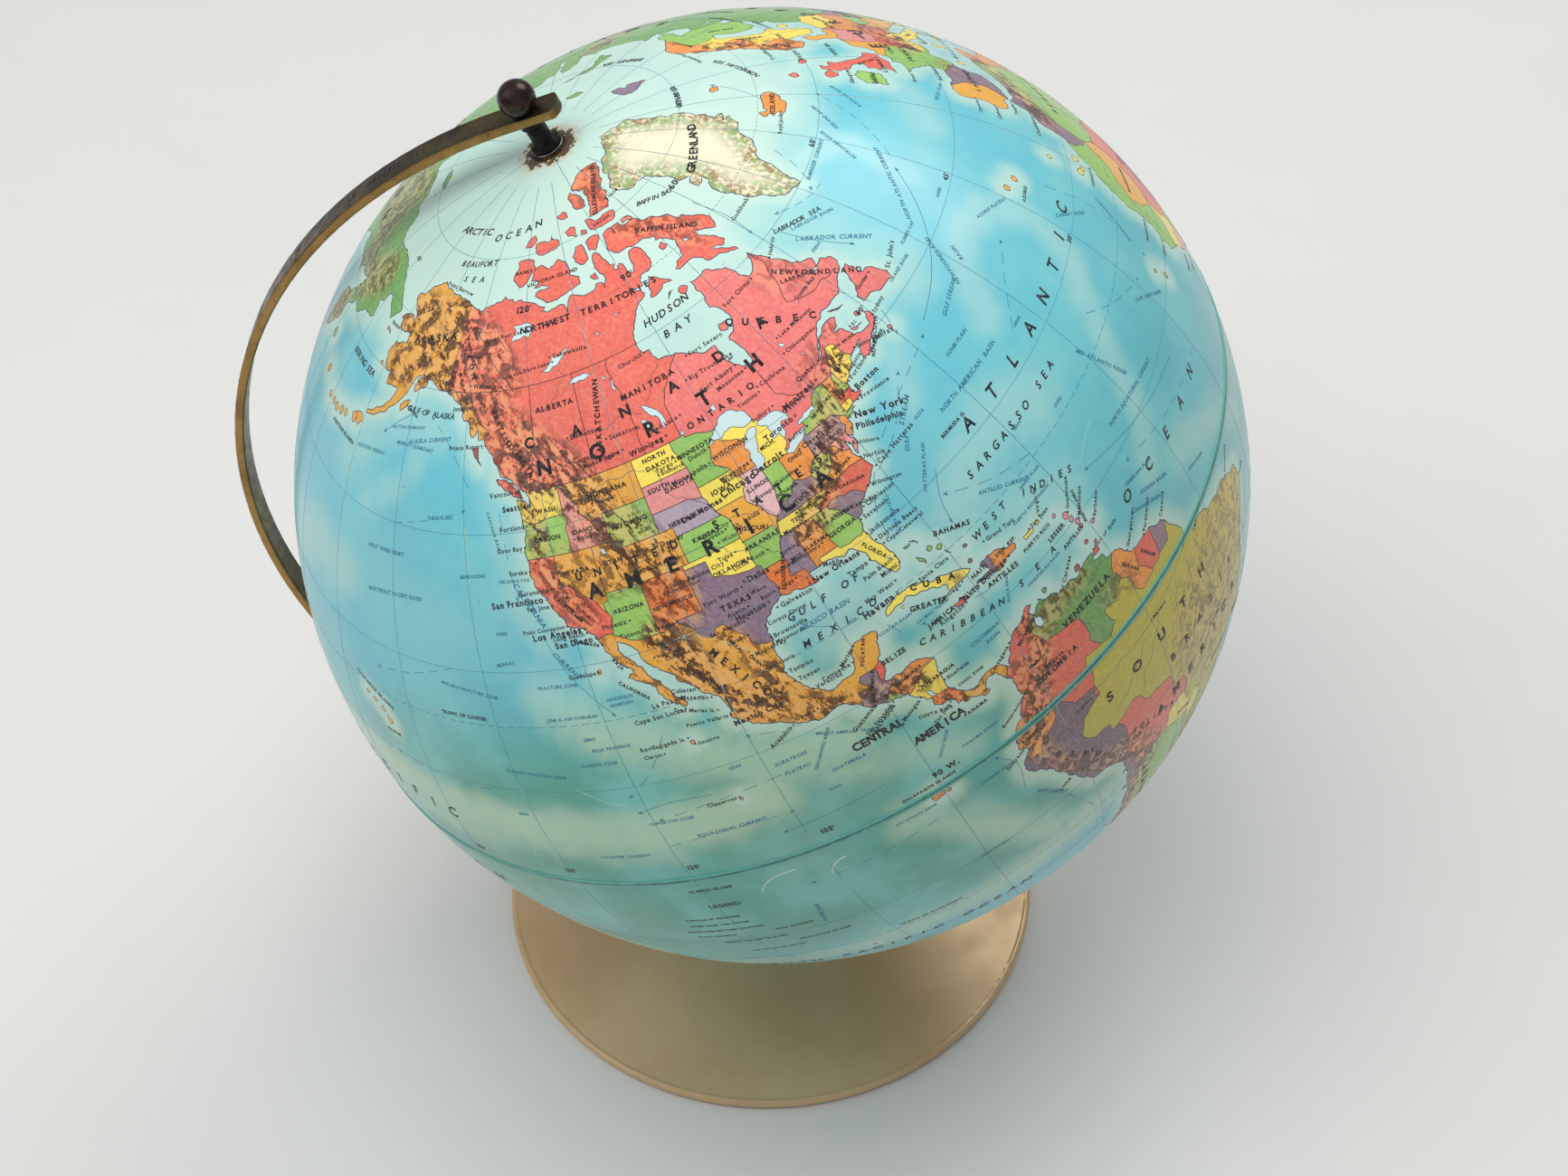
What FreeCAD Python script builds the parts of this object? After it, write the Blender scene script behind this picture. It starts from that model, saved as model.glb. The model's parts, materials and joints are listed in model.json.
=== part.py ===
"""A 12 inch (304.8 mm) desk globe on a semi-meridian arm and a spun metal base.

Frame: millimetres, +Z up, origin at the centre of the felt foot. The arm stands in the XZ plane, the globe's
north pole leans towards -X, and the arm runs from the north pole round the -X side, under the ball to the base,
and on to the south pole. The ball turns on two short pivots held by the arm. The arm's arc is a little wider
than the ball: it is centred over the base, and the ball's centre stands off it, away from the arm.
"""
import FreeCAD
import Part
import math
import os
from FreeCAD import Placement, Rotation, Vector

# Driving dimensions
GLOBE_R = 152.4          # 12 inch globe, over the printed map
BOARD_T = 2.0            # pressed board of each hemisphere with its printed paper
CENTRE_H = 220.7         # height of the ball's centre above the table
TILT_DEG = 23.5          # lean of the axis from vertical
ARM_INNER_R = 164.0      # inner face of the arm's arc
ARM_T = 3.0
ARM_W = 9.5
ARM_OFFSET = 7.3         # from the arc's centre to the ball's axis
ARM_EDGE_R = 0.8         # rounding of the arm's four long edges
ARM_END_LENGTH = 10.6    # from a pivot hole to the arm's tip
ARM_END_R = 6.3          # round of the tip
PIN_R = 2.4              # pivot pin and its thread
PIN_CLEARANCE = 0.05
BOLT_R = 3.0             # centre bolt
BOLT_CLEARANCE = 0.2
BASE_R = 98.4            # over the rolled rim
BASE_SHEET_T = 1.0
BASE_NECK_R = 13.0
SADDLE_H = 5.4           # from the base's top to the arm
RIM_BEAD_R = 1.7
RIM_BEAD_LOW = 0.8       # gap between the rim and the table
RIM_SLOPE_DEG = 9.0      # slope of the base's skirt at the rim
MID_SLOPE_DEG = 24.0     # slope where its two curves meet
SKIRT_FOOT_R = 96.2
SKIRT_FOOT_Z = 4.0
NECK_H = 3.0             # upright neck above the skirt
FELT_R = 94.2
FELT_T = 1.9
PLATE_R = 94.9
PLATE_T = 1.2
WELL_R = 13.2            # well of the plate that hides the nut
WELL_DEPTH = 8.6
WEIGHT_R = 46.0
WEIGHT_T = 13.0
TAPE_T = 0.3
TAPE_W = 2.2
BAND_T = 1.6
BAND_W = 28.0
FERRULE_R = 4.0
FERRULE_TOP = GLOBE_R + 0.5

OUT = "parts"
Z_AXIS = Vector(0, 0, 1)
Y_AXIS = Vector(0, 1, 0)
TILT = math.radians(TILT_DEG)
NORTH = Vector(-math.sin(TILT), 0, math.cos(TILT))
BALL_CENTRE = Vector(ARM_OFFSET * math.cos(TILT), 0, CENTRE_H)
ARC_CENTRE = Vector(0, 0, CENTRE_H - ARM_OFFSET * math.sin(TILT))
ARM_OUTER_R = ARM_INNER_R + ARM_T
ARM_BOTTOM = ARC_CENTRE.z - ARM_OUTER_R
BASE_NECK_TOP = ARM_BOTTOM - SADDLE_H
SKIRT_FOOT = Vector(SKIRT_FOOT_R, 0, SKIRT_FOOT_Z)
SKIRT_TOP = BASE_NECK_TOP - NECK_H


def save(name, shape):
    """Writes one named sub-part, after checking that it is made of valid closed solids."""
    solids = shape.Solids
    if not solids or not shape.isValid():
        raise ValueError(name + " is not a valid solid")
    result = solids[0] if len(solids) == 1 else Part.makeCompound(solids)
    result.exportStep(os.path.join(OUT, name + ".step"))
    print(f"{name:24s} solids {len(solids)}  volume {result.Volume:12.2f} mm3")


def turned(points):
    """A solid of revolution about Z from (radius, height) corners; a corner may be ("arc", mid, end)."""
    edges = []
    here = Vector(points[0][0], 0, points[0][1])
    start = here
    for step in points[1:] + [points[0]]:
        if step[0] == "arc":
            mid = Vector(step[1][0], 0, step[1][1])
            there = Vector(step[2][0], 0, step[2][1])
            edges.append(Part.Arc(here, mid, there).toShape())
        else:
            there = Vector(step[0], 0, step[1])
            if there.distanceToPoint(here) < 1e-7:
                continue
            edges.append(Part.LineSegment(here, there).toShape())
        here = there
    if here.distanceToPoint(start) > 1e-7:
        edges.append(Part.LineSegment(here, start).toShape())
    face = Part.Face(Part.Wire(edges))
    return face.revolve(Vector(0, 0, 0), Z_AXIS, 360)


def along_axis(shape, south=False):
    """Moves a part made about Z, with z = 0 at the ball's centre, onto the globe's tilted axis."""
    turn = Rotation(Y_AXIS, -TILT_DEG + (180 if south else 0))
    moved = shape.copy()
    moved.Placement = Placement(BALL_CENTRE, turn)
    return moved


def hex_nut(across_flats, height, hole_r, z):
    corner_r = across_flats / math.sqrt(3)
    corners = [Vector(corner_r * math.cos(math.radians(60 * k)), corner_r * math.sin(math.radians(60 * k)), z)
               for k in range(7)]
    prism = Part.Face(Part.makePolygon(corners)).extrude(Vector(0, 0, height))
    chamfer = 0.6
    barrel = turned([(0, z), (corner_r - chamfer, z), (corner_r, z + chamfer),
                     (corner_r, z + height - chamfer), (corner_r - chamfer, z + height), (0, z + height)])
    hole = Part.makeCylinder(hole_r, height + 2, Vector(0, 0, z - 1))
    return prism.common(barrel).cut(hole)


def washer(outer_r, hole_r, height, z):
    edge = min(0.15, height / 4)
    return turned([(hole_r, z), (outer_r - edge, z), (outer_r, z + edge),
                   (outer_r, z + height - edge), (outer_r - edge, z + height), (hole_r, z + height)])


def split_washer(outer_r, hole_r, height, z):
    """A spring lock washer: a ring with a slanted cut through one side."""
    ring = washer(outer_r, hole_r, height, z)
    gap = 0.8
    blade = Part.makeBox(outer_r, gap, 4 * height, Vector(0, -gap / 2, -2 * height))
    blade.rotate(Vector(0, 0, 0), Vector(1, 0, 0), 30)
    blade.translate(Vector(hole_r / 2, 0, z + height / 2))
    return ring.cut(blade)


# Base ---------------------------------------------------------------------------------------------------------

def skirt_curves():
    """Centres and radii of the two tangent arcs of the base's concave skirt, from its ends and slopes."""
    low, mid = math.radians(RIM_SLOPE_DEG), math.radians(MID_SLOPE_DEG)
    run, rise = SKIRT_FOOT.x - BASE_NECK_R, SKIRT_TOP - SKIRT_FOOT.z
    a, b = math.sin(mid) - math.sin(low), 1 - math.sin(mid)
    c, d = math.cos(low) - math.cos(mid), math.cos(mid)
    det = a * d - b * c
    wide_r, tight_r = (run * d - b * rise) / det, (a * rise - c * run) / det
    wide_centre = SKIRT_FOOT + Vector(math.sin(low), 0, math.cos(low)) * wide_r
    tight_centre = wide_centre - Vector(math.sin(mid), 0, math.cos(mid)) * (wide_r - tight_r)
    return (wide_centre, wide_r, low, mid), (tight_centre, tight_r, mid, math.pi / 2)


def skirt_point(curve, slope, inward):
    centre, radius = curve[0], curve[1]
    p = centre - Vector(math.sin(slope), 0, math.cos(slope)) * (radius + inward)
    return (p.x, p.z)


def base_shell():
    """Spun sheet: concave skirt, upright neck, flat top with the bolt hole, and a rolled bead round the foot."""
    wide, tight = skirt_curves()
    hole_r = BOLT_R + BOLT_CLEARANCE
    t = BASE_SHEET_T
    crown_r = 1.5
    k = crown_r * (1 - math.sqrt(0.5))
    outer = [skirt_point(wide, wide[2], 0)]
    inner = [skirt_point(tight, tight[3], t)]
    for curve in (wide, tight):
        outer.append(("arc", skirt_point(curve, (curve[2] + curve[3]) / 2, 0), skirt_point(curve, curve[3], 0)))
    for curve in (tight, wide):
        inner.append(("arc", skirt_point(curve, (curve[2] + curve[3]) / 2, t), skirt_point(curve, curve[2], t)))
    neck = [(BASE_NECK_R, BASE_NECK_TOP - crown_r),
            ("arc", (BASE_NECK_R - k, BASE_NECK_TOP - k), (BASE_NECK_R - crown_r, BASE_NECK_TOP)),
            (hole_r, BASE_NECK_TOP), (hole_r, BASE_NECK_TOP - t), (BASE_NECK_R - t, BASE_NECK_TOP - t)]
    sheet = turned(outer + neck + inner)
    bead = Part.makeTorus(BASE_R - RIM_BEAD_R, RIM_BEAD_R, Vector(0, 0, RIM_BEAD_LOW + RIM_BEAD_R))
    core = Part.makeTorus(BASE_R - RIM_BEAD_R, RIM_BEAD_R - BASE_SHEET_T, Vector(0, 0, RIM_BEAD_LOW + RIM_BEAD_R))
    return sheet.fuse(bead).removeSplitter().cut(core)


def base_plate():
    """Pressed bottom plate with a raised well, so that the nut stays above the felt."""
    low, high = FELT_T, FELT_T + PLATE_T
    top = low + WELL_DEPTH + PLATE_T
    hole_r = BOLT_R + BOLT_CLEARANCE
    return turned([(WELL_R - PLATE_T, low), (PLATE_R, low), (PLATE_R, high), (WELL_R, high), (WELL_R, top),
                   (hole_r, top), (hole_r, top - PLATE_T), (WELL_R - PLATE_T, top - PLATE_T)])


def base_weight():
    """Cast iron ballast that sits over the plate's well and is clamped by the bolt."""
    low = FELT_T + PLATE_T
    well_top = low + WELL_DEPTH
    top = low + WEIGHT_T
    draft = 2.5
    return turned([(WELL_R + 0.6, low), (WEIGHT_R, low), (WEIGHT_R - draft, top - 1.5), (WEIGHT_R - draft - 1.5, top),
                   (BOLT_R + 0.4, top), (BOLT_R + 0.4, well_top + 0.05), (WELL_R + 0.6, well_top + 0.05)])


def base_felt():
    edge = 0.4
    return turned([(0, 0), (FELT_R - edge, 0), (FELT_R, edge), (FELT_R, FELT_T), (0, FELT_T)])


# Arm and its fixings ------------------------------------------------------------------------------------------

def arm_section():
    """The strip's rounded rectangle, standing on the Z axis in the YZ plane at the arc's north end."""
    half, low, high = ARM_W / 2, ARM_INNER_R, ARM_OUTER_R
    r = ARM_EDGE_R
    k = r * (1 - math.sqrt(0.5))
    rounds = (((-half + r, low), (-half + k, low + k), (-half, low + r)),
              ((-half, high - r), (-half + k, high - k), (-half + r, high)),
              ((half - r, high), (half - k, high - k), (half, high - r)),
              ((half, low + r), (half - k, low + k), (half - r, low)))
    corners = [[Vector(0, y, z) for y, z in corner] for corner in rounds]
    edges = []
    for here, there in zip(corners, corners[1:] + corners[:1]):
        edges.append(Part.Arc(*here).toShape())
        edges.append(Part.LineSegment(here[2], there[0]).toShape())
    return Part.Face(Part.Wire(edges))


def arm_end():
    """Flat end of the arm, square to the pivot, with a rounded tip and the pivot's hole."""
    length = ARM_OFFSET + ARM_END_LENGTH
    strip = arm_section().extrude(Vector(length, 0, 0))
    round_x = length - ARM_END_R
    corner_x = round_x + math.sqrt(ARM_END_R ** 2 - (ARM_W / 2) ** 2)
    tip = Part.makeBox(ARM_END_R, ARM_W + 2, ARM_T + 2, Vector(corner_x, -ARM_W / 2 - 1, ARM_INNER_R - 1))
    strip = strip.cut(tip.cut(Part.makeCylinder(ARM_END_R, ARM_T + 4, Vector(round_x, 0, ARM_INNER_R - 2))))
    hole = Part.makeCylinder(PIN_R + PIN_CLEARANCE, ARM_T + 4, Vector(ARM_OFFSET, 0, ARM_INNER_R - 2))
    return strip.cut(hole)


def meridian_arm():
    """Half-circle strip with a flat end at each pole and a hole for the centre bolt."""
    arc = arm_section().revolve(Vector(0, 0, 0), Vector(0, -1, 0), 180)
    north_end = arm_end()
    south_end = north_end.mirror(Vector(0, 0, 0), Z_AXIS)
    arm = arc.fuse([north_end, south_end])
    arm.Placement = Placement(ARC_CENTRE, Rotation(Y_AXIS, -TILT_DEG))
    bolt_hole = Part.makeCylinder(BOLT_R + BOLT_CLEARANCE, ARM_T + 8, Vector(0, 0, ARM_BOTTOM - 4))
    return arm.cut(bolt_hole).removeSplitter()


def arm_saddle():
    """Turned collar under the arm, with a shallow channel that the arm sits in."""
    low, top = BASE_NECK_TOP, ARM_BOTTOM + 1.6
    foot_r, head_r = 10.2, 8.6
    blank = turned([(BOLT_R + BOLT_CLEARANCE, low), (foot_r - 0.5, low), (foot_r, low + 0.5), (foot_r, low + 1.4),
                    ("arc", (head_r + 0.25, low + 2.3), (head_r, low + 3.6)),
                    (head_r, top - 0.5), (head_r - 0.5, top), (BOLT_R + BOLT_CLEARANCE, top)])
    channel_w = ARM_W + 0.1
    channel = Part.makeCylinder(ARM_OUTER_R, channel_w, Vector(0, -channel_w / 2, ARC_CENTRE.z), Y_AXIS)
    return blank.cut(channel)


def centre_bolt():
    """Slotted pan-head bolt from inside the arm down to the nut in the plate's well."""
    head_r, head_h = 6.0, 3.4
    seat = ARC_CENTRE.z - math.sqrt(ARM_INNER_R ** 2 - head_r ** 2)
    end = FELT_T + 0.8
    body = turned([(0, end), (BOLT_R - 0.5, end), (BOLT_R, end + 0.5), (BOLT_R, seat), (head_r, seat),
                   (head_r, seat + head_h - 1.6),
                   ("arc", (head_r - 0.5, seat + head_h - 0.45), (head_r - 1.7, seat + head_h)),
                   (0, seat + head_h)])
    slot_w, slot_depth = 1.4, 1.2
    slot = Part.makeBox(4 * head_r, slot_w, 2 * slot_depth,
                        Vector(-2 * head_r, -slot_w / 2, seat + head_h - slot_depth))
    slot.rotate(Vector(0, 0, 0), Z_AXIS, 35)
    return body.cut(slot)


def pivot():
    """Turned dark pivot: pin in the ball's ferrule, spool between ball and arm, and a thread for the ball nut."""
    pin_end, seat, arm_face = 141.0, 153.5, ARM_INNER_R
    flange_r, flange_h, waist_r, top_r = 4.7, 1.9, 3.1, 3.7
    thread_end = ARM_OUTER_R + 6.2
    return turned([(0, pin_end), (PIN_R - 0.6, pin_end), (PIN_R, pin_end + 0.8), (PIN_R, seat),
                   (flange_r - 0.8, seat), ("arc", (flange_r, seat + flange_h / 2), (flange_r - 0.8, seat + flange_h)),
                   ("arc", (waist_r + 0.35, seat + flange_h + 0.45), (waist_r, seat + flange_h + 1.6)),
                   (waist_r, arm_face - 3.0), (top_r, arm_face - 2.0), (top_r, arm_face),
                   (PIN_R, arm_face), (PIN_R, thread_end - 0.5), (PIN_R - 0.5, thread_end), (0, thread_end)])


def ball_nut():
    """Ball finial with a flat seat and a blind threaded hole."""
    ball_r, seat = 5.6, ARM_OUTER_R
    ball_z = seat + 4.7
    bore_end = ARM_OUTER_R + 8.2
    seat_r = math.sqrt(ball_r ** 2 - (ball_z - seat) ** 2)
    return turned([(PIN_R, seat), (seat_r, seat), ("arc", (ball_r, ball_z), (0, ball_z + ball_r)),
                   (0, bore_end), (PIN_R, bore_end - 1.2)])


# Ball ---------------------------------------------------------------------------------------------------------

def hemisphere():
    """Half of the ball's board shell, with the pole hole that its ferrule fills."""
    inner = GLOBE_R - BOARD_T
    hole = FERRULE_R
    top_out, top_in = math.sqrt(GLOBE_R ** 2 - hole ** 2), math.sqrt(inner ** 2 - hole ** 2)
    q = math.sqrt(0.5)
    return turned([(GLOBE_R, 0), ("arc", (GLOBE_R * q, GLOBE_R * q), (hole, top_out)),
                   (hole, top_in), ("arc", (inner * q, inner * q), (inner, 0))])


def zone(inner_r, outer_r, width):
    """A belt of a spherical shell, centred on the equator."""
    h = width / 2
    inner_side = math.sqrt(inner_r ** 2 - h ** 2)
    outer_side = math.sqrt(outer_r ** 2 - h ** 2)
    return turned([(inner_side, -h), (outer_side, -h), ("arc", (outer_r, 0), (outer_side, h)),
                   (inner_side, h), ("arc", (inner_r, 0), (inner_side, -h))])


def ferrule():
    """Steel eyelet in a pole: outer flange, barrel through the board, and a clinched inner flange."""
    bore = PIN_R + PIN_CLEARANCE
    low, clinch_t, clinch_r, flange_r = 148.7, 0.7, 6.2, 5.6
    return turned([(bore, low), (clinch_r, low), (clinch_r, low + clinch_t), (FERRULE_R, low + clinch_t),
                   (FERRULE_R, GLOBE_R), (flange_r, GLOBE_R), (flange_r, FERRULE_TOP - 0.2),
                   (flange_r - 0.2, FERRULE_TOP), (bore, FERRULE_TOP)])


def main():
    os.makedirs(OUT, exist_ok=True)
    plate_top = FELT_T + WELL_DEPTH
    save("base_shell", base_shell())
    save("base_plate", base_plate())
    save("base_weight", base_weight())
    save("base_felt", base_felt())
    save("arm_saddle", arm_saddle())
    save("centre_bolt", centre_bolt())
    save("plate_washer", washer(8.0, BOLT_R + BOLT_CLEARANCE, 1.0, plate_top - 1.0))
    save("plate_lock_washer", split_washer(5.4, BOLT_R + 0.1, 1.2, plate_top - 2.2))
    save("plate_nut", hex_nut(10.0, 4.8, BOLT_R, plate_top - 7.0))
    save("weight_nut", hex_nut(10.0, 4.8, BOLT_R, FELT_T + PLATE_T + WEIGHT_T))
    save("meridian_arm", meridian_arm())
    for name, south in (("north", False), ("south", True)):
        save(name + "_pivot", along_axis(pivot(), south))
        save(name + "_finial", along_axis(ball_nut(), south))
        save(name + "_washer", along_axis(washer(5.0, PIN_R + 0.1, 0.45, 153.05), south))
        save(name + "_hemisphere", along_axis(hemisphere(), south))
        save(name + "_ferrule", along_axis(ferrule(), south))
        save(name + "_backing_washer", along_axis(washer(9.0, FERRULE_R, 0.65, 149.4), south))
    save("equator_band", along_axis(zone(GLOBE_R - BOARD_T - BAND_T, GLOBE_R - BOARD_T, BAND_W)))
    save("equator_tape", along_axis(zone(GLOBE_R, GLOBE_R + TAPE_T, TAPE_W)))


main()
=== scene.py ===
"""The looks of a 12 inch desk globe: printed ball, brass meridian arm, gold flared base, floor and lights.

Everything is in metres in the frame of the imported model. The map is real geometry: outlines in longitude and
latitude are triangulated on the ball, each region of the land has its own colour, the sea is shaded by its
distance from coasts and ridges, and coasts, borders, meridians, currents and lettering are thin closed strips
of ink on the varnished paper.
"""
import json
import math

import bpy
import numpy as np
from mathutils import Matrix, Vector
from mathutils.geometry import delaunay_2d_cdt
from mathutils.kdtree import KDTree


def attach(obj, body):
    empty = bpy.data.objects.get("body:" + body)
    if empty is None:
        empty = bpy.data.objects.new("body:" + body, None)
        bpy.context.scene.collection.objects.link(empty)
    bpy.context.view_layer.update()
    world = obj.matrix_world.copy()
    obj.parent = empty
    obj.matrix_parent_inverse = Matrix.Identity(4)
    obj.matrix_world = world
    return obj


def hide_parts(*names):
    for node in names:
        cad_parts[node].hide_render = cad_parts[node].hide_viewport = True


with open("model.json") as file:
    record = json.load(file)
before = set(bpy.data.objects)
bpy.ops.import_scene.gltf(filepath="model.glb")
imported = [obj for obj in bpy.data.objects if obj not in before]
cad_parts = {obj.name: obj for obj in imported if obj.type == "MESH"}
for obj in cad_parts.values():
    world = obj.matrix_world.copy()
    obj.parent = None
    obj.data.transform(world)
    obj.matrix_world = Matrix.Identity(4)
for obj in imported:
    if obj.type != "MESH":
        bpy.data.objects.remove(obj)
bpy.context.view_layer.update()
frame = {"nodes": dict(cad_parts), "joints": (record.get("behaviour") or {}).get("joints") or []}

RNG = np.random.default_rng(7)

# Places read from the frame -----------------------------------------------------------------------

SPIN_JOINT = frame["joints"][0]
BALL = np.array(SPIN_JOINT["pos_m"], float)
NORTH = np.array(SPIN_JOINT["axis"], float) / np.linalg.norm(SPIN_JOINT["axis"])
SIDE = np.array([0.0, 1.0, 0.0])
LEAN = np.cross(SIDE, NORTH)     # across the axis, away from the arm
MM = 0.001
MAP_R = 152.4 * MM               # outside of the paper
BOARD_R = 150.4 * MM             # inside of the board
FERRULE_R = 4.0 * MM             # the hole at each pole
MAP_TURN = math.radians(25.03)   # turn of the printed map about the axis at rest
ARM_OFFSET = 7.3 * MM            # from the ball's axis to the centre of the arm's arc
ARM_OUTER_R = 167.0 * MM
ARM_WIDTH = 9.5 * MM
ARC_CENTRE = BALL - LEAN * ARM_OFFSET


def directions(lon, lat):
    """Unit vectors from the ball's centre for longitudes and latitudes in degrees."""
    lon = np.radians(np.asarray(lon, float)) + MAP_TURN
    lat = np.radians(np.asarray(lat, float))
    across = np.cos(lat)[..., None] * (np.cos(lon)[..., None] * LEAN + np.sin(lon)[..., None] * SIDE)
    return across + np.sin(lat)[..., None] * NORTH


def pairs(text):
    """A list of (longitude, latitude) from a string of numbers."""
    return np.array(text.split(), float).reshape(-1, 2)


def smooth(x, low, high):
    """A soft step from 0 at low to 1 at high; low may be the larger."""
    t = np.clip((np.asarray(x, float) - low) / (high - low), 0, 1)
    return t * t * (3 - 2 * t)


def linear(rgb):
    """Linear colour from 8-bit sRGB."""
    c = np.asarray(rgb, float) / 255
    return np.where(c <= 0.04045, c / 12.92, ((c + 0.055) / 1.055) ** 2.4)


# Colours as 8-bit values ---------------------------------------------------------------------------

DEEP_SEA = (106, 196, 212)
MID_SEA = (134, 212, 210)
# the tropical sea: a greener print, darker partly as painted shade where the south-east Pacific faces down
TROPIC_SEA_AND_SHADE = (84, 164, 146)
BLUE_BANK = (168, 216, 212)
PALE_SEA = (190, 218, 184)
SHALLOWS = (196, 226, 214)
COLD_SEA = (200, 228, 216)
LAKE = (206, 230, 232)
GOLD_LIGHT = (216, 182, 138)
GOLD_DARK = (198, 162, 118)
FLOOR = (226, 225, 222)
WORN_INK = 225                   # the pale value that worn ink fades towards

# Light, relief and lettering -----------------------------------------------------------------------

WORLD_LIGHT = 0.33
SKY_LIGHT = 28.0                 # watts
KEY_LIGHT = 11.0
FILL_LIGHT = 4.0
RELIEF_LIGHT = (LEAN - SIDE) * 0.99                       # the way the hills' light leans, in mm
RANGE_RUN = directions(-128, 58) - directions(-105, 35)   # the line the folds of the land run along
RANGE_RUN /= np.linalg.norm(RANGE_RUN)
TOWN_SCALE = 1.25                # towns' names against their listed height


# The map: outlines in degrees of longitude and latitude -------------------------------------------

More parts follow.
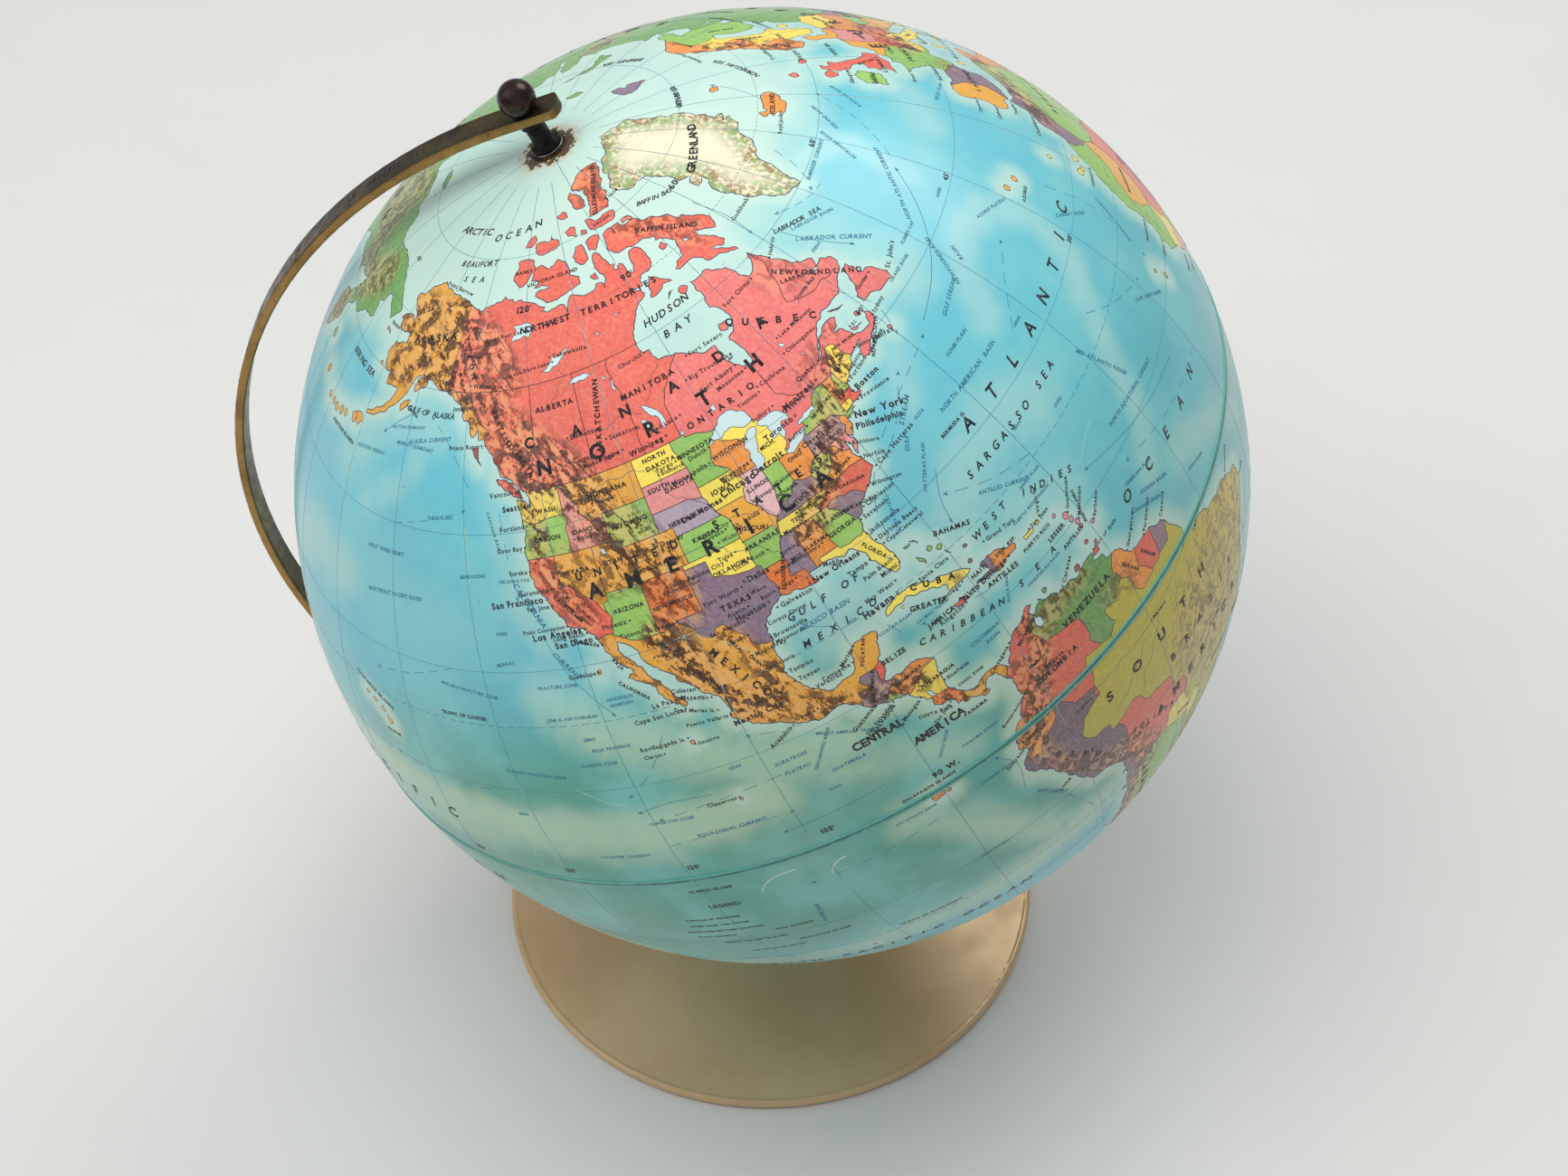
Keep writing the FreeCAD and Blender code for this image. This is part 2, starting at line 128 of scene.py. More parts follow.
LAND = {
 "Americas": """-77.9 7.2 -78.2 8 -78.5 8.7 -79.5 8.95 -80.2 8.3 -80.4 7.9 -80 7.5 -80.9 7.2 -81.3 7.7
 -82.2 8.2 -82.9 8.1 -83.2 8.6 -83.7 8.5 -83.7 9.1 -84.6 9.7 -85.1 9.6 -85.9 10.2 -85.7 10.9 -86.5 11.8
 -87.6 12.9 -87.4 13.4 -88.5 13.2 -89.8 13.5 -91.4 13.9 -92.3 14.6 -93.5 15.6 -94.6 16.2 -95.2 16.1 -96.5
 15.7 -98 16.1 -99.8 16.8 -101.5 17.6 -102.7 18.05 -103.8 18.5 -104.4 19.1 -105.5 20 -105.6 20.5 -105.25
 20.8 -105.4 21.5 -105.6 22.4 -106.4 23.2 -107.6 24.4 -108.3 25.2 -109.3 25.8 -109.4 26.6 -110.5 27.4
 -111.1 28 -112.2 28.9 -112.5 29.7 -113.1 30.9 -113.8 31.4 -114.8 31.8 -114.85 31.1 -114.5 30.1 -113.6
 29.3 -112.8 28.4 -112.3 27.2 -111.4 26.5 -111.3 25.9 -110.7 24.9 -110.3 24.2 -109.7 23.8 -109.45 23.2
 -109.95 22.9 -110.4 23.5 -111.7 24.4 -112.2 25.2 -112.2 26 -113.3 26.75 -114.2 27.2 -115 27.7 -114.1 28.1
 -114.2 28.7 -115.6 29.6 -116 30.4 -116.6 31.6 -117.1 32.5 -117.3 33.1 -118.2 33.75 -118.5 34 -119.3 34.2
 -120.5 34.45 -120.65 35.1 -121.3 35.7 -121.9 36.5 -122.1 37 -122.5 37.6 -122.1 37.7 -122.5 37.9 -123 38.1
 -123.7 38.9 -123.8 39.8 -124.3 40.4 -124.1 41 -124.2 42 -124.5 42.8 -124.1 44 -123.95 45.5 -124 46.3
 -124.2 47.2 -124.7 48.4 -123.2 48.15 -122.7 47.7 -122.5 47.2 -122.3 48 -122.6 48.8 -123.1 49.2 -124.4
 49.8 -125.2 50.5 -127.3 51 -127.7 52 -128.6 53 -129.6 53.8 -130.3 54.4 -130.6 55 -131.9 54.9 -132 56.1
 -133.4 55.2 -134.2 56.4 -134.8 57 -135.7 57 -136.3 57.9 -136.8 58.3 -138.2 59 -139.8 59.6 -141.5 60
 -143.9 60 -145 60.4 -146.5 60.9 -148 60.9 -148.4 60 -149.8 59.8 -151.4 59.2 -151.9 59.7 -151.3 60.6
 -150.2 61.1 -151.6 60.9 -152.7 60.1 -153.4 59.3 -154.2 58.5 -155.5 57.6 -156.6 57 -158.4 56.1 -159.6 55.7
 -161.5 55.1 -163.2 54.7 -164.8 54.5 -164.9 54.9 -162.8 55.3 -161.2 55.9 -160.3 56.2 -158.3 57.3 -157.5
 58.4 -157.1 58.8 -158.6 58.8 -160.3 58.8 -161.8 58.7 -162 59.4 -161.9 60 -163.2 59.9 -164.2 60 -165.2
 60.6 -165.3 61.2 -166.1 61.6 -165 62.6 -164.7 63.1 -163.5 63.1 -162.3 63.5 -161 63.5 -160.8 64.6 -161.5
 64.7 -163 64.5 -164.8 64.5 -166.4 64.7 -166.6 65.3 -168.1 65.6 -166.2 66.3 -163.9 66.6 -162 66.1 -161.8
 66.6 -163 67.1 -164.3 67.6 -166.4 68.3 -166.2 68.9 -163.9 69.1 -163.1 69.6 -161.9 70.3 -159.5 70.8 -156.6
 71.35 -154.5 70.9 -152 70.85 -149.5 70.5 -146 70.2 -143.5 70.1 -141 69.65 -138.5 69.2 -136.5 68.9 -135
 69.4 -133 69.6 -131 69.9 -129.5 69.9 -128 70.5 -127.5 70.2 -125 70 -124.5 69.6 -122 69.8 -119.5 69.3 -117
 68.9 -114 68.2 -115.2 67.8 -112 67.7 -109.8 67.9 -108 67.6 -107.6 66.6 -107 67.8 -105.8 68.5 -103.5 68.1
 -101.5 67.75 -99 67.8 -97.7 68.4 -96 68.2 -95.8 67.5 -95.3 68 -94.5 68.8 -95.5 69.4 -96.3 70.3 -96 71
 -95.2 71.9 -94 72 -92.9 71.2 -92 70.2 -91.8 69.6 -90.4 69.5 -91.3 69 -90 68.7 -89 69.2 -88.2 68.4 -87.8
 67.5 -86.9 67.3 -85.9 68 -85.4 69.3 -84.6 69.8 -82.5 69.8 -81.3 69.1 -81.4 67.9 -81.5 67.2 -83.5 66.4
 -85.8 66.5 -86.9 66 -87 65.3 -88 65.4 -90 65.9 -88 65 -87.6 64.5 -88 64.2 -90 63.9 -90.7 63.6 -92 62.8
 -93.4 62 -94.4 61.3 -94.7 60.2 -94.8 59.3 -94.3 58.7 -93 58.75 -92.4 57.3 -90.8 57.2 -88.9 56.9 -87 56
 -85 55.3 -82.3 55.2 -82.3 53.2 -81.4 52.2 -80.1 51.3 -79 51.4 -78.7 52.6 -79.1 54 -79.6 54.7 -77.8 55.3
 -76.6 56.3 -76.7 57.4 -78.4 58.8 -77.6 60 -78 61.1 -77.8 62.4 -75.8 62.2 -74 62.4 -72 61.6 -70 61 -69.5
 60.2 -69.4 59.3 -68.3 58.4 -66.4 58.8 -65.4 59.4 -64.5 60.4 -64 59.6 -62.8 58.5 -61.8 57.4 -61 56 -59.5
 55.2 -58 54.6 -59 53.7 -57.2 54 -55.8 53.2 -55.8 52.4 -57.5 51.5 -59 51 -60.2 50.3 -62.5 50.25 -65 50.3
 -66.7 49.9 -67.8 49.3 -68.8 48.7 -70 47.9 -71.2 46.8 -70.2 47.2 -69 48.2 -67.5 48.8 -65.5 49.2 -64.3 48.9
 -65.2 48.1 -66.5 48 -65.2 47.7 -64.9 47.1 -64.5 46.2 -63.5 45.8 -62.5 45.7 -61.5 45.7 -61.2 46.3 -60.6 47
 -60 46 -61 45.3 -63.5 44.6 -65 43.7 -66.1 43.9 -65.9 44.5 -64.3 45.4 -64.9 45.5 -66 45.2 -67 45 -68.2
 44.3 -69.3 43.9 -70.3 43.5 -70.7 42.8 -70.9 42.4 -70.6 41.9 -70 42 -69.95 41.7 -70.7 41.5 -71.4 41.4
 -72.5 41.25 -73.6 40.98 -72 41.05 -73 40.65 -74 40.55 -74 39.8 -74.9 38.95 -75.5 39.5 -75.1 38.7 -75.3 38
 -75.95 37.15 -75.9 38 -76.3 39.2 -76.4 38.2 -76.3 37.1 -75.95 36.7 -75.5 35.3 -76.5 34.65 -77.9 33.95
 -79.1 33.3 -79.9 32.7 -81 32 -81.4 30.7 -81.2 29.7 -80.6 28.5 -80.1 27 -80.1 25.8 -80.5 25.2 -81.1 25.15
 -81.8 26.1 -82.1 26.8 -82.7 27.7 -82.7 28.7 -83.4 29.5 -84.1 30.1 -85.1 29.7 -85.7 30.1 -87 30.4 -88.1
 30.3 -89.4 30.35 -89.6 30.1 -89.3 29.3 -89.2 29.05 -90.1 29.15 -91 29.2 -91.8 29.6 -93.5 29.75 -94.7 29.4
 -95.9 28.6 -97 27.9 -97.4 27 -97.2 25.9 -97.6 24.5 -97.8 22.6 -97.3 21.3 -96.4 19.8 -96.1 19.2 -95 18.6
 -94.4 18.15 -92.8 18.5 -91.8 18.5 -90.8 19.2 -90.5 20.2 -90.3 21 -89 21.4 -87.5 21.5 -86.8 21.2 -87.4
 20.2 -87.6 19.2 -88.3 18.4 -88.1 17.7 -88.3 16.8 -88.9 15.9 -88.2 15.7 -87.4 15.8 -86 15.9 -85 15.95
 -83.9 15.5 -83.2 15 -83.4 14 -83.6 12.7 -83.7 11.6 -83.6 10.9 -83 10 -82.3 9.2 -81.6 8.9 -80.8 8.9 -79.8
 9.4 -78.9 9.5 -78 9.3 -77.4 8.7 -76.8 8 -76.8 8.7 -76 9.4 -75.5 10.4 -74.8 11 -74.2 11.3 -73 11.5 -71.8
 12.4 -71.2 12.1 -71.9 11.4 -71.6 10.9 -71 11.3 -70.2 11.6 -70.2 12.1 -69.8 11.5 -68.4 11.1 -67.9 10.5
 -66.2 10.6 -65.1 10.1 -64.2 10.5 -62.8 10.7 -61.9 10.7 -62.3 9.9 -61 9.5 -60.8 8.6 -59 8 -58.2 6.8 -57 6
 -55 6 -54 5.9 -52.5 5 -51.6 4.2 -50.9 2.5 -50 1.2 -50.5 0 -51.5 -0.9 -50 -0.3 -48.4 -0.3 -48.5 -1.2 -47.5
 -0.7 -46 -1.1 -44.5 -2.3 -43.3 -2.4 -41.5 -2.9 -39.9 -2.9 -38.5 -3.8 -37 -4.9 -35.5 -5.1 -34.9 -7 -35
 -8.8 -36.5 -10.6 -37.5 -12 -38.5 -13 -39 -14.5 -39.1 -17 -39.7 -19 -40.4 -20.5 -41 -22 -42 -22.9 -44.5
 -23.1 -46.4 -24.1 -48 -25.2 -48.6 -26.5 -48.7 -28.3 -50 -29.8 -52.2 -32.3 -53.5 -34 -54.9 -34.95 -56.5
 -34.8 -58.3 -34.2 -57.2 -35.6 -57 -36.6 -57.6 -38.1 -59.5 -38.7 -62.2 -38.9 -62.3 -40.5 -63.8 -41.1 -65.1
 -41 -64.5 -42.4 -65.4 -44.8 -67.3 -45.6 -67.5 -46.4 -65.8 -47.4 -66.5 -48.5 -67.7 -50 -69 -51.5 -68.4
 -52.4 -68.3 -53.2 -67 -54.1 -65.2 -54.7 -67 -55.3 -69 -55.6 -71.5 -54.6 -73.8 -53.2 -74.6 -52 -75.3 -50.5
 -75.5 -48.5 -74.3 -47 -75.4 -46.4 -73.9 -45 -72.9 -43.5 -74 -42.8 -73.8 -41.5 -73.5 -39.8 -73.5 -37.5
 -72.8 -36 -71.7 -33.6 -71.5 -31.5 -71.4 -29.5 -70.5 -26.5 -70.5 -24 -70.2 -21.5 -70.3 -18.4 -71.5 -17.4
 -73.5 -16.3 -75.3 -15.3 -76.3 -13.8 -77.2 -12 -78.3 -9.8 -79.5 -7.9 -81.2 -6 -81.3 -4.6 -80.4 -3.5 -80
 -2.8 -80.9 -2.2 -80.8 -1 -80.4 -.3 -80 .8 -78.9 1.4 -78.6 2.4 -77.3 3.9 -77.5 5.5 -77.4 6.6""",
 "Baffin": """-64.8 61.4 -66.3 61.9 -68.5 62.6 -71.5 63 -72.5 64 -73.9 64.4 -77.5 64.3 -78.1 64.6 -76.6
 65.2 -74.3 65.3 -73.6 66.3 -72.6 67.3 -74 68.2 -76.6 68.8 -76 69.4 -78.5 69.9 -80 70 -83 70 -86 70.3
 -88.5 70.6 -89.8 71.3 -89 72.6 -88.5 73.5 -85.5 73.8 -84.5 72.6 -84.8 73.7 -81.5 73.7 -80.6 72.9 -78 72.9
 -75.5 72.5 -74 71.7 -71.5 71.4 -70 70.7 -68 70.3 -67.5 69.4 -66.7 68.8 -64.2 67.9 -62.3 67.1 -61.6 66.3
 -63.5 65 -64.5 65.4 -67.3 66.4 -67.8 65.8 -65.5 64.5 -64.7 63.3 -66 62.9 -68.5 63.7 -66.5 62.5 -65 61.9""",
 "Ellesmere": """-80 76.2 -83.5 76.4 -87 76.4 -89.5 76.5 -88 77.2 -86.5 77.7 -86.5 78.2 -84.5 79.2 -85 80
 -83.5 80.5 -87 80.6 -91 81.4 -88 82.1 -82 82.8 -75 83.1 -68 82.9 -61.5 82.4 -64.5 81.5 -70 80.6 -71 79.9
 -74.5 79.4 -76 78.6 -75 78.2 -78 77.5 -78 76.9""",
 "AxelHeiberg": "-88.5 78.2 -92 78.3 -94.5 79.2 -95.5 80.4 -92.5 81.2 -89.8 80.4 -88 79.9 -87.5 79",
 "Devon": """-79.5 75.5 -80.5 74.7 -85 74.5 -90 74.6 -92 75.2 -92 76.5 -89.5 76.2 -88.5 75.6 -84 75.8
 -81.5 75.7""",
 "Victoria": """-105 69.1 -102 69.3 -101.8 70.2 -104.5 70.8 -104.3 71.6 -105.3 72.7 -107.5 73.3 -109.5
 72.8 -111.5 72.5 -114.5 73.3 -117.8 72.8 -118.7 71.6 -115.5 71.5 -117.5 70.8 -112 70.5 -116.5 70.2 -117
 69.7 -115.5 69.3 -113.5 68.6 -110 68.6 -107 68.9""",
 "Banks": """-125 72 -123 71.2 -120.6 71.6 -119 72.4 -116.8 73.2 -117.5 74.1 -121 74.5 -124.6 74.3 -124.2
 73.4 -125.8 72.3""",
 "Melville": """-106 75 -110 74.7 -113.5 74.5 -117 75.2 -116.5 76.2 -113 76.2 -110.5 75.8 -109 76.6 -108
 75.9 -106 75.6""",
 "PrincePatrick": "-122.5 76 -121 76.7 -117.5 77.3 -116.5 76.6 -119 75.9",
 "EllefRingnes": "-99 78.1 -103 78.2 -105 78.8 -101 79.1 -99.3 78.7",
 "Bathurst": "-98 75 -101.5 75.6 -102.5 76.3 -99.5 76.6 -97.8 76.4 -98.3 75.7",
 "Cornwallis": "-93.5 74.7 -96 74.9 -95.5 75.5 -93.6 75.3",
 "PrinceOfWales": "-97 71.7 -99 71.3 -101.5 72 -102 72.8 -100 73.8 -97.5 73.8 -97 72.9",
 "Somerset": "-90.3 73.8 -92 72.8 -93.5 72.2 -95.5 72.6 -95.5 73.8 -93 74.1",
 "KingWilliam": "-96.3 68.8 -97.5 69 -98.5 69.6 -96.6 69.7",
 "Bylot": "-76.3 72.9 -80.5 73.1 -80.3 73.7 -77 73.6",
 "Southampton": "-80.5 63.8 -83 64.1 -85.5 63.5 -87 63.6 -86 64.8 -84.5 65.9 -82 64.6",
 "Coats": "-81.9 62.9 -83.9 62.3 -83 62.9",
 "PrinceCharles": "-75.2 67.5 -77 67.3 -77.3 67.9 -75.8 68.3",
 "Akimiski": "-80.9 53.1 -82 52.9 -81.8 53.2",
 "Greenland": """-43.2 60 -45.5 60.5 -48 60.9 -49.5 62 -51.3 63.6 -52.1 65 -53.6 66.8 -53.3 68.4 -51 69
 -50.8 69.9 -54.8 69.6 -54.5 70.7 -52 71 -55.5 72 -55 73 -57 74.6 -59.5 75.8 -63 76.2 -66.5 75.9 -68.5
 76.2 -71 77 -71.5 77.4 -72.5 78.2 -68.5 79.1 -65.5 79.8 -66.5 80.5 -62.5 81.1 -58 82 -52 82 -46 82.6 -40
 83.3 -32 83.6 -26 83.2 -22 82.6 -18 81.6 -15 81 -18 80 -19.5 78.5 -19 77.2 -21 76.2 -19.8 75.2 -20.5 74
 -22.5 73.2 -22 72.2 -24.5 71.2 -22.2 70.4 -26 70.2 -23.5 69.6 -27 68.5 -31.5 68.1 -33.5 66.6 -37 65.8 -40
 65 -40.8 63.5 -42.5 62 -42.8 60.8""",
 "Iceland": """-22.7 63.8 -20 63.5 -18.2 63.5 -15.2 64.3 -13.6 65.2 -14.8 66.2 -17.5 66.1 -20.3 66 -21.5
 65.5 -22.5 66.4 -24.3 65.6 -22.3 65.1 -23.9 64.8 -22 64.4""",
 "Svalbard": """16.5 76.6 14 77.6 11 79 13 79.8 17 80 22 80.2 26 80.1 24 79.2 19.5 78.9 21.5 78.3 18.5
 77.5""",
 "Newfoundland": """-59.2 47.6 -57.3 47.6 -55.9 46.9 -54 46.9 -53.1 46.7 -52.7 47.6 -53.3 48.6 -53.9 49.4
 -55.6 49.9 -55.5 51.5 -56.9 51.1 -57.6 50 -58.4 49 -59.3 48.4""",
 "Anticosti": "-64.4 49.8 -61.8 49.1 -63.5 49.4",
 "PrinceEdward": "-64.2 46.8 -62.2 46.45 -63.5 46.3",
 "Vancouver": "-123.4 48.4 -125 48.7 -127 49.8 -128.2 50.7 -126.5 50.6 -125 50.1 -123.8 49.2",
 "HaidaGwaii": "-131.2 52.2 -132.5 53.1 -133 54.1 -131.8 54.1 -131.9 53.2",
 "Kodiak": "-154.2 56.7 -152.5 57.4 -152 58.2 -153.8 57.9 -154.7 57.4",
 "StLawrence": "-168.9 63.2 -171.6 63.4 -171.2 63.7 -169.3 63.4",
 "Nunivak": "-165.7 60 -167.2 60.2 -166.2 60.4",
 "Cuba": """-84.9 21.9 -84.2 22.7 -83.2 23 -81 23.1 -79.3 22.5 -77.2 21.7 -75.6 21.1 -74.2 20.2 -75.5 19.9
 -77.6 19.9 -77.2 20.6 -78.5 21 -80 21.8 -82 22.4 -83.5 22.2""",
 "Hispaniola": """-74.4 18.4 -72.5 18.2 -71.6 17.7 -70.5 18.2 -68.7 18.2 -68.4 18.7 -69.8 19.2 -70.9 19.8
 -72.8 19.9 -73.2 19.7 -72.7 19.1 -72.4 18.6 -74.3 18.65""",
 "Jamaica": "-78.3 18.3 -77 18.45 -76.2 18 -77.2 17.75",
 "PuertoRico": "-67.2 18.4 -65.7 18.4 -65.8 18 -67.2 18",
 "Trinidad": "-61.9 10.1 -60.9 10.1 -60.9 10.8 -61.6 10.7",
 "Andros": "-78.4 25.1 -77.7 24.4 -77.8 23.8 -78.3 24.5",
 "GrandBahama": "-78.9 26.7 -77.8 26.6 -78.8 26.5",
 "Abaco": "-77.9 26.9 -77.1 26.3 -77.3 26.1 -77.3 26.6",
 "LongIsland": "-75.3 23.7 -74.8 23 -75 23.2",
 "Juventud": "-83.1 21.8 -82.6 21.8 -82.8 21.5",
 "Hawaii": "-155.9 20.2 -154.9 19.5 -155.7 19 -156 19.7",
 "Falkland": "-61 -51.8 -58 -51.4 -59.5 -52.3",
 "Eurasia": """25.7 71.1 28.5 71 31 70.3 33.5 69.4 41 67.7 41 66.6 38 66.1 34 66.7 32.5 67 34.8 64.5 37.5
 64 40 64.8 42.2 66.4 44.2 66 44 68.4 46.5 68 50 68 54 68.5 57.5 68.8 60.5 68.8 61 69.8 64.5 69.3 67 68.9
 68.5 68.3 66.7 70.7 68.5 72.6 71.5 73 72.8 71.5 72.5 68.5 73.8 68 74 71 75.5 72.5 78.5 72.3 80.5 73.5 86
 74 87 75.2 95 76.1 104.3 77.7 107 76.7 113 75.7 112.5 74 106.5 73.2 111.5 73.8 119.5 73 126.5 73.4 129
 71.5 132.5 71.5 139 72.4 147.5 72.4 150 71.5 158 71 160.5 69.8 167.5 69.6 170.5 70 176 69.8 180 69 184
 67.9 187.5 66.9 190.2 66.1 188.5 65.2 187 64.4 183.5 65.5 181 66.2 179 64.6 177.5 64.7 179.4 62.7 175.5
 61.9 172 61 170 60 166 60.2 163.2 58.5 162.7 57.8 163.2 56.1 161.8 55 159.9 53.2 158.3 51.9 156.7 51
 155.7 53.5 155.5 56 157 57.8 161.9 60.2 163.5 62.5 160.3 61.8 156.7 61.5 154.5 59.8 149 59.6 143 59.3 138
 56 135.3 54.7 139.8 54.2 141.4 52.2 140.5 50 140.2 48 136 44.5 133 42.7 130.7 42.3 127.5 39.8 129.4 37.2
 129.3 35.4 126.5 34.4 126.3 36.7 125 37.8 125.3 39.6 121.7 39 121 40.7 118 39.1 119 37.3 122.5 37.2 120.3
 35.8 119.3 34.8 121.8 31.8 121.9 29.8 119.8 26 117.2 23.6 113.8 22.3 110.5 21.2 108.3 21.6 105.8 19 108.8
 15.5 109.3 12 106.8 10.3 104.9 8.6 105 10.2 102.4 12.1 100.9 13.4 100 13.3 99.3 11 100.4 7.2 103.3 4.5
 104.2 1.4 103.4 1.4 101.3 3 100.3 6.2 98.3 8.2 98.7 12 97.6 16.4 94.4 16 94.3 18.5 92 21.5 90.5 22.3 88
 21.6 86.8 20.5 85 19.5 82.3 16.7 80.2 15 80.3 13 79.8 10.3 77.5 8.1 76.3 10 74.6 14 73 17.5 72.7 20.5 71
 20.8 69 22.3 68 23.7 66.6 25 61.5 25.1 57.5 25.7 56.8 27.1 54 26.6 51.3 28 50 30.1 48.5 30 48 29.3 50.2
 26.3 51.3 25.9 51.6 24.5 54.3 24.2 56.3 26.2 56.6 24.2 59.8 22.4 57.8 19 55.2 17.3 52.2 15.6 45 12.8 43.3
 12.8 42.7 16 39.2 20.8 38 24 35.1 28.1 34.9 29.5 34.2 27.8 32.5 29.9 32.3 31.2 34.3 31.3 35 33 35.8 35.5
 36.1 36.8 33.7 36.2 32 36.1 30.5 36.6 28 36.8 26.3 38.5 26.7 40.3 29 40.9 31.4 41.3 35.1 42 38.5 41 41.5
 41.5 39 44 37.3 45.3 39.2 47.2 35 46.3 36.5 45.3 33.5 44.5 32.6 45.5 31 46.6 29.7 45.2 28.6 43.8 27.7
 42.5 28.9 41.3 26 40.8 24 40.5 23.3 39.3 23.9 37.8 22.8 36.5 21.5 37 20.8 38.8 19.5 40.5 19.4 41.9 16
 43.6 14 45 13.6 45.7 12.4 45.3 12.5 44 14.5 42.3 16.1 41.8 18.5 40.1 17 40.4 16.5 38.9 15.7 38 16 39.8
 14.3 40.7 12.3 41.7 10.5 43 8.8 44.4 6.5 43.1 4 43.5 3.1 42.4 .8 41 -.3 39.4 .1 38.7 -.8 37.6 -2.2 36.8
 -5.6 36 -6.4 36.8 -8.9 37 -9.4 38.7 -8.8 41 -9.2 43.1 -7.7 43.8 -1.8 43.4 -1.2 45.5 -2.5 47.3 -4.7 48.4
 -1.6 48.6 -1.5 49.7 .2 49.6 1.6 50.8 3.5 51.4 4.7 53 7 53.5 8.8 54 8.2 56.5 10.6 57.7 10.3 56 10.9 54.3
 12.5 54.4 14.3 53.9 18.5 54.7 20 54.7 21 56.8 22.6 57.7 24.3 57.2 23.5 59.2 27.5 59.5 30 60 26 60.3 22.9
 60 21.4 61 21.3 63 25.3 65.1 22 65.8 17.5 62.5 17.2 60.7 18.9 59.8 16.6 57.5 15.9 56.1 14.2 55.4 12.8
 55.6 11.3 58.5 10.6 59.5 8 58.1 5.5 58.9 5 61 8.5 63.4 11.5 65.2 14 67.5 17 68.9 20.5 70""",
 "Africa": """-5.9 35.8 -2 35.1 3 36.8 10 37.3 11 36.8 10.1 34.3 15.2 32.3 19 30.3 20.1 32.5 23.2 32.2 29
 30.9 31.5 31.5 32.6 31.2 32.7 29.9 33.8 27.3 35.5 24 37.2 21 38.5 18 41 15 43.1 12 44.5 10.5 51.2 11.8
 49.8 7.5 46 2.5 42 -1 39.3 -4.5 39.5 -7 40.6 -10.8 40.7 -15 36 -19 35.3 -22.5 33 -25.5 32.6 -28.5 30.5
 -31 27 -33.5 22 -34.2 18.4 -34.2 18 -31.5 15.2 -27 13.2 -21 11.8 -16.5 13.7 -11 12.2 -6 9 -1 9.6 3.9 6
 4.3 2 6.4 -2 4.9 -7.7 4.4 -11.3 6.8 -13.3 9.3 -16.7 12.4 -17.5 14.7 -16.4 19.2 -17 21 -14.5 25.5 -13 27.8
 -9.8 30 -9.5 32 -6.8 34.1""",
 "Madagascar": "49.3 -12 50.4 -15.7 47.5 -24.5 45 -25.5 43.5 -22.5 44.3 -19.5 44 -17 46.5 -15.7 48 -13.5",
 "Australia": """113.7 -22.6 114.2 -26.5 115.7 -31.8 115.1 -34.3 118 -35 123.5 -33.9 129 -31.7 134 -33
 135.8 -34.9 138 -33 138.2 -35.5 140.7 -38 144.6 -38.2 146.4 -39.1 149.9 -37.5 151.3 -33.8 153.2 -30 153.2
 -25.5 149 -21 146 -18.8 145.4 -15 142.7 -10.8 141.6 -14 140.8 -17.5 136.8 -15.5 136.9 -12.2 132.6 -11.4
 130.2 -13 128.3 -14.8 124.5 -16 122.2 -18.2 119 -20 116 -20.8""",
 "NewGuinea": """131 -.8 134.5 -.9 135 -3.3 138 -1.7 141 -2.6 146 -5.5 148 -8 150.7 -10.4 147 -9.5 144
 -7.7 141 -9.1 138 -8.3 138.5 -6.5 134.5 -4 132.5 -2.8""",
 "Borneo": "109 1.5 111.5 2.5 115 5 117 7 119 5 118 1 116.5 -3.5 114.5 -4 110.3 -2.8 109 0",
 "Sumatra": "95.3 5.6 98 4.2 101 2.2 104 -1 106 -3 105.8 -5.8 103.5 -4.8 100.5 -1 98.5 1.7",
 "Java": "105.2 -6.8 108.5 -6.7 111 -6.4 114.4 -7.8 114 -8.6 108.5 -7.8",
 "Taiwan": "120.1 23 121.5 25.2 120.9 22",
 "Sulawesi": "119 -3.5 120 .7 124.8 1.4 121 .3 123 -1 121.5 -2 122.8 -4.5 120.5 -3 120.4 -5.5",
 "Luzon": "120.3 14.5 120.5 18.4 122.2 18.4 121.7 15.5 124 12.8 121.8 13.7",
 "Mindanao": "122 7 125.5 9.7 126.4 7.5 125.4 5.7 124 6.8",
 "Hainan": "108.7 19.2 110.8 20 110.2 18.3",
 "SriLanka": "79.9 9.6 81.8 7.5 80.6 6 79.8 7.5",
 "Honshu": """130.9 34 133 35.5 136 35.8 137 37.3 140 39.8 140.4 41.3 142 39.7 140.8 36 138.8 34.7 136.7
 34.2 135.2 34.6""",
 "Hokkaido": "140 41.5 140.4 43.3 141.8 45.4 145.3 43.3 143.2 42",
 "Kyushu": "129.7 33 131 33.9 134.5 34 133 32.8 131.3 31.3 130.2 31.3",
 "Sakhalin": "142 46 142 49.5 142.3 53.5 143.3 52 143 49.3 144.5 49 143 47",
 "Britain": """-5.6 50 -3.4 50.3 1.2 51 1.6 52.8 .2 53 -1.5 55 -2.2 56 -2 57.6 -4 57.7 -3.2 58.6 -5 58.6
 -6 57 -5 55.4 -3.3 54.8 -3 53.5 -4.5 53.2 -4.2 52.4 -5.2 51.8 -3 51.4 -4.4 51""",
 "Ireland": "-6.2 53.5 -6.3 52.2 -10 51.6 -9.5 53.2 -10 54.2 -7.5 55.2 -5.6 54.6",
 "NovayaZemlya": "51.5 71.8 54 73.5 58 75.8 68.5 76.8 61 75.4 56.5 73.3 57 71",
 "SevernayaZemlya": "95 79 99 80 104 79 100 78",
 "NewSiberia": "137.5 75.4 143 75.8 150 75.2 143 74.9",
 "FranzJosef": "48 80.5 55 81.3 62 81 55 80.3",
 "Wrangel": "179 71 182 71.5 181 70.9",
 "NorthIsland": "172.8 -34.6 175.5 -37 178.3 -37.8 177 -39.5 175.2 -41.5 174.8 -39.5 174.5 -37",
 "SouthIsland": "172.7 -40.6 174.2 -41.7 171 -44.3 170.5 -46 168.3 -46.6 166.6 -45.8 170.5 -43",
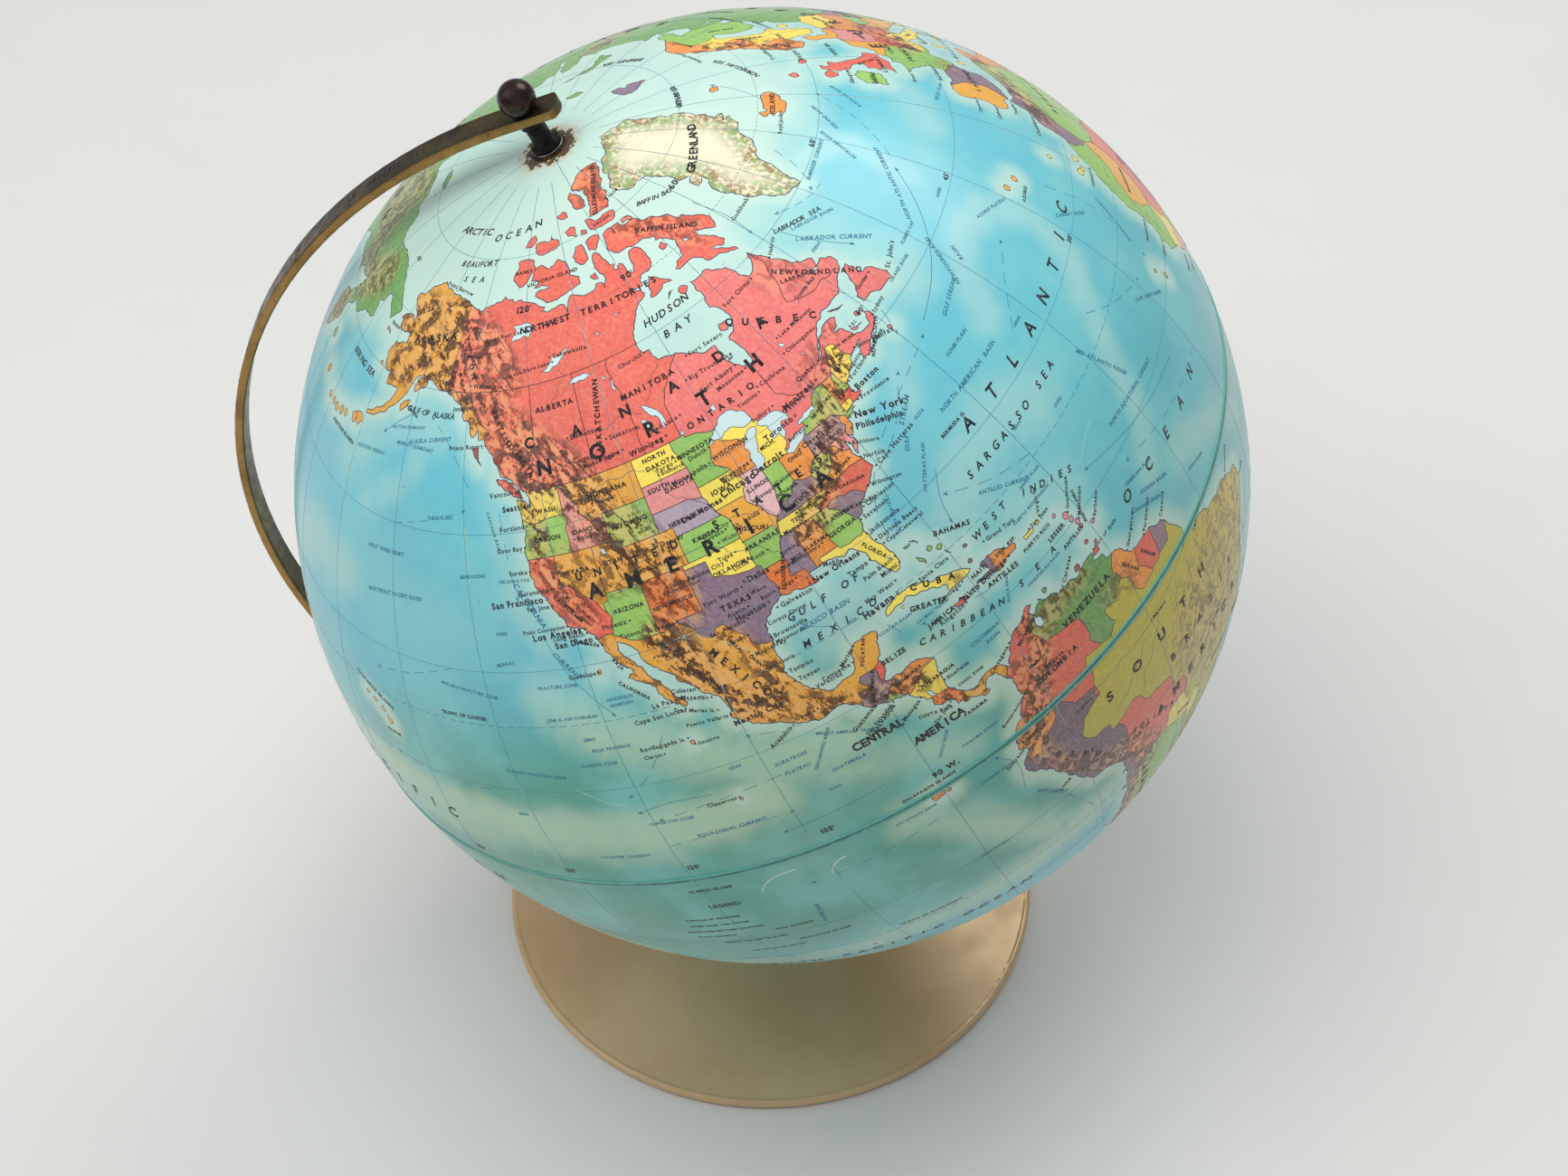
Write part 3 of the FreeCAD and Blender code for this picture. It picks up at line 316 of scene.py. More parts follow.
 "Tasmania": "144.8 -40.8 148.2 -40.9 147.2 -43.5 146 -43.4",
 "Sicily": "12.5 38 15.5 38.2 15.1 36.8",
 "Sardinia": "8.3 40.9 9.7 40.8 9.4 39.2 8.5 39",
 "Corsica": "8.7 42.6 9.4 43 9.3 41.5",
 "Crete": "23.6 35.4 26.2 35.2 24.8 35",
 "Cyprus": "32.4 35 34.4 35.6 33.3 34.7",
 "Antarctica": """-180 -78 -160 -77.5 -145 -75.5 -120 -74 -100 -72.5 -80 -73.5 -67 -68 -57 -63.5 -60 -66
 -62 -73 -50 -78 -35 -78 -20 -73 0 -70 20 -70 40 -69 55 -66 70 -69 80 -67 100 -66 120 -66.5 145 -67.5 165
 -71 165 -78""",
}

# Small islands: longitude, latitude and radius in degrees.
DOTS = """
 -61.7 16.2 .35 -61.4 15.4 .3 -61 14.6 .33 -61 13.9 .28 -59.5 13.1 .28 -61.7 12.1 .25 -60.7 11.2 .22
 -62.8 17.3 .22 -64.9 18.4 .25 -64.4 10.9 .4 -69 12.2 .3 -73.7 20.9 .25 -73.1 22.5 .22 -76.5 24.9 .3
 -75.5 24.3 .28 -91 -.6 .7 -90.3 -.8 .35 -89.5 -.9 .25 -111 18.8 .25 -109.2 10.3 .2 -118.3 29 .25
 -156.4 20.8 .4 -158 21.5 .35 -159.5 22 .3 -166.7 53.5 .8 -168.5 53.1 .6 -172 52.5 .4 -174 52.2 .5
 -176.6 51.8 .5 -178.5 51.8 .4 178.8 51.7 .4 173 52.8 .5 166.2 55 .6 -25.5 37.8 .4 -28 38.6 .4
 -17 32.8 .3 -16.5 28.3 .5 -14 28.6 .5 -15.5 27.9 .35 -24 15 .4 -25 17 .3 -7 62 .5 -1.2 60.3 .5
 -7 57.8 .7 -8.5 71 .5 -66.1 68.7 .3 -80 62.2 .5 -78.8 56.2 .5 -60 43.9 .25 -61.5 47.4 .3 -37 -54.4 .9
 -109.4 -27.1 .25 -149.5 -17.6 .4 -177 -18 .5 178 -17.8 .9 165.5 -21.5 1.2 167 -15.5 .8 159.5 -8.5 1
 155 -6 1 151 -5.3 1.2 145 13.4 .3 158.2 6.9 .3 134.5 7.4 .3 55.5 -21.1 .4 57.6 -20.3 .35 70 -49.3 .8
 73 4 .2 92.8 12 .5 127.8 26.5 .4 123.5 10.5 1 125 12 .8 117.5 -8.6 .8 121 -8.7 .9 124.5 -9.3 1
 128 .7 .9 129 -3.2 1 127 -3.4 .7 20 39.5 .3 28 36.3 .4 3 39.6 .5 19 57.5 .6 6.8 .3 .3 8.7 3.5 .4
 54 12.5 .5
"""

# Lakes, and the seas inside Eurasia.
WATER = {
 "Superior": """-92.1 46.7 -90.5 47.7 -89.3 48.2 -88.3 48.8 -86.5 48.7 -85 47.9 -84.6 46.6 -86.5 46.5 -88
 47.2 -90 46.7 -91 46.9""",
 "Michigan": """-87.6 41.7 -87 41.7 -86.3 42.5 -86.4 43.8 -85.6 45 -84.8 45.8 -86 46 -87.3 45.2 -87.9 44.6
 -87.6 43.8 -87.9 42.8""",
 "Huron": """-84.6 45.9 -83.4 45.2 -83.3 44.3 -83.9 43.7 -82.6 43.9 -82.4 43.1 -81.7 43.6 -81.4 44.7 -80.2
 44.5 -80 45 -81 45.9 -82.5 46.1 -84 46.1""",
 "Erie": "-83.4 41.7 -82.5 41.4 -81 41.8 -79 42.7 -80.2 42.8 -81.5 42.6 -82.6 42.1",
 "Ontario": "-79.8 43.3 -78 43.35 -76.3 43.5 -76.5 44.1 -78 43.95 -79.3 43.7",
 "Winnipeg": "-96.8 50.5 -96.2 51.5 -97.3 53 -98.9 53.8 -98.3 52.6 -97 51.5",
 "Manitoba": "-98.2 50.4 -98.4 51.3 -99.8 52.5 -99.1 51",
 "GreatBear": "-117.8 66.4 -119.5 65.2 -121 65.6 -124.5 65.1 -123 66.2 -124 66.9 -120 67",
 "GreatSlave": "-109.2 62.8 -112.5 62.3 -113.8 62.4 -116.8 61.2 -115 60.9 -112.5 61.4 -111 62.1",
 "Athabasca": "-105.8 59.1 -109 59.5 -111.3 58.8 -108.5 59",
 "Reindeer": "-102.2 56.4 -102 57.5 -102.6 58 -102.7 57",
 "Wollaston": "-103.2 58 -103.6 58.6 -103.8 58.1",
 "Nipigon": "-88.2 49.5 -88.3 50.2 -89 50 -88.9 49.6",
 "Woods": "-94.4 49 -94.6 49.7 -95.2 49.2",
 "Mistassini": "-73.2 50.5 -73.9 51.1 -73.8 50.5",
 "StJean": "-71.9 48.5 -72.3 48.8 -72.2 48.4",
 "Melville": "-58.7 53.6 -59.9 53.9 -60.1 53.6 -59.2 53.5",
 "Baker": "-95 64 -96.4 64.3 -96.2 63.9",
 "Dubawnt": "-101 62.9 -102 63.4 -102.2 62.9",
 "Salt": "-112 40.8 -112.3 41.5 -112.9 41.6 -112.7 41",
 "Okeechobee": "-80.65 26.8 -80.9 27.2 -81.05 26.8",
 "Nicaragua": "-85 11.1 -85.3 11.8 -85.9 12.1 -85.7 11.3",
 "Maracaibo": "-71.2 9.2 -71.1 10.3 -71.7 10.7 -72 9.8 -71.7 9.2",
 "Titicaca": "-69 -16.3 -70 -15.4 -69.3 -15.8",
 "Chapala": "-103 20.2 -103.4 20.3 -103.3 20.15",
 "Nettilling": "-69.8 66.2 -71 66.8 -71.3 66.3",
 "Caspian": """49.5 46.5 53 47 53 45 51 44.5 52.5 42.5 52.8 41 54 40 53.7 37 50 37.3 49 38.5 49.5 41 47.5
 43.5""",
 "Aral": "58.3 44 60 46.7 61.5 46 60 43.7",
 "Baikal": "103.8 51.6 107.5 53.3 109.8 55.8 108.5 53.2 106 51.8",
 "Ladoga": "30.8 60 30.5 61.3 32.5 61 32.5 60.2",
 "Onega": "34.5 61.5 35.5 62.6 36.2 61",
 "Balkhash": "74 45.2 76 46.7 79 46.6 76 46.2",
 "Victoria": "31.8 -.5 33.8 .4 34 -1.5 32.5 -2.5",
 "Tanganyika": "29.2 -3.4 29.9 -3.6 31.2 -8.6 30.5 -8.5",
 "Malawi": "34 -9.6 34.6 -10 35.2 -14.3 34.5 -12.5",
 "Chad": "13.5 13 14.5 14 14.7 13",
}

# Borders of the Americas: the line of each.
BORDERS = """
-123.3 49 -114 49 -104 49 -95.15 49 -95.15 49.4 -94.6 48.75 -93 48.6 -91.5 48.1 -89.6 48 -88.4 48.3 -84.9 46.9
 -84.5 46.5 -83.9 46.1 -83.5 45.8 -82.5 45.3 -82.4 43 -82.5 42.6 -83.1 42.2 -82.7 41.7 -81 42.2 -79.1 42.8
 -79.1 43.4 -78.7 43.6 -76.8 43.6 -76.3 44.2 -75 44.95 -71.5 45 -71.1 45.3 -70.4 45.8 -70.2 46.4 -69.2 47.45
 -68.3 47.35 -67.8 47.05 -67.8 45.7 -67 44.8 -66.9 44.5
-117.4 32.5 -114.75 32.7 -114.8 32.5 -111.05 31.35 -108.2 31.35 -108.2 31.8 -106.5 31.8 -105 30.7 -104.4 29.5
 -103.2 29 -102.6 29.75 -101.4 29.8 -100.3 28.3 -99.5 27.5 -99.1 26.4 -97 25.9
-141 69.9 -141 60.3 -139 60.1 -137.5 58.9 -135.5 59.7 -133.5 58.4 -131.8 56.6 -130 56 -130.1 55 -131 54.6
-124.3 46.2 -122.8 45.7 -121.2 45.65 -119 46 -116.9 46
-124.6 42 -118 42 -111.05 42
-117.03 49 -117.03 46 -116.5 45.5 -117.2 44.4 -117.03 43.8 -117.03 42
-120 42 -120 39 -114.6 35 -114.2 34.3 -114.6 33.3 -114.75 32.7
-114.05 42 -114.05 36.2 -114.7 36.1 -114.6 35
-114.05 37 -109.05 37 -102 37 -94.6 37
-109.05 41 -109.05 37 -109.05 31.35
-111.05 45 -104.05 45 -104.05 41 -111.05 41 -111.05 45
-116.05 49 -116.05 48 -115 47 -114.4 46.6 -114.4 45.6 -113 44.5 -111.5 44.6 -111.05 44.5
-104.05 49 -104.05 45
-104.05 45.95 -96.55 45.95
-104.05 43 -98.5 43 -97.8 42.75 -96.5 42.5
-97.2 49 -96.8 47 -96.55 45.95 -96.45 45.3 -96.45 43.5 -96.5 42.5 -96.1 41.5 -95.8 40.6 -95.3 40 -94.6
 39.1 -94.6 36.5
-96.45 43.5 -91.2 43.5
-95.8 40.6 -91.7 40.6 -91.4 40.4
-104.05 41 -102.05 41 -102.05 40 -95.3 40
-102.05 40 -102.05 37
-103 37 -103 36.5 -100 36.5 -100 34.56 -98 34.1 -96.5 33.8 -94.5 33.65
-103 36.6 -103 32 -106.6 32 -106.6 31.6
-94.6 36.5 -94.45 35.4 -94.5 33.65 -94.05 33.55 -94.05 31.9 -93.6 31.2 -93.8 29.6
-94.6 36.5 -90.2 36.5 -90.3 36 -89.7 36
-94.05 33 -91.15 33
-91.7 47.1 -92.2 46.6 -92.3 46.1 -92.8 45.5 -92.8 44.75 -91.2 43.7 -91.1 42.7 -90.6 42.5 -90.2 41.8 -91.1
 41.1 -91.4 40.4 -91.5 39.9 -90.7 39 -90.2 38.7 -90.2 38.3 -89.5 37.3 -89.1 37 -89.5 36.5 -89.7 36 -90.1
 35.1 -90.6 34.6 -91.1 33.6 -91.15 33 -91 32.3 -91.6 31 -89.7 31 -89.65 30.4 -89.2 30.1
-90.6 42.5 -87.5 42.5
-90.1 47.1 -90.4 46.6 -89.1 46.1 -88 45.8 -87.2 44.8
-87.52 41.9 -87.52 39.3 -88.05 37.9
-89.1 37 -88.4 37.1 -88.05 37.9 -87 37.9 -86 38 -85.4 38.7 -84.8 39.1 -83.7 38.6 -82.6 38.4 -82 39 -81.7 39.3
 -80.8 39.7 -80.55 40.6
-87.4 41.75 -84.8 41.75 -83.2 41.75
-84.8 41.75 -84.8 39.1
-80.52 42.2 -80.52 39.72 -78 39.72 -75.6 39.75
-79.76 42.6 -79.76 42 -75.3 42 -74.7 41.4 -75.1 40.7 -74.75 40.2 -75.3 39.85 -75.6 39.3
-74.7 41.4 -73.9 41 -74 40.4
-73.35 45 -73.4 43.6 -73.25 42.75 -73.5 42.05 -73.5 41.3 -73.2 41.03
-73.25 42.75 -70.7 42.87
-73.5 42.05 -71.8 42 -71.35 42 -71 41.4
-71.8 42 -71.85 41.2
-71.5 45 -72.1 44 -72.45 42.75
-71.1 45.3 -70.95 43.6 -70.6 43
-79.5 39.72 -79.4 39.2 -78.3 39.6 -77.7 39.3 -77.2 38.4 -76.2 38
-75.75 39.75 -75.7 38.45 -74.9 38.45
-82.6 38.4 -82 37.5 -81.2 37.3 -80.3 37.6 -79.3 38.5 -78.35 39.4
-82 37.5 -83.7 36.6
-89.5 36.5 -88.1 36.5 -83.7 36.6 -81.7 36.6 -75.6 36.55
-81.7 36.6 -82.6 36 -84.3 35
-90.3 35 -84.3 35 -83.1 35 -82.4 35.2 -81 35.1 -80.8 34.8 -79.7 34.8 -78.4 33.7
-83.1 35 -83.3 34.7 -81.9 33.4 -81.1 32.1 -80.7 31.9
-88.1 35 -88.45 31.9 -88.4 30.1
-85.6 35 -85.15 32.8 -85 31 -84.85 30.7 -82.2 30.6 -82 30.4 -81.4 30.75 -81.1 30.7
-87.6 30.1 -87.6 31 -85 31
-120 60 -120 53.8 -118.5 52.4 -116.3 51.3 -114.8 50 -114.1 49
-139 60.05 -130 60 -120 60 -110 60 -102 60 -94.6 60
-110 60 -110 49
-102 60 -101.4 49
-95.15 49 -95.15 52.8 -88.8 57
-124 60 -126.5 61.5 -129.5 63 -132 65 -136.2 67 -136.4 69.1
-79.5 51.6 -79.5 47.3 -78 46.2 -76 45.5 -74.5 45.2 -74.7 44.95
-64.5 60.5 -64 58.5 -66.5 55 -67.5 53.5 -64 52.5 -57.1 52 -57.1 51.3
-69.2 47.4 -68.4 47.9 -66.4 48.05
-64.4 45.7 -63.9 46.2
-92.3 14.4 -92.2 15.3 -91.7 16.1 -90.5 16.1 -91.4 17.3 -91 17.8 -89.15 17.8 -88.2 18.5
-89.15 17.8 -89.2 15.9 -88.8 15.8
-88.1 15.8 -89.2 14.6 -89.35 14.4 -90.1 13.6
-89.35 14.4 -88.5 13.9 -87.7 13.2
-83 15 -84.8 14.7 -85.8 13.9 -86.7 13.3 -87.5 12.9
-83.5 10.9 -84.7 11 -85.9 11.1
-82.4 9.6 -82.9 8.9 -82.9 8
-77.2 8.7 -77.4 7.9 -78 7
-71.8 20.1 -71.9 18.6 -71.7 17.6
-71.1 12.2 -72.2 11.1 -73 9.8 -72.4 8.3 -72 7.1 -70.1 6.9 -67.5 6.2 -67.8 2.8 -66.9 1.2 -69.3 1.7 -69.8 .6
 -69.5 -1 -69.9 -4.2 -70.7 -3.8 -70.1 -2.7 -73 -2.3 -75.2 0 -77.5 .6 -79 1.6
-75.2 0 -75.5 -1.6 -78.3 -3.5 -79 -5 -80.4 -4.4 -80.5 -3.2
-66.9 1.2 -65.5 .8 -64 1.9 -64.6 4.1 -62.8 3.7 -60.7 5.2 -61.2 6.6 -60.5 7.8 -59.8 8.6
-60.7 5.2 -59.8 4.4 -59.8 2.5 -58.8 1.3 -56.5 1.9 -54.6 2.3 -52.7 2.3 -51.5 4.4
-56.5 1.9 -58 4 -57.1 6.2
-54.6 2.3 -54.4 4.5 -53.9 6.1
-69.9 -4.2 -73 -5.5 -74 -7.5 -72.7 -9.5 -70.6 -9.7 -70.5 -11 -69.5 -11 -68.7 -12.6 -69 -15.5 -69.5 -17.5
 -70.5 -18.4
-69.5 -11 -66.5 -9.9 -65.3 -10.5 -64.5 -12.4 -60.2 -13.7 -60.1 -16.2 -58.3 -16.3 -57.6 -18 -58.1 -20.1
 -59.1 -19.3 -62 -19.8 -62.6 -22.2 -66.2 -21.8 -67.2 -22.8 -68.2 -21 -68.7 -19 -69.5 -17.5
-58.1 -20.1 -57.9 -22.1 -55.7 -22.3 -54.3 -24 -54.6 -25.6 -56 -27.3 -58.6 -27.3 -57.6 -25.3 -62.6 -22.2
-54.6 -25.6 -53.7 -26.5 -55.8 -28.2 -57.6 -30.2 -55.5 -30.9 -53.6 -32.2 -53.3 -33.9
-57.6 -30.2 -58.2 -33 -58 -34.5
-67.2 -22.8 -68.4 -24.5 -68.5 -27 -69.8 -30 -70.1 -33.3 -71 -36.5 -71.6 -39.5 -71.9 -43.5 -71.7 -46.5 -73 -50
 -71.9 -52 -68.3 -52.4
"""

# Each line: region, colour key, then places inside it. Regions that no place falls in take the nearest one.
NEW_WORLD = """
WA Y -120.5 47.4
OR G -120.5 44
CA R -119.8 37 -116 33.6
NV A -116.8 39.5
ID P -114.6 43.8 -116.5 47.5
MT A -109.5 47
WY G -107.5 43
UT A -111.6 39.3
CO A -105.5 39
AZ G -111.8 34.3
NM D -106 34.4
ND Y -100.3 47.4
SD P -100.2 44.4
NE M -99.8 41.5
KS G -98.4 38.5
OK Y -97.5 35.5
TX V -99.3 31.3
MN G -94.5 46
IA Y -93.5 42
MO A -92.5 38.4
AR G -92.4 34.8
LA D -92 31.5
WI O -89.8 44.5
IL N -89.2 40
MI Y -84.7 43.3 -87.5 46.3
IN G -86.2 40
OH O -82.8 40.3
KY V -85.3 37.6
TN Y -86.4 35.8
MS V -89.7 32.8
AL O -86.8 32.8
GA G -83.4 32.7
FL Y -81.7 28.3
SC V -80.9 33.9
NC R -79.2 35.5
VA O -78.4 37.5
WV G -80.7 38.7
PA V -77.8 40.9
NY G -75.6 43
VT O -72.7 44
NH G -71.5 43.7
ME Y -69.2 45.3
MA R -71.9 42.3
CT Y -72.7 41.6
NJ O -74.6 40.1
MD P -76.8 39.4
Hawaii A -156 19.6 -158 21.5
Alaska A -153 64 -160 60 -157.5 56.6 -153.6 57.4 -166.4 60.1 -170.3 63.4 -166.7 53.5 -172 52.5 -176.6 51.8
Yukon C -135 63
BritishColumbia C -124 54 -127 50.2 -132.3 53.4
Alberta C -114.5 55
Saskatchewan C -106 55
Manitoba C -98 55
Ontario K -86 50.5
Quebec K -73 53 -63 49.4
Labrador K -61.5 53.5 -56 48.7
Northwest C -110 64 -95 68 -70 68 -80 80 -115 76 -110 71 -84 64.5 -91 80 -87 75.2 -95 73 -122 73 -79 62
 -101 72.5
NewBrunswick K -66.4 46.5
NovaScotia K -63.5 45 -63.4 46.5 -60 44
Greenland W -42 72
Mexico A -102 23.5 -113 27.5 -89.5 20.3
Guatemala V -90.3 15.3
Belize R -88.7 17.1
ElSalvador G -88.9 13.65
Honduras O -86.5 14.8
Nicaragua Y -85 12.9
CostaRica D -84 10
Panama A -80.5 8.5
Cuba Y -79 22 -82.8 21.6
Haiti V -72.5 19.2
Dominican O -70.2 18.8
Jamaica R -77.3 18.1
PuertoRico Y -66.4 18.2
Bahamas G -77.5 24.5
Venezuela E -65 7.5
Colombia R -73 4 -71.5 -1
Ecuador O -78.3 -1.3 -90.5 -.6 -78.3 .4
Peru U -75 -9.5
Brazil L -55 -8 -61.5 2 -53 1 -64.5 .6
Guyana O -58.9 5
Suriname R -56 4
Guiana V -53.2 4
Bolivia R -64.5 -17
Paraguay Y -58.5 -23.3
Uruguay O -56 -33
Argentina G -65 -35
Chile V -71.2 -30
Falkland R -59.5 -51.8
Caribbean P -61.5 14.5
Trinidad R -61.3 10.4
"""

OLD_WORLD = """
Norway O 8 61 13 65.5 18.5 69 27 70.4
Sweden Y 15 62 14 58 20 66.5
Finland G 26 63 27 67
Britain R -1.5 53 -4 57 -7 57.8
Ireland G -8 53.3
Iceland O -18.5 65
Svalbard V 17 79
Denmark A 9.3 56
LowCountries A 5 51.5
France G 2.5 46.8 9.2 42.2
Spain V -4 40.2
Portugal A -8.2 39.7
Germany P 10 51.2
Poland Y 19.5 52
Italy Y 12 43.5 16 40.7 9 45.3 14 37.5 9 40
Alps R 13.8 47.4 8 46.8
Czech O 15.5 49.8 19.5 48.8
Hungary G 19.5 47
Romania V 25 46
Yugoslavia A 19 44 16 45.2
Greece Y 22 39 25 35.2
Bulgaria G 25 42.6
Turkey R 35 39 30 39.5 41 39.5
Russia E 35 52 30 58 40 62 50 56 60 60 60 66 70 58 80 62 80 70 95 58 95 68 105 73 110 60 120 66 125 56 135
 62 135 52 145 65 155 68 160 60 170 65 178 67 185 66 45 46 25 56 30 49 28 54 65 48 75 46 60 40 68 39 143
 50 58 74 100 79 145 75 54 80.8 181 71.2
China Y 105 35 115 32 90 40 85 35 100 30 118 27 110 25 95 34 125 44 118 42 80 40 112 40 110 19.3
Mongolia O 103 47 95 47.5 112 47
India P 78 22 76 28 80 14 87 24 93 26 73 24
Pakistan G 68 28 72 32
Afghanistan O 66 34
Iran V 54 33 60 30 48 35
Iraq Y 43.5 33
Arabia A 45 24 42 27 50 20
Yemen G 46 15.5
Oman R 57 21
Syria R 38 34.5 37 31.5
Burma G 96 21 98 16
Thailand V 101 15.5 99 9
Vietnam Y 106 16 105 20.5 108 13
Cambodia R 105 12.6
Malaysia R 102 4 114 3.5
Korea O 127 36.5 127 40
Japan P 138 36 142 43 131 33
Taiwan O 121 23.7
Philippines G 121 16 125 8
Indonesia O 102 -1 110 -7.3 113 -1 120 -3 137 -4
NewGuinea Y 145 -6
SriLanka Y 80.8 7.5
Morocco V -7 32
Sahara Y -13 25
Algeria G 3 28 -2 28 7 33
Tunisia O 9.5 34.5
Libya Y 17 27
Egypt O 29.5 26.5
Mauritania A -10 20
Mali R -3 18 -7 14
Niger V 9 17
Chad R 18 15.5
Sudan G 30 15 28 9
Ethiopia Y 39 9
Somalia V 46 5 49 9.5
Kenya O 38 .5
Uganda R 32 1.5
Tanzania G 35 -6.5
Congo O 23 -3 27 -8 19 1
Gabon V 14 -1.5
Cameroon G 12.5 5.5
Ubangi P 21 6.5
Nigeria Y 8 9.5
Ghana R -1 8
IvoryCoast G -5.5 7.5
Liberia P -10.5 7.5
Guinea Y -11 11
Senegal G -14.5 14.5
Volta V -1.5 12.3
Angola V 17.5 -12
Zambia R 27 -14
Mozambique O 35 -17 38 -13.5
Zimbabwe Y 30 -19
Botswana G 24 -22
Namibia A 17 -22
SouthAfrica P 24 -31 29 -27
Madagascar R 47 -19
WestAustralia A 121.5 -26
NorthAustralia A 133.5 -19.5
SouthAustralia A 135 -30
Queensland A 145 -22.5
NewSouthWales A 147 -32.5
Victoria A 144.5 -37.2 146.8 -42
NewZealand G 172 -43 176 -38.5
Antarctica W 0 -80 90 -75 -90 -80 180 -85
"""

# The printing inks of the regions, by key.
INK = {
    "Y": (252, 228, 90), "G": (146, 198, 96), "R": (232, 98, 84), "A": (240, 172, 58),
    "P": (238, 150, 150), "V": (138, 114, 138), "O": (238, 146, 62), "D": (240, 118, 44),
    "L": (198, 188, 54), "W": (238, 234, 206), "C": (232, 100, 86), "K": (234, 114, 112),
    "M": (178, 160, 180), "N": (232, 186, 190), "E": (104, 168, 92), "U": (116, 92, 116),
}

# Mountain ranges: half-width in degrees, strength, then the line of the range.
RANGES = """
3 .7 -160 65.5 -150 66 -142 66.5
2.6 .8 -136 59 -130 56.5 -127 52
2.4 1 -149 63.3 -143 62.2 -137 61 -132 58.5 -127 56 -122 53 -117.5 51 -114.5 48.5 -112 46
1.6 .8 -160 61 -153 61.5 -149 62.5
1.2 .9 -160 68.4 -150 68.2 -143 69
2 .8 -140 66 -134 65.5 -129 63 -126 61
2.4 .85 -114 47.5 -111 44.5 -108 41.5 -106 38.5 -105.5 36 -106 33
1.1 .9 -123.2 50.5 -122 48 -121.8 45 -122 42.5 -121 40.5
1 1 -121 40 -119.3 38 -118.3 36.3 -117.5 34.6
1.3 .45 -123.5 41.5 -122 38 -120 35.5
2 .6 -117.5 41 -115.5 38.5 -113 40 -111.5 38.5
1.6 .55 -114 44.8 -112 42
1.8 1 -109 31 -107.5 28 -106 25.5 -104.3 22.5 -102.5 20 -99 19 -96.5 17.3
1.3 .85 -101.5 28 -100 25 -99.2 22.5 -98 20.5
.9 .7 -116 31.8 -114 29 -112 26.8 -110.2 24
1 .8 -94 16.4 -91.5 15.4 -89 14.8 -86.5 14.4 -85.5 13.3
.8 .8 -84.5 10.2 -82.5 8.8 -80.5 8.5
1.3 1 -87 34 -84 35.3 -81.5 37 -79 39 -77 41 -75 42.5 -72.5 44 -70 45.5
1.3 .35 -71 47.5 -74 46.5
1 .4 -66.5 48.7
2 .3 -65 58 -63 56
1.4 .5 -68 66.5 -72 70 -79 72.5
2 .5 -80 81 -72 82 -80 78.5
1.1 1 -73 10.8 -72.5 7.8 -74 5 -76 2 -78.3 -1 -79 -5 -77.5 -9 -75 -12.5 -71.5 -15 -68 -17
1.6 .9 -76.3 6.5 -76 3.5 -77.5 .5
1.8 .9 -72 -15.5 -68 -18 -66 -21 -67.5 -25 -69.5 -30 -70.3 -34 -71.3 -39 -72.5 -45 -73.2 -50
1.3 .7 -71 9 -68.5 10.2 -65 10.2
1.6 .4 -62.5 5.2 -60 4.5
7 .5 -50 -12 -43 -13 -41 -9
5 .35 -52 -17 -47 -22
.6 .6 -76 20.2 -77.2 20
.6 .7 -71 19
1.8 .9 6.5 46 10 46.7 14 47.2
1.5 .7 7 60.5 12 64 17 68
1 .7 0 42.6
1 .6 24 46.5 26 45.8
1 .8 41 43 45 42.3
1.4 .8 59 53 60 60 64 67
2.2 1 72 35.5 78 32.5 84 29 90 28.3 96 29
3 .6 80 34 88 35 97 35
2.4 .8 68 38.5 74 41 82 43
2.4 .8 86 49.5 93 51 100 51
2.6 .7 110 57 125 60 135 63 145 66
2.2 .7 130 67 140 70 155 62 162 62 170 66
1.5 .8 158 53 160 57
2 .8 45 37 50 34 54 30
1.6 .7 36 38 42 39
1.5 .8 -7 31.5 0 33.5 7 35.3
2 .8 37 12 39 8
1.5 .6 29.5 -28.5 27 -31
1.5 .6 35 -3 30 0
1.5 .5 148 -36 151 -31 148 -24
1 .8 137 36 140 39
1.4 .8 137 -4 145 -6
2 .5 100 25 103 28
1 .5 75 12 73.5 18
2.2 .8 -68 -71 -62 -66
2.4 .7 165 -74 -175 -85
"""

# Pale sea floor: half-width in degrees, strength, then the line of the ridge or bank.
RIDGES = """
5 1 -168 12 -150 9.5 -135 9 -120 8 -107 9.5
4 .7 -163 6 -120 5.5
6 .75 -126 27 -120 22 -113 18 -104 14.5 -96 12
4 .6 -98 9 -90 6 -85 3
4.5 .8 -95 -2 -90 -7 -86 -13 -82 -19
5 .9 -157 -12 -148 -17 -140 -23
5.5 .85 -180 34 -172 37 -164 36
5 .8 -166 50 -158 55 -150 57 -143 56
3 .6 -158 46 -150 49 -146 53
3.5 .7 -128.5 50 -127.5 44 -126.5 38 -124 33
4 .7 -110 -40 -113 -32 -112 -45
6 .8 -52 46 -55 52 -56 60 -60 66
3.5 .7 -66 44 -62 42 -66 38
6 .75 -72 25 -67 28 -60 30 -55 27
3.2 .75 -50 36 -46 40 -40 42.5 -34 41 -31 36 -33 30 -38 27
3 .7 -38 27 -43 20 -46 14 -50 10
4 .7 -44 7 -36 3 -28 -4
3 .6 -33 50 -30 57 -27 62
2.4 .7 -42 62 -35 60 -29 56
5 .8 -22 62 -12 63 -3 66
4 .6 -20 48 -12 50
5 .7 -65 15 -60 18 -66 21
3 .7 -83 16 -79 17
2.5 .5 -93 22 -87 26
8 .9 60 5 68 -10 66 -20 70 -30 80 -40
5 .8 90 10 88 -10 89 -25
6 .8 160 -5 170 -15 178 -20 -176 -28
6 .7 140 20 145 30 150 40
6 .9 -5 -52 20 -50 50 -46
6 .9 -40 -58 -25 -58
"""


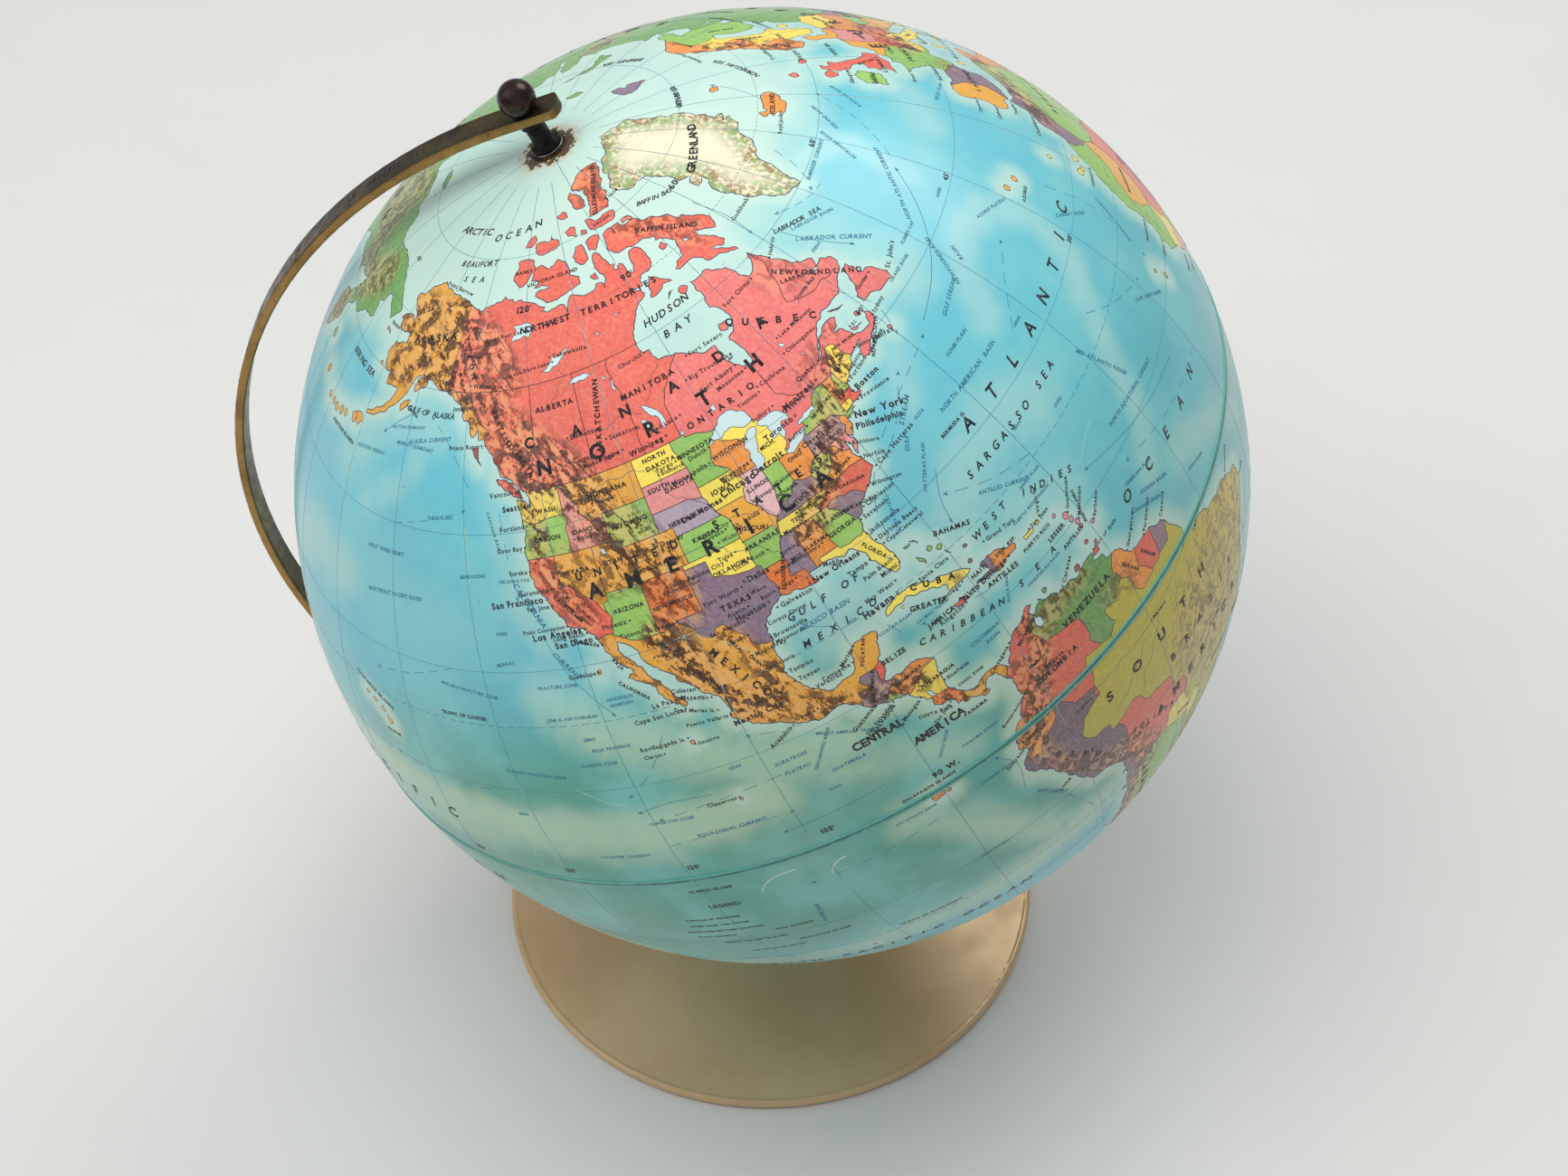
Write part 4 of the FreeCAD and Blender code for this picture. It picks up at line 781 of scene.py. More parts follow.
# Shallow light water far from the coast: half-width in degrees, strength, then a line through it.
SHOALS = """
7 1 -90 60.5 -84 60 -80.5 56 -80 52.5
4 .9 -78 67 -84 68.5 -90 68
4 .8 -62 70 -66 73 -72 75.5
3 .7 -74 62 -68 61
4 .45 -91 25 -94 27 -85 24.5
2 .8 -62 48 -60 47
"""

# Hair scratches in the varnish: width in mm, then the line of each.
SCRATCHES = """
.55 -113.8 -4.6 -112.6 -3 -110.8 -2.3 -108.6 -2.2
.6 -105.4 -5.2 -105.3 -4.2 -104.2 -3.2 -103 -2.9
.14 -119.6 32.6 -117.4 28.6 -114.8 24 -113.2 21.8
.12 -117 31 -115.8 27.6 -115 24.6
.16 -104.8 29.8 -102.6 28.4 -99.4 25.4
.12 -96.2 33 -95.2 31.4 -94.4 30.2
.12 -127.4 15.4 -124 13 -121.8 12.6
.14 -88.6 -4 -86.4 -6.6 -85.8 -8.4
.12 -56.4 18.4 -53 19.8 -51 20.2
.12 -40 28.6 -38.6 31.4 -38.2 33
.12 -64.6 56.6 -62 58.2 -60.4 60.2
.14 -106.5 29 -106.5 31.4
.14 -107.8 30.2 -105.2 30.2
.12 -107.3 29.5 -105.7 30.9
.12 -107.3 30.9 -105.7 29.5
"""


# Names on the map --------------------------------------------------------------------------------

# Spread names: the text, the places of its first and last letters, and its height in mm.

BIG_NAMES = """
NORTH;-118.7 51.2 -79 51.2;4
AMERICA;-115.3 37.6 -81.6 37.6;4.1
CANADA;-121 54 -73.4 54;2.9
UNITED;-117 39.4 -102.8 39.4;2.1
STATES;-96.6 39.4 -80.5 39.4;2.1
MEXICO;-104 27.4 -100.6 21.2;2.1
CENTRAL;-95.3 10.7 -90 10.7;2.5
AMERICA;-89.4 7.5 -84 7.5;2.5
GREENLAND;-49.5 71.5 -29 73.5;2.3
ALASKA;-157 64.6 -144 66;2.3
NORTHWEST;-121 66.2 -108 66.2;1.8
TERRITORIES;-103.5 66 -84 65.2;1.8
MANITOBA;-101.2 55.4 -91.5 55.4;1.6
ONTARIO;-93 49.5 -81.8 49.5;1.7
ALBERTA;-118.4 57.2 -111.4 57.2;1.5
SASKATCHEWAN;-108.6 50.6 -105.6 58.2;1.5
BRITISH;-128.2 57.8 -125.4 54.2;1.5
COLUMBIA;-125.2 54.4 -121.4 50.8;1.5
YUKON;-139 65.8 -134.5 61.8;1.5
QUEBEC;-77.5 56.2 -66.4 50.7;1.9
NEWFOUNDLAND;-64.5 56.8 -55 50;1.4
TEXAS;-100.6 31.3 -97.2 31.3;1.5
VENEZUELA;-69.2 7 -62.2 7;2.1
COLOMBIA;-75.2 3.8 -69.8 3.8;1.8
BRAZIL;-59 -11.2 -43.5 -12.4;2.8
PERU;-77.4 -7 -73.2 -12.4;2
BOLIVIA;-67.6 -15 -61 -18.5;1.8
ARGENTINA;-67 -26 -66.5 -44;2.6
CHILE;-70.6 -21 -72.3 -38;1.6
CUBA;-80.6 22.75 -76.4 21;1.8
JAMAICA;-81.7 18.15 -78.5 18.15;1.4
BELIZE;-88 17.75 -85.4 17.75;1.4
GUATEMALA;-91.2 14.6 -89.6 17.6;1
NICARAGUA;-85.8 12.9 -82 12.9;1.1
SOUTH;-69 -6 -50 -6.5;3.6
AMERICA;-63 -16.8 -43.5 -17.6;3.6
AFRICA;5 14 36 8;5
EUROPE;5 50 38 52;4
ASIA;62 46 118 44;5
SOVIET UNION;50 61 140 62;4
CHINA;88 34 115 32;3.4
INDIA;74 24 82 16;3
AUSTRALIA;119 -25 147 -25;3.8
ANTARCTICA;-60 -80 60 -80;4
SAUDI ARABIA;40 25 52 21;2
IRAN;50 33 59 31;2
TURKEY;30 39 40 39;1.8
SUDAN;26 14 33 13;2
ALGERIA;-2 28 8 28;2.2
LIBYA;14 27 22 27;2.2
EGYPT;27 27 33 27;1.8
ZAIRE;19 -2 28 -3;2.2
ANGOLA;15.5 -11 21 -12;1.8
MONGOLIA;96 47 111 46.5;2
FRANCE;0 47 5 47;1.5
SPAIN;-6 40 -1 40;1.4
NORWAY;7 60.5 15 66;1.3
JAPAN;135 35 141 39;1.8
MADAGASCAR;46 -22 48 -15;1.3
NEW ZEALAND;168 -45 176 -39;1.5
INDONESIA;102 -2 122 -2;2
"""

# Spread names of seas and oceans, in the same form.
SEA_NAMES = """
ATLANTIC;-62.9 31.3 -26.3 31.6;3.7
OCEAN;-54 11 -34 9;3.4
SARGASSO SEA;-67.2 27.5 -49.5 27.5;2.2
GULF OF;-94 27.3 -85.3 27.3;2
MEXICO;-94 24 -85.3 24;2
CARIBBEAN;-83.2 17.2 -73.6 14.9;1.9
SEA;-70.6 14.8 -65.4 14.8;1.9
HUDSON;-90.6 61.4 -81 61.4;2.1
BAY;-88.3 59.2 -83.2 59.2;2.1
BAFFIN BAY;-70.7 73.8 -60 72;1.5
ARCTIC;-166 77.4 -148 78.2;2.2
OCEAN;-140 77.6 -116 78.8;2.2
BEAUFORT;-153 74 -136 74.6;1.7
SEA;-148 72.4 -140 72.6;1.7
GULF OF ALASKA;-151.5 57.4 -138.8 57.4;1.6
BERING SEA;-179 58.5 -168 58.5;2
LABRADOR SEA;-57 59.5 -48 57;1.4
WEST;-71.2 22.4 -66.8 22.6;2
INDIES;-63.8 21.8 -57.6 19.2;2
GREENLAND SEA;-15 75 0 75;1.6
NORWEGIAN SEA;-5 66 8 69;1.6
NORTH SEA;1 56 6 56;1.2
PACIFIC;-172 8 -150 8;4.4
OCEAN;-170 -6 -152 -6;4.4
SOUTH PACIFIC OCEAN;-128 -30 -88 -30;3.6
SOUTH ATLANTIC OCEAN;-32 -25 -2 -25;3.4
INDIAN OCEAN;62 -22 98 -22;4
NORTH PACIFIC OCEAN;150 30 176 22;3
MEDITERRANEAN SEA;5 39.5 30 34;1.5
ARABIAN SEA;60 15 70 15;2
BAY OF BENGAL;84 15 92 12;1.8
SOUTH CHINA SEA;111 17 116 9;1.8
CORAL SEA;149 -17 158 -17;2
TASMAN SEA;154 -37 165 -37;2.2
BARENTS SEA;34 73.5 50 74.5;1.8
"""

# Set names: the text, the place of its middle with its height in mm, and its angle in degrees.
NAMES = """
WASH.;-119.6 46.8 1.2;0
OREGON;-120.4 43.9 1.2;0
IDAHO;-114.7 43.9 1.2;0
NEVADA;-117.2 40 1.2;0
CALIFORNIA;-119.8 36.3 1.1;-52
MONTANA;-109.2 47.1 1.4;0
WYOMING;-107.6 43.2 1.3;0
UTAH;-111.6 40 1.2;0
COLORADO;-105.7 38.1 1.1;0
ARIZONA;-111.7 34.9 1.2;0
NEW MEXICO;-106 33.9 1.1;0
NORTH;-100.4 48.4 1.2;0
DAKOTA;-99.8 47.5 1.2;0
SOUTH;-101.6 45.3 1.2;0
DAKOTA;-98.6 44.7 1.2;0
NEBRASKA;-99.8 41.3 1.2;0
KANSAS;-98.4 38.9 1.2;0
OKLAHOMA;-97.3 34.8 1.2;0
MINNESOTA;-94.1 47.2 1.2;0
IOWA;-93.6 42.3 1.3;0
MISSOURI;-92.6 37.3 1.2;-25
ARKANSAS;-92.4 35.7 1.2;0
LOUISIANA;-92.1 31.8 1.1;62
WISCONSIN;-89.7 45.4 1.2;0
ILLINOIS;-89.1 40.7 1.1;0
MICH.;-84.9 43.6 1.1;0
INDIANA;-86.2 38.7 1;0
OHIO;-82.8 41 1.1;0
KENTUCKY;-85.6 37.2 1.1;8
TENN.;-86.8 35.7 1.1;0
MISS.;-89.7 32.4 1;0
ALABAMA;-86.9 32.6 1;0
GEORGIA;-83.2 32.3 1.2;0
FLORIDA;-81.7 28.4 1.1;-64
SOUTH CAROLINA;-80.4 33.3 .9;-12
NORTH CAROLINA;-80.2 35.7 .9;-12
VIRGINIA;-78.6 37.3 .9;12
PENN.;-77.8 40.8 1;0
NEW YORK;-75.6 43.3 .9;10
MAINE;-69.2 45.3 1.1;30
NEW BRUNS.;-66.4 46.5 .8;-10
NOVA SCOTIA;-62.6 44.5 1;35
P.E.I.;-63.3 47 .8;0
BAJA;-115.6 29.4 1;-62
CALIFORNIA;-114.9 26.2 1;-44
SIERRA MADRE;-108.6 29 1;-60
OCCIDENTAL;-106.2 25.2 1;-58
SIERRA;-101.4 27.4 .9;-66
ORIENTAL;-99.8 24.4 .9;-66
YUCATAN;-89.3 20 1;58
HONDURAS;-86.6 14.9 1;8
EL SALVADOR;-91.6 11.9 1.1;26
COSTA RICA;-86.2 9.3 1;-18
PANAMA;-82.4 6.7 1.1;0
CANAL ZONE;-81 10.4 .8;0
HAITI;-73.6 19.3 1.3;0
DOM. REP.;-69.5 19.2 1;0
PUERTO RICO;-66 17.2 1;0
BAHAMAS;-73 24.9 1.4;-24
GREATER;-80.3 20.2 1.5;-22
ANTILLES;-71.7 17.1 1.5;-6
LESSER;-63.8 15.8 1.3;0
ANTILLES;-62.6 13.8 1.2;0
WEST ISLANDS;-59.7 15.6 .9;75
GUYANA;-58.9 5 1.1;-60
SURINAME;-56 4 .9;-60
ECUADOR;-78.6 -1.6 1.1;0
GALAPAGOS ISLANDS;-91.2 1 1;0
BAFFIN ISLAND;-71.5 69.2 1.5;-44
VICTORIA ISLAND;-110.8 71.4 1.1;0
BANKS;-121.6 73 1;0
DEVON;-86 75.2 .9;0
ELLESMERE ISLAND;-79 79.6 1.3;60
ICELAND;-18.7 65 1.4;0
LABRADOR;-62.5 54.6 1.1;-30
YUKON TERR.;-136.6 64.4 .9;-60
ALEUTIAN ISLANDS;-171 50.6 1.1;0
HAWAIIAN ISLANDS;-157.5 23 1.2;-20
HAWAII;-155.5 18 1.1;0
BERMUDA IS.;-64.4 32.4 1;0
AZORES;-27.5 36.4 1;0
CANARY IS.;-16 26.6 1;0
IRELAND;-8 53 .9;0
BRITAIN;-2 53 1.1;-60
SWEDEN;16 63 1.1;70
FINLAND;26.5 63.5 1.1;60
POLAND;19.5 52 1.2;0
GERMANY;10.5 50.6 1.1;0
ITALY;12.6 42.8 1.1;-45
GREECE;22 39.4 .9;-50
ROMANIA;25 46 1.1;0
MOROCCO;-6 31.5 1.1;30
MAURITANIA;-10 19.5 1.3;0
MALI;-3 17 1.5;0
NIGER;9 17 1.5;0
CHAD;18.5 15 1.5;0
NIGERIA;8 9.5 1.4;0
ETHIOPIA;39.5 8.5 1.4;0
KENYA;38 0 1.3;0
TANZANIA;35 -6.5 1.3;0
ZAMBIA;26.5 -13.6 1.3;20
SOUTH AFRICA;24 -31 1.4;0
NAMIBIA;17 -21 1.2;-80
BOTSWANA;24 -22 1.1;0
MOZAMBIQUE;38.2 -15.2 1;40
IRAQ;43.6 33 1.1;-40
PAKISTAN;68 28.5 1.2;40
AFGHANISTAN;66 33.6 1;20
BURMA;96 21 1.1;-70
THAILAND;101 15.6 1.1;-80
VIETNAM;108 15 1;-60
KOREA;127.6 37.4 1;-60
PHILIPPINES;123.4 13 1.1;-70
BORNEO;114 .5 1.3;0
SUMATRA;102 -1 1.2;-45
JAVA;110 -7.2 1;0
NEW GUINEA;141 -5.4 1.3;-15
PARAGUAY;-58.4 -23.4 1;-30
URUGUAY;-55.9 -32.8 1;0
TROPIC OF CANCER;-140 24.3 1.1;0
TROPIC OF CAPRICORN;-100 -22.6 1.1;0
12 INCH GLOBE;-119 -2.3 1.2;0
LEGEND;-119 -5.8 1.7;0
CAPITALS OF COUNTRIES;-122 -8.6 .9;0
OTHER CITIES AND TOWNS;-122 -10.2 .9;0
BOUNDARIES BETWEEN COUNTRIES;-122 -11.8 .9;0
WARM CURRENTS;-124 -13.4 .9;0
COLD CURRENTS;-114 -13.4 .9;0
HEIGHTS AND DEPTHS IN FEET;-120 -15.6 .9;0
CIRCLE SCALE OF MILES;-112 -17.6 .9;0
0 100 200 400 600 800 1000;-119 -19.4 .9;0
"""

# Figures of the meridians and parallels, in the same form; each is followed by a small ring.
DEGREES = """
120;-121.2 68.6 1.9;0
90;-89.3 67.4 1.9;0
60;-57.6 72.2 1.9;0
60;-31.8 60.3 1.6;0
45;-31 45.6 1.5;0
30;-31 30.2 1.5;0
90 W.;-88.6 2.1 1.9;0
105;-103 2.1 1.7;0
120;-119 2.1 1.6;0
135;-135 2.1 1.6;0
75;-74 -11 1.6;0
60;-61 47.3 1.4;0
150;-149 2.1 1.6;0
"""

# Set names of gulfs, currents, sea floors and depths, in the same form.
WATER_NAMES = """
MEXICO BASIN;-90.6 25.7 1.4;0
NORTH;-62.6 34.3 1.3;0
AMERICAN;-58 34.3 1.4;0
BASIN;-53.3 34.2 1.3;0
GULF;-70.4 34.6 1.2;50
STREAM;-67.6 37.2 1.4;32
CALIFORNIA;-125.3 37.2 1.6;-63
CURRENT;-122.3 30.3 1.4;-55
COLOMBIAN;-77.2 13.3 1.1;0
BASIN;-76.6 12.4 1.1;0
ALBATROSS;-102.1 12.9 1.1;0
PLATEAU;-102 11.4 1.1;0
GUATEMALA;-96.9 9.4 1.1;0
HENDERSON;-117 25.8 .9;0
SEAMOUNT;-117 25.1 .9;0
FRACTURE ZONE;-124.5 28.1 1;0
EQUATORIAL CURRENT;-112 6.8 1.2;0
COUNTER CURRENT;-126 5 1.1;0
NEWFOUNDLAND;-46 43 1.2;60
BASIN;-43.6 42 1.1;60
LABRADOR CURRENT;-52 54 1.3;-55
NORTH ATLANTIC CURRENT;-36 51 1.2;35
IRMINGER CURRENT;-36 59.5 1.1;0
ANTILLES CURRENT;-65 24 1.1;-30
CANARY CURRENT;-22 24 1.1;60
DELGADA FAN;-127 40 .9;0
MURRAY;-131 31 1;8
MENDOCINO;-134 40.6 1;4
CLARION ZONE;-123 18.4 1;0
CLIPPERTON ZONE;-118 9.6 1;0
BAJA PROVINCE;-120.6 20.2 1;0
ALASKA CURRENT;-144 54.6 1.2;10
GRAND BANK;-51 46.6 1;0
MID ATLANTIC RIDGE;-44 22 1.2;-70
NARES PLAIN;-62 22.4 .9;0
GUIANA BASIN;-50 8.6 1.2;-25
PERU CURRENT;-80 -12 1.2;-55
PACIFIC RISE;-110 -12 1.3;80
TUFTS PLAIN;-140 46.6 1;6
CASCADIA BASIN;-129.4 45.2 .9;-75
NORTHEAST PACIFIC BASIN;-150 37 1.2;6
MOLOKAI FRACTURE ZONE;-138 27.6 1;-8
CLARION FRACTURE ZONE;-132 17.4 1;-6
MURRAY SEAMOUNT;-147.6 53.6 1;0
PATTON SEAMOUNT;-150.4 55.4 .9;10
ALEUTIAN TRENCH;-160 51.4 1;8
GALAPAGOS RIDGE;-94 -1.8 .9;0
CARNEGIE RIDGE;-84.4 -3 .9;0
PANAMA BASIN;-83.6 3.4 1;0
PERU BASIN;-89 -15 1.1;0
COCOS RIDGE;-87.4 5.2 .9;50
TEHUANTEPEC RIDGE;-98.6 12.4 .9;50
MIDDLE AMERICA TRENCH;-95.2 12.9 .9;-28
CEARA PLAIN;-42.6 3.6 1;-20
DEMERARA PLAIN;-50.8 11.4 1;-14
PUERTO RICO TRENCH;-64 20.2 .9;0
CAPE VERDE BASIN;-30 18 1.1;-40
CANARY BASIN;-26.5 30.4 1.1;-50
AZORES PLATEAU;-33 40 1;-30
REYKJANES RIDGE;-30.6 57.6 1;55
ICELAND BASIN;-22.8 59.4 1;40
ROCKALL BANK;-15 57 1;40
BISCAY PLAIN;-9.6 45.8 1;-20
LABRADOR BASIN;-50.6 57 1;-30
FLEMISH CAP;-44.6 47.6 .9;0
SOHM PLAIN;-55.6 37.4 1.1;0
HATTERAS PLAIN;-70.8 31.6 1;50
BLAKE PLATEAU;-77.4 30.2 .9;70
YUCATAN BASIN;-84.8 20.6 .9;0
CAYMAN TRENCH;-80.4 19.3 .8;0
BEATA RIDGE;-72.2 15.6 .8;60
VENEZUELAN BASIN;-67.6 14 .9;0
16320;-66.6 35.8 1;0
18144;-58.6 27 1;0
11520;-88.4 23.6 .9;0
12600;-130.6 34.4 1;0
13860;-122.8 21.6 1;0
15200;-108 14.4 1;0
14040;-47.6 33 1;0
17990;-52.6 24.6 1;0
12020;-99.6 7.2 1;0
16500;-136.6 11.4 1;0
10860;-55.6 55 1;0
14400;-34.6 46 1;0
GULF STREAM;-50.6 40.6 1.2;14
NORTH EQUATORIAL CURRENT;-44 17 1.2;-8
GUIANA CURRENT;-52.4 8 1.1;-28
WEST WIND DRIFT;-152 41.6 1.2;4
JUNE 21, SUN OVERHEAD;-124 24.3 .9;0
"""

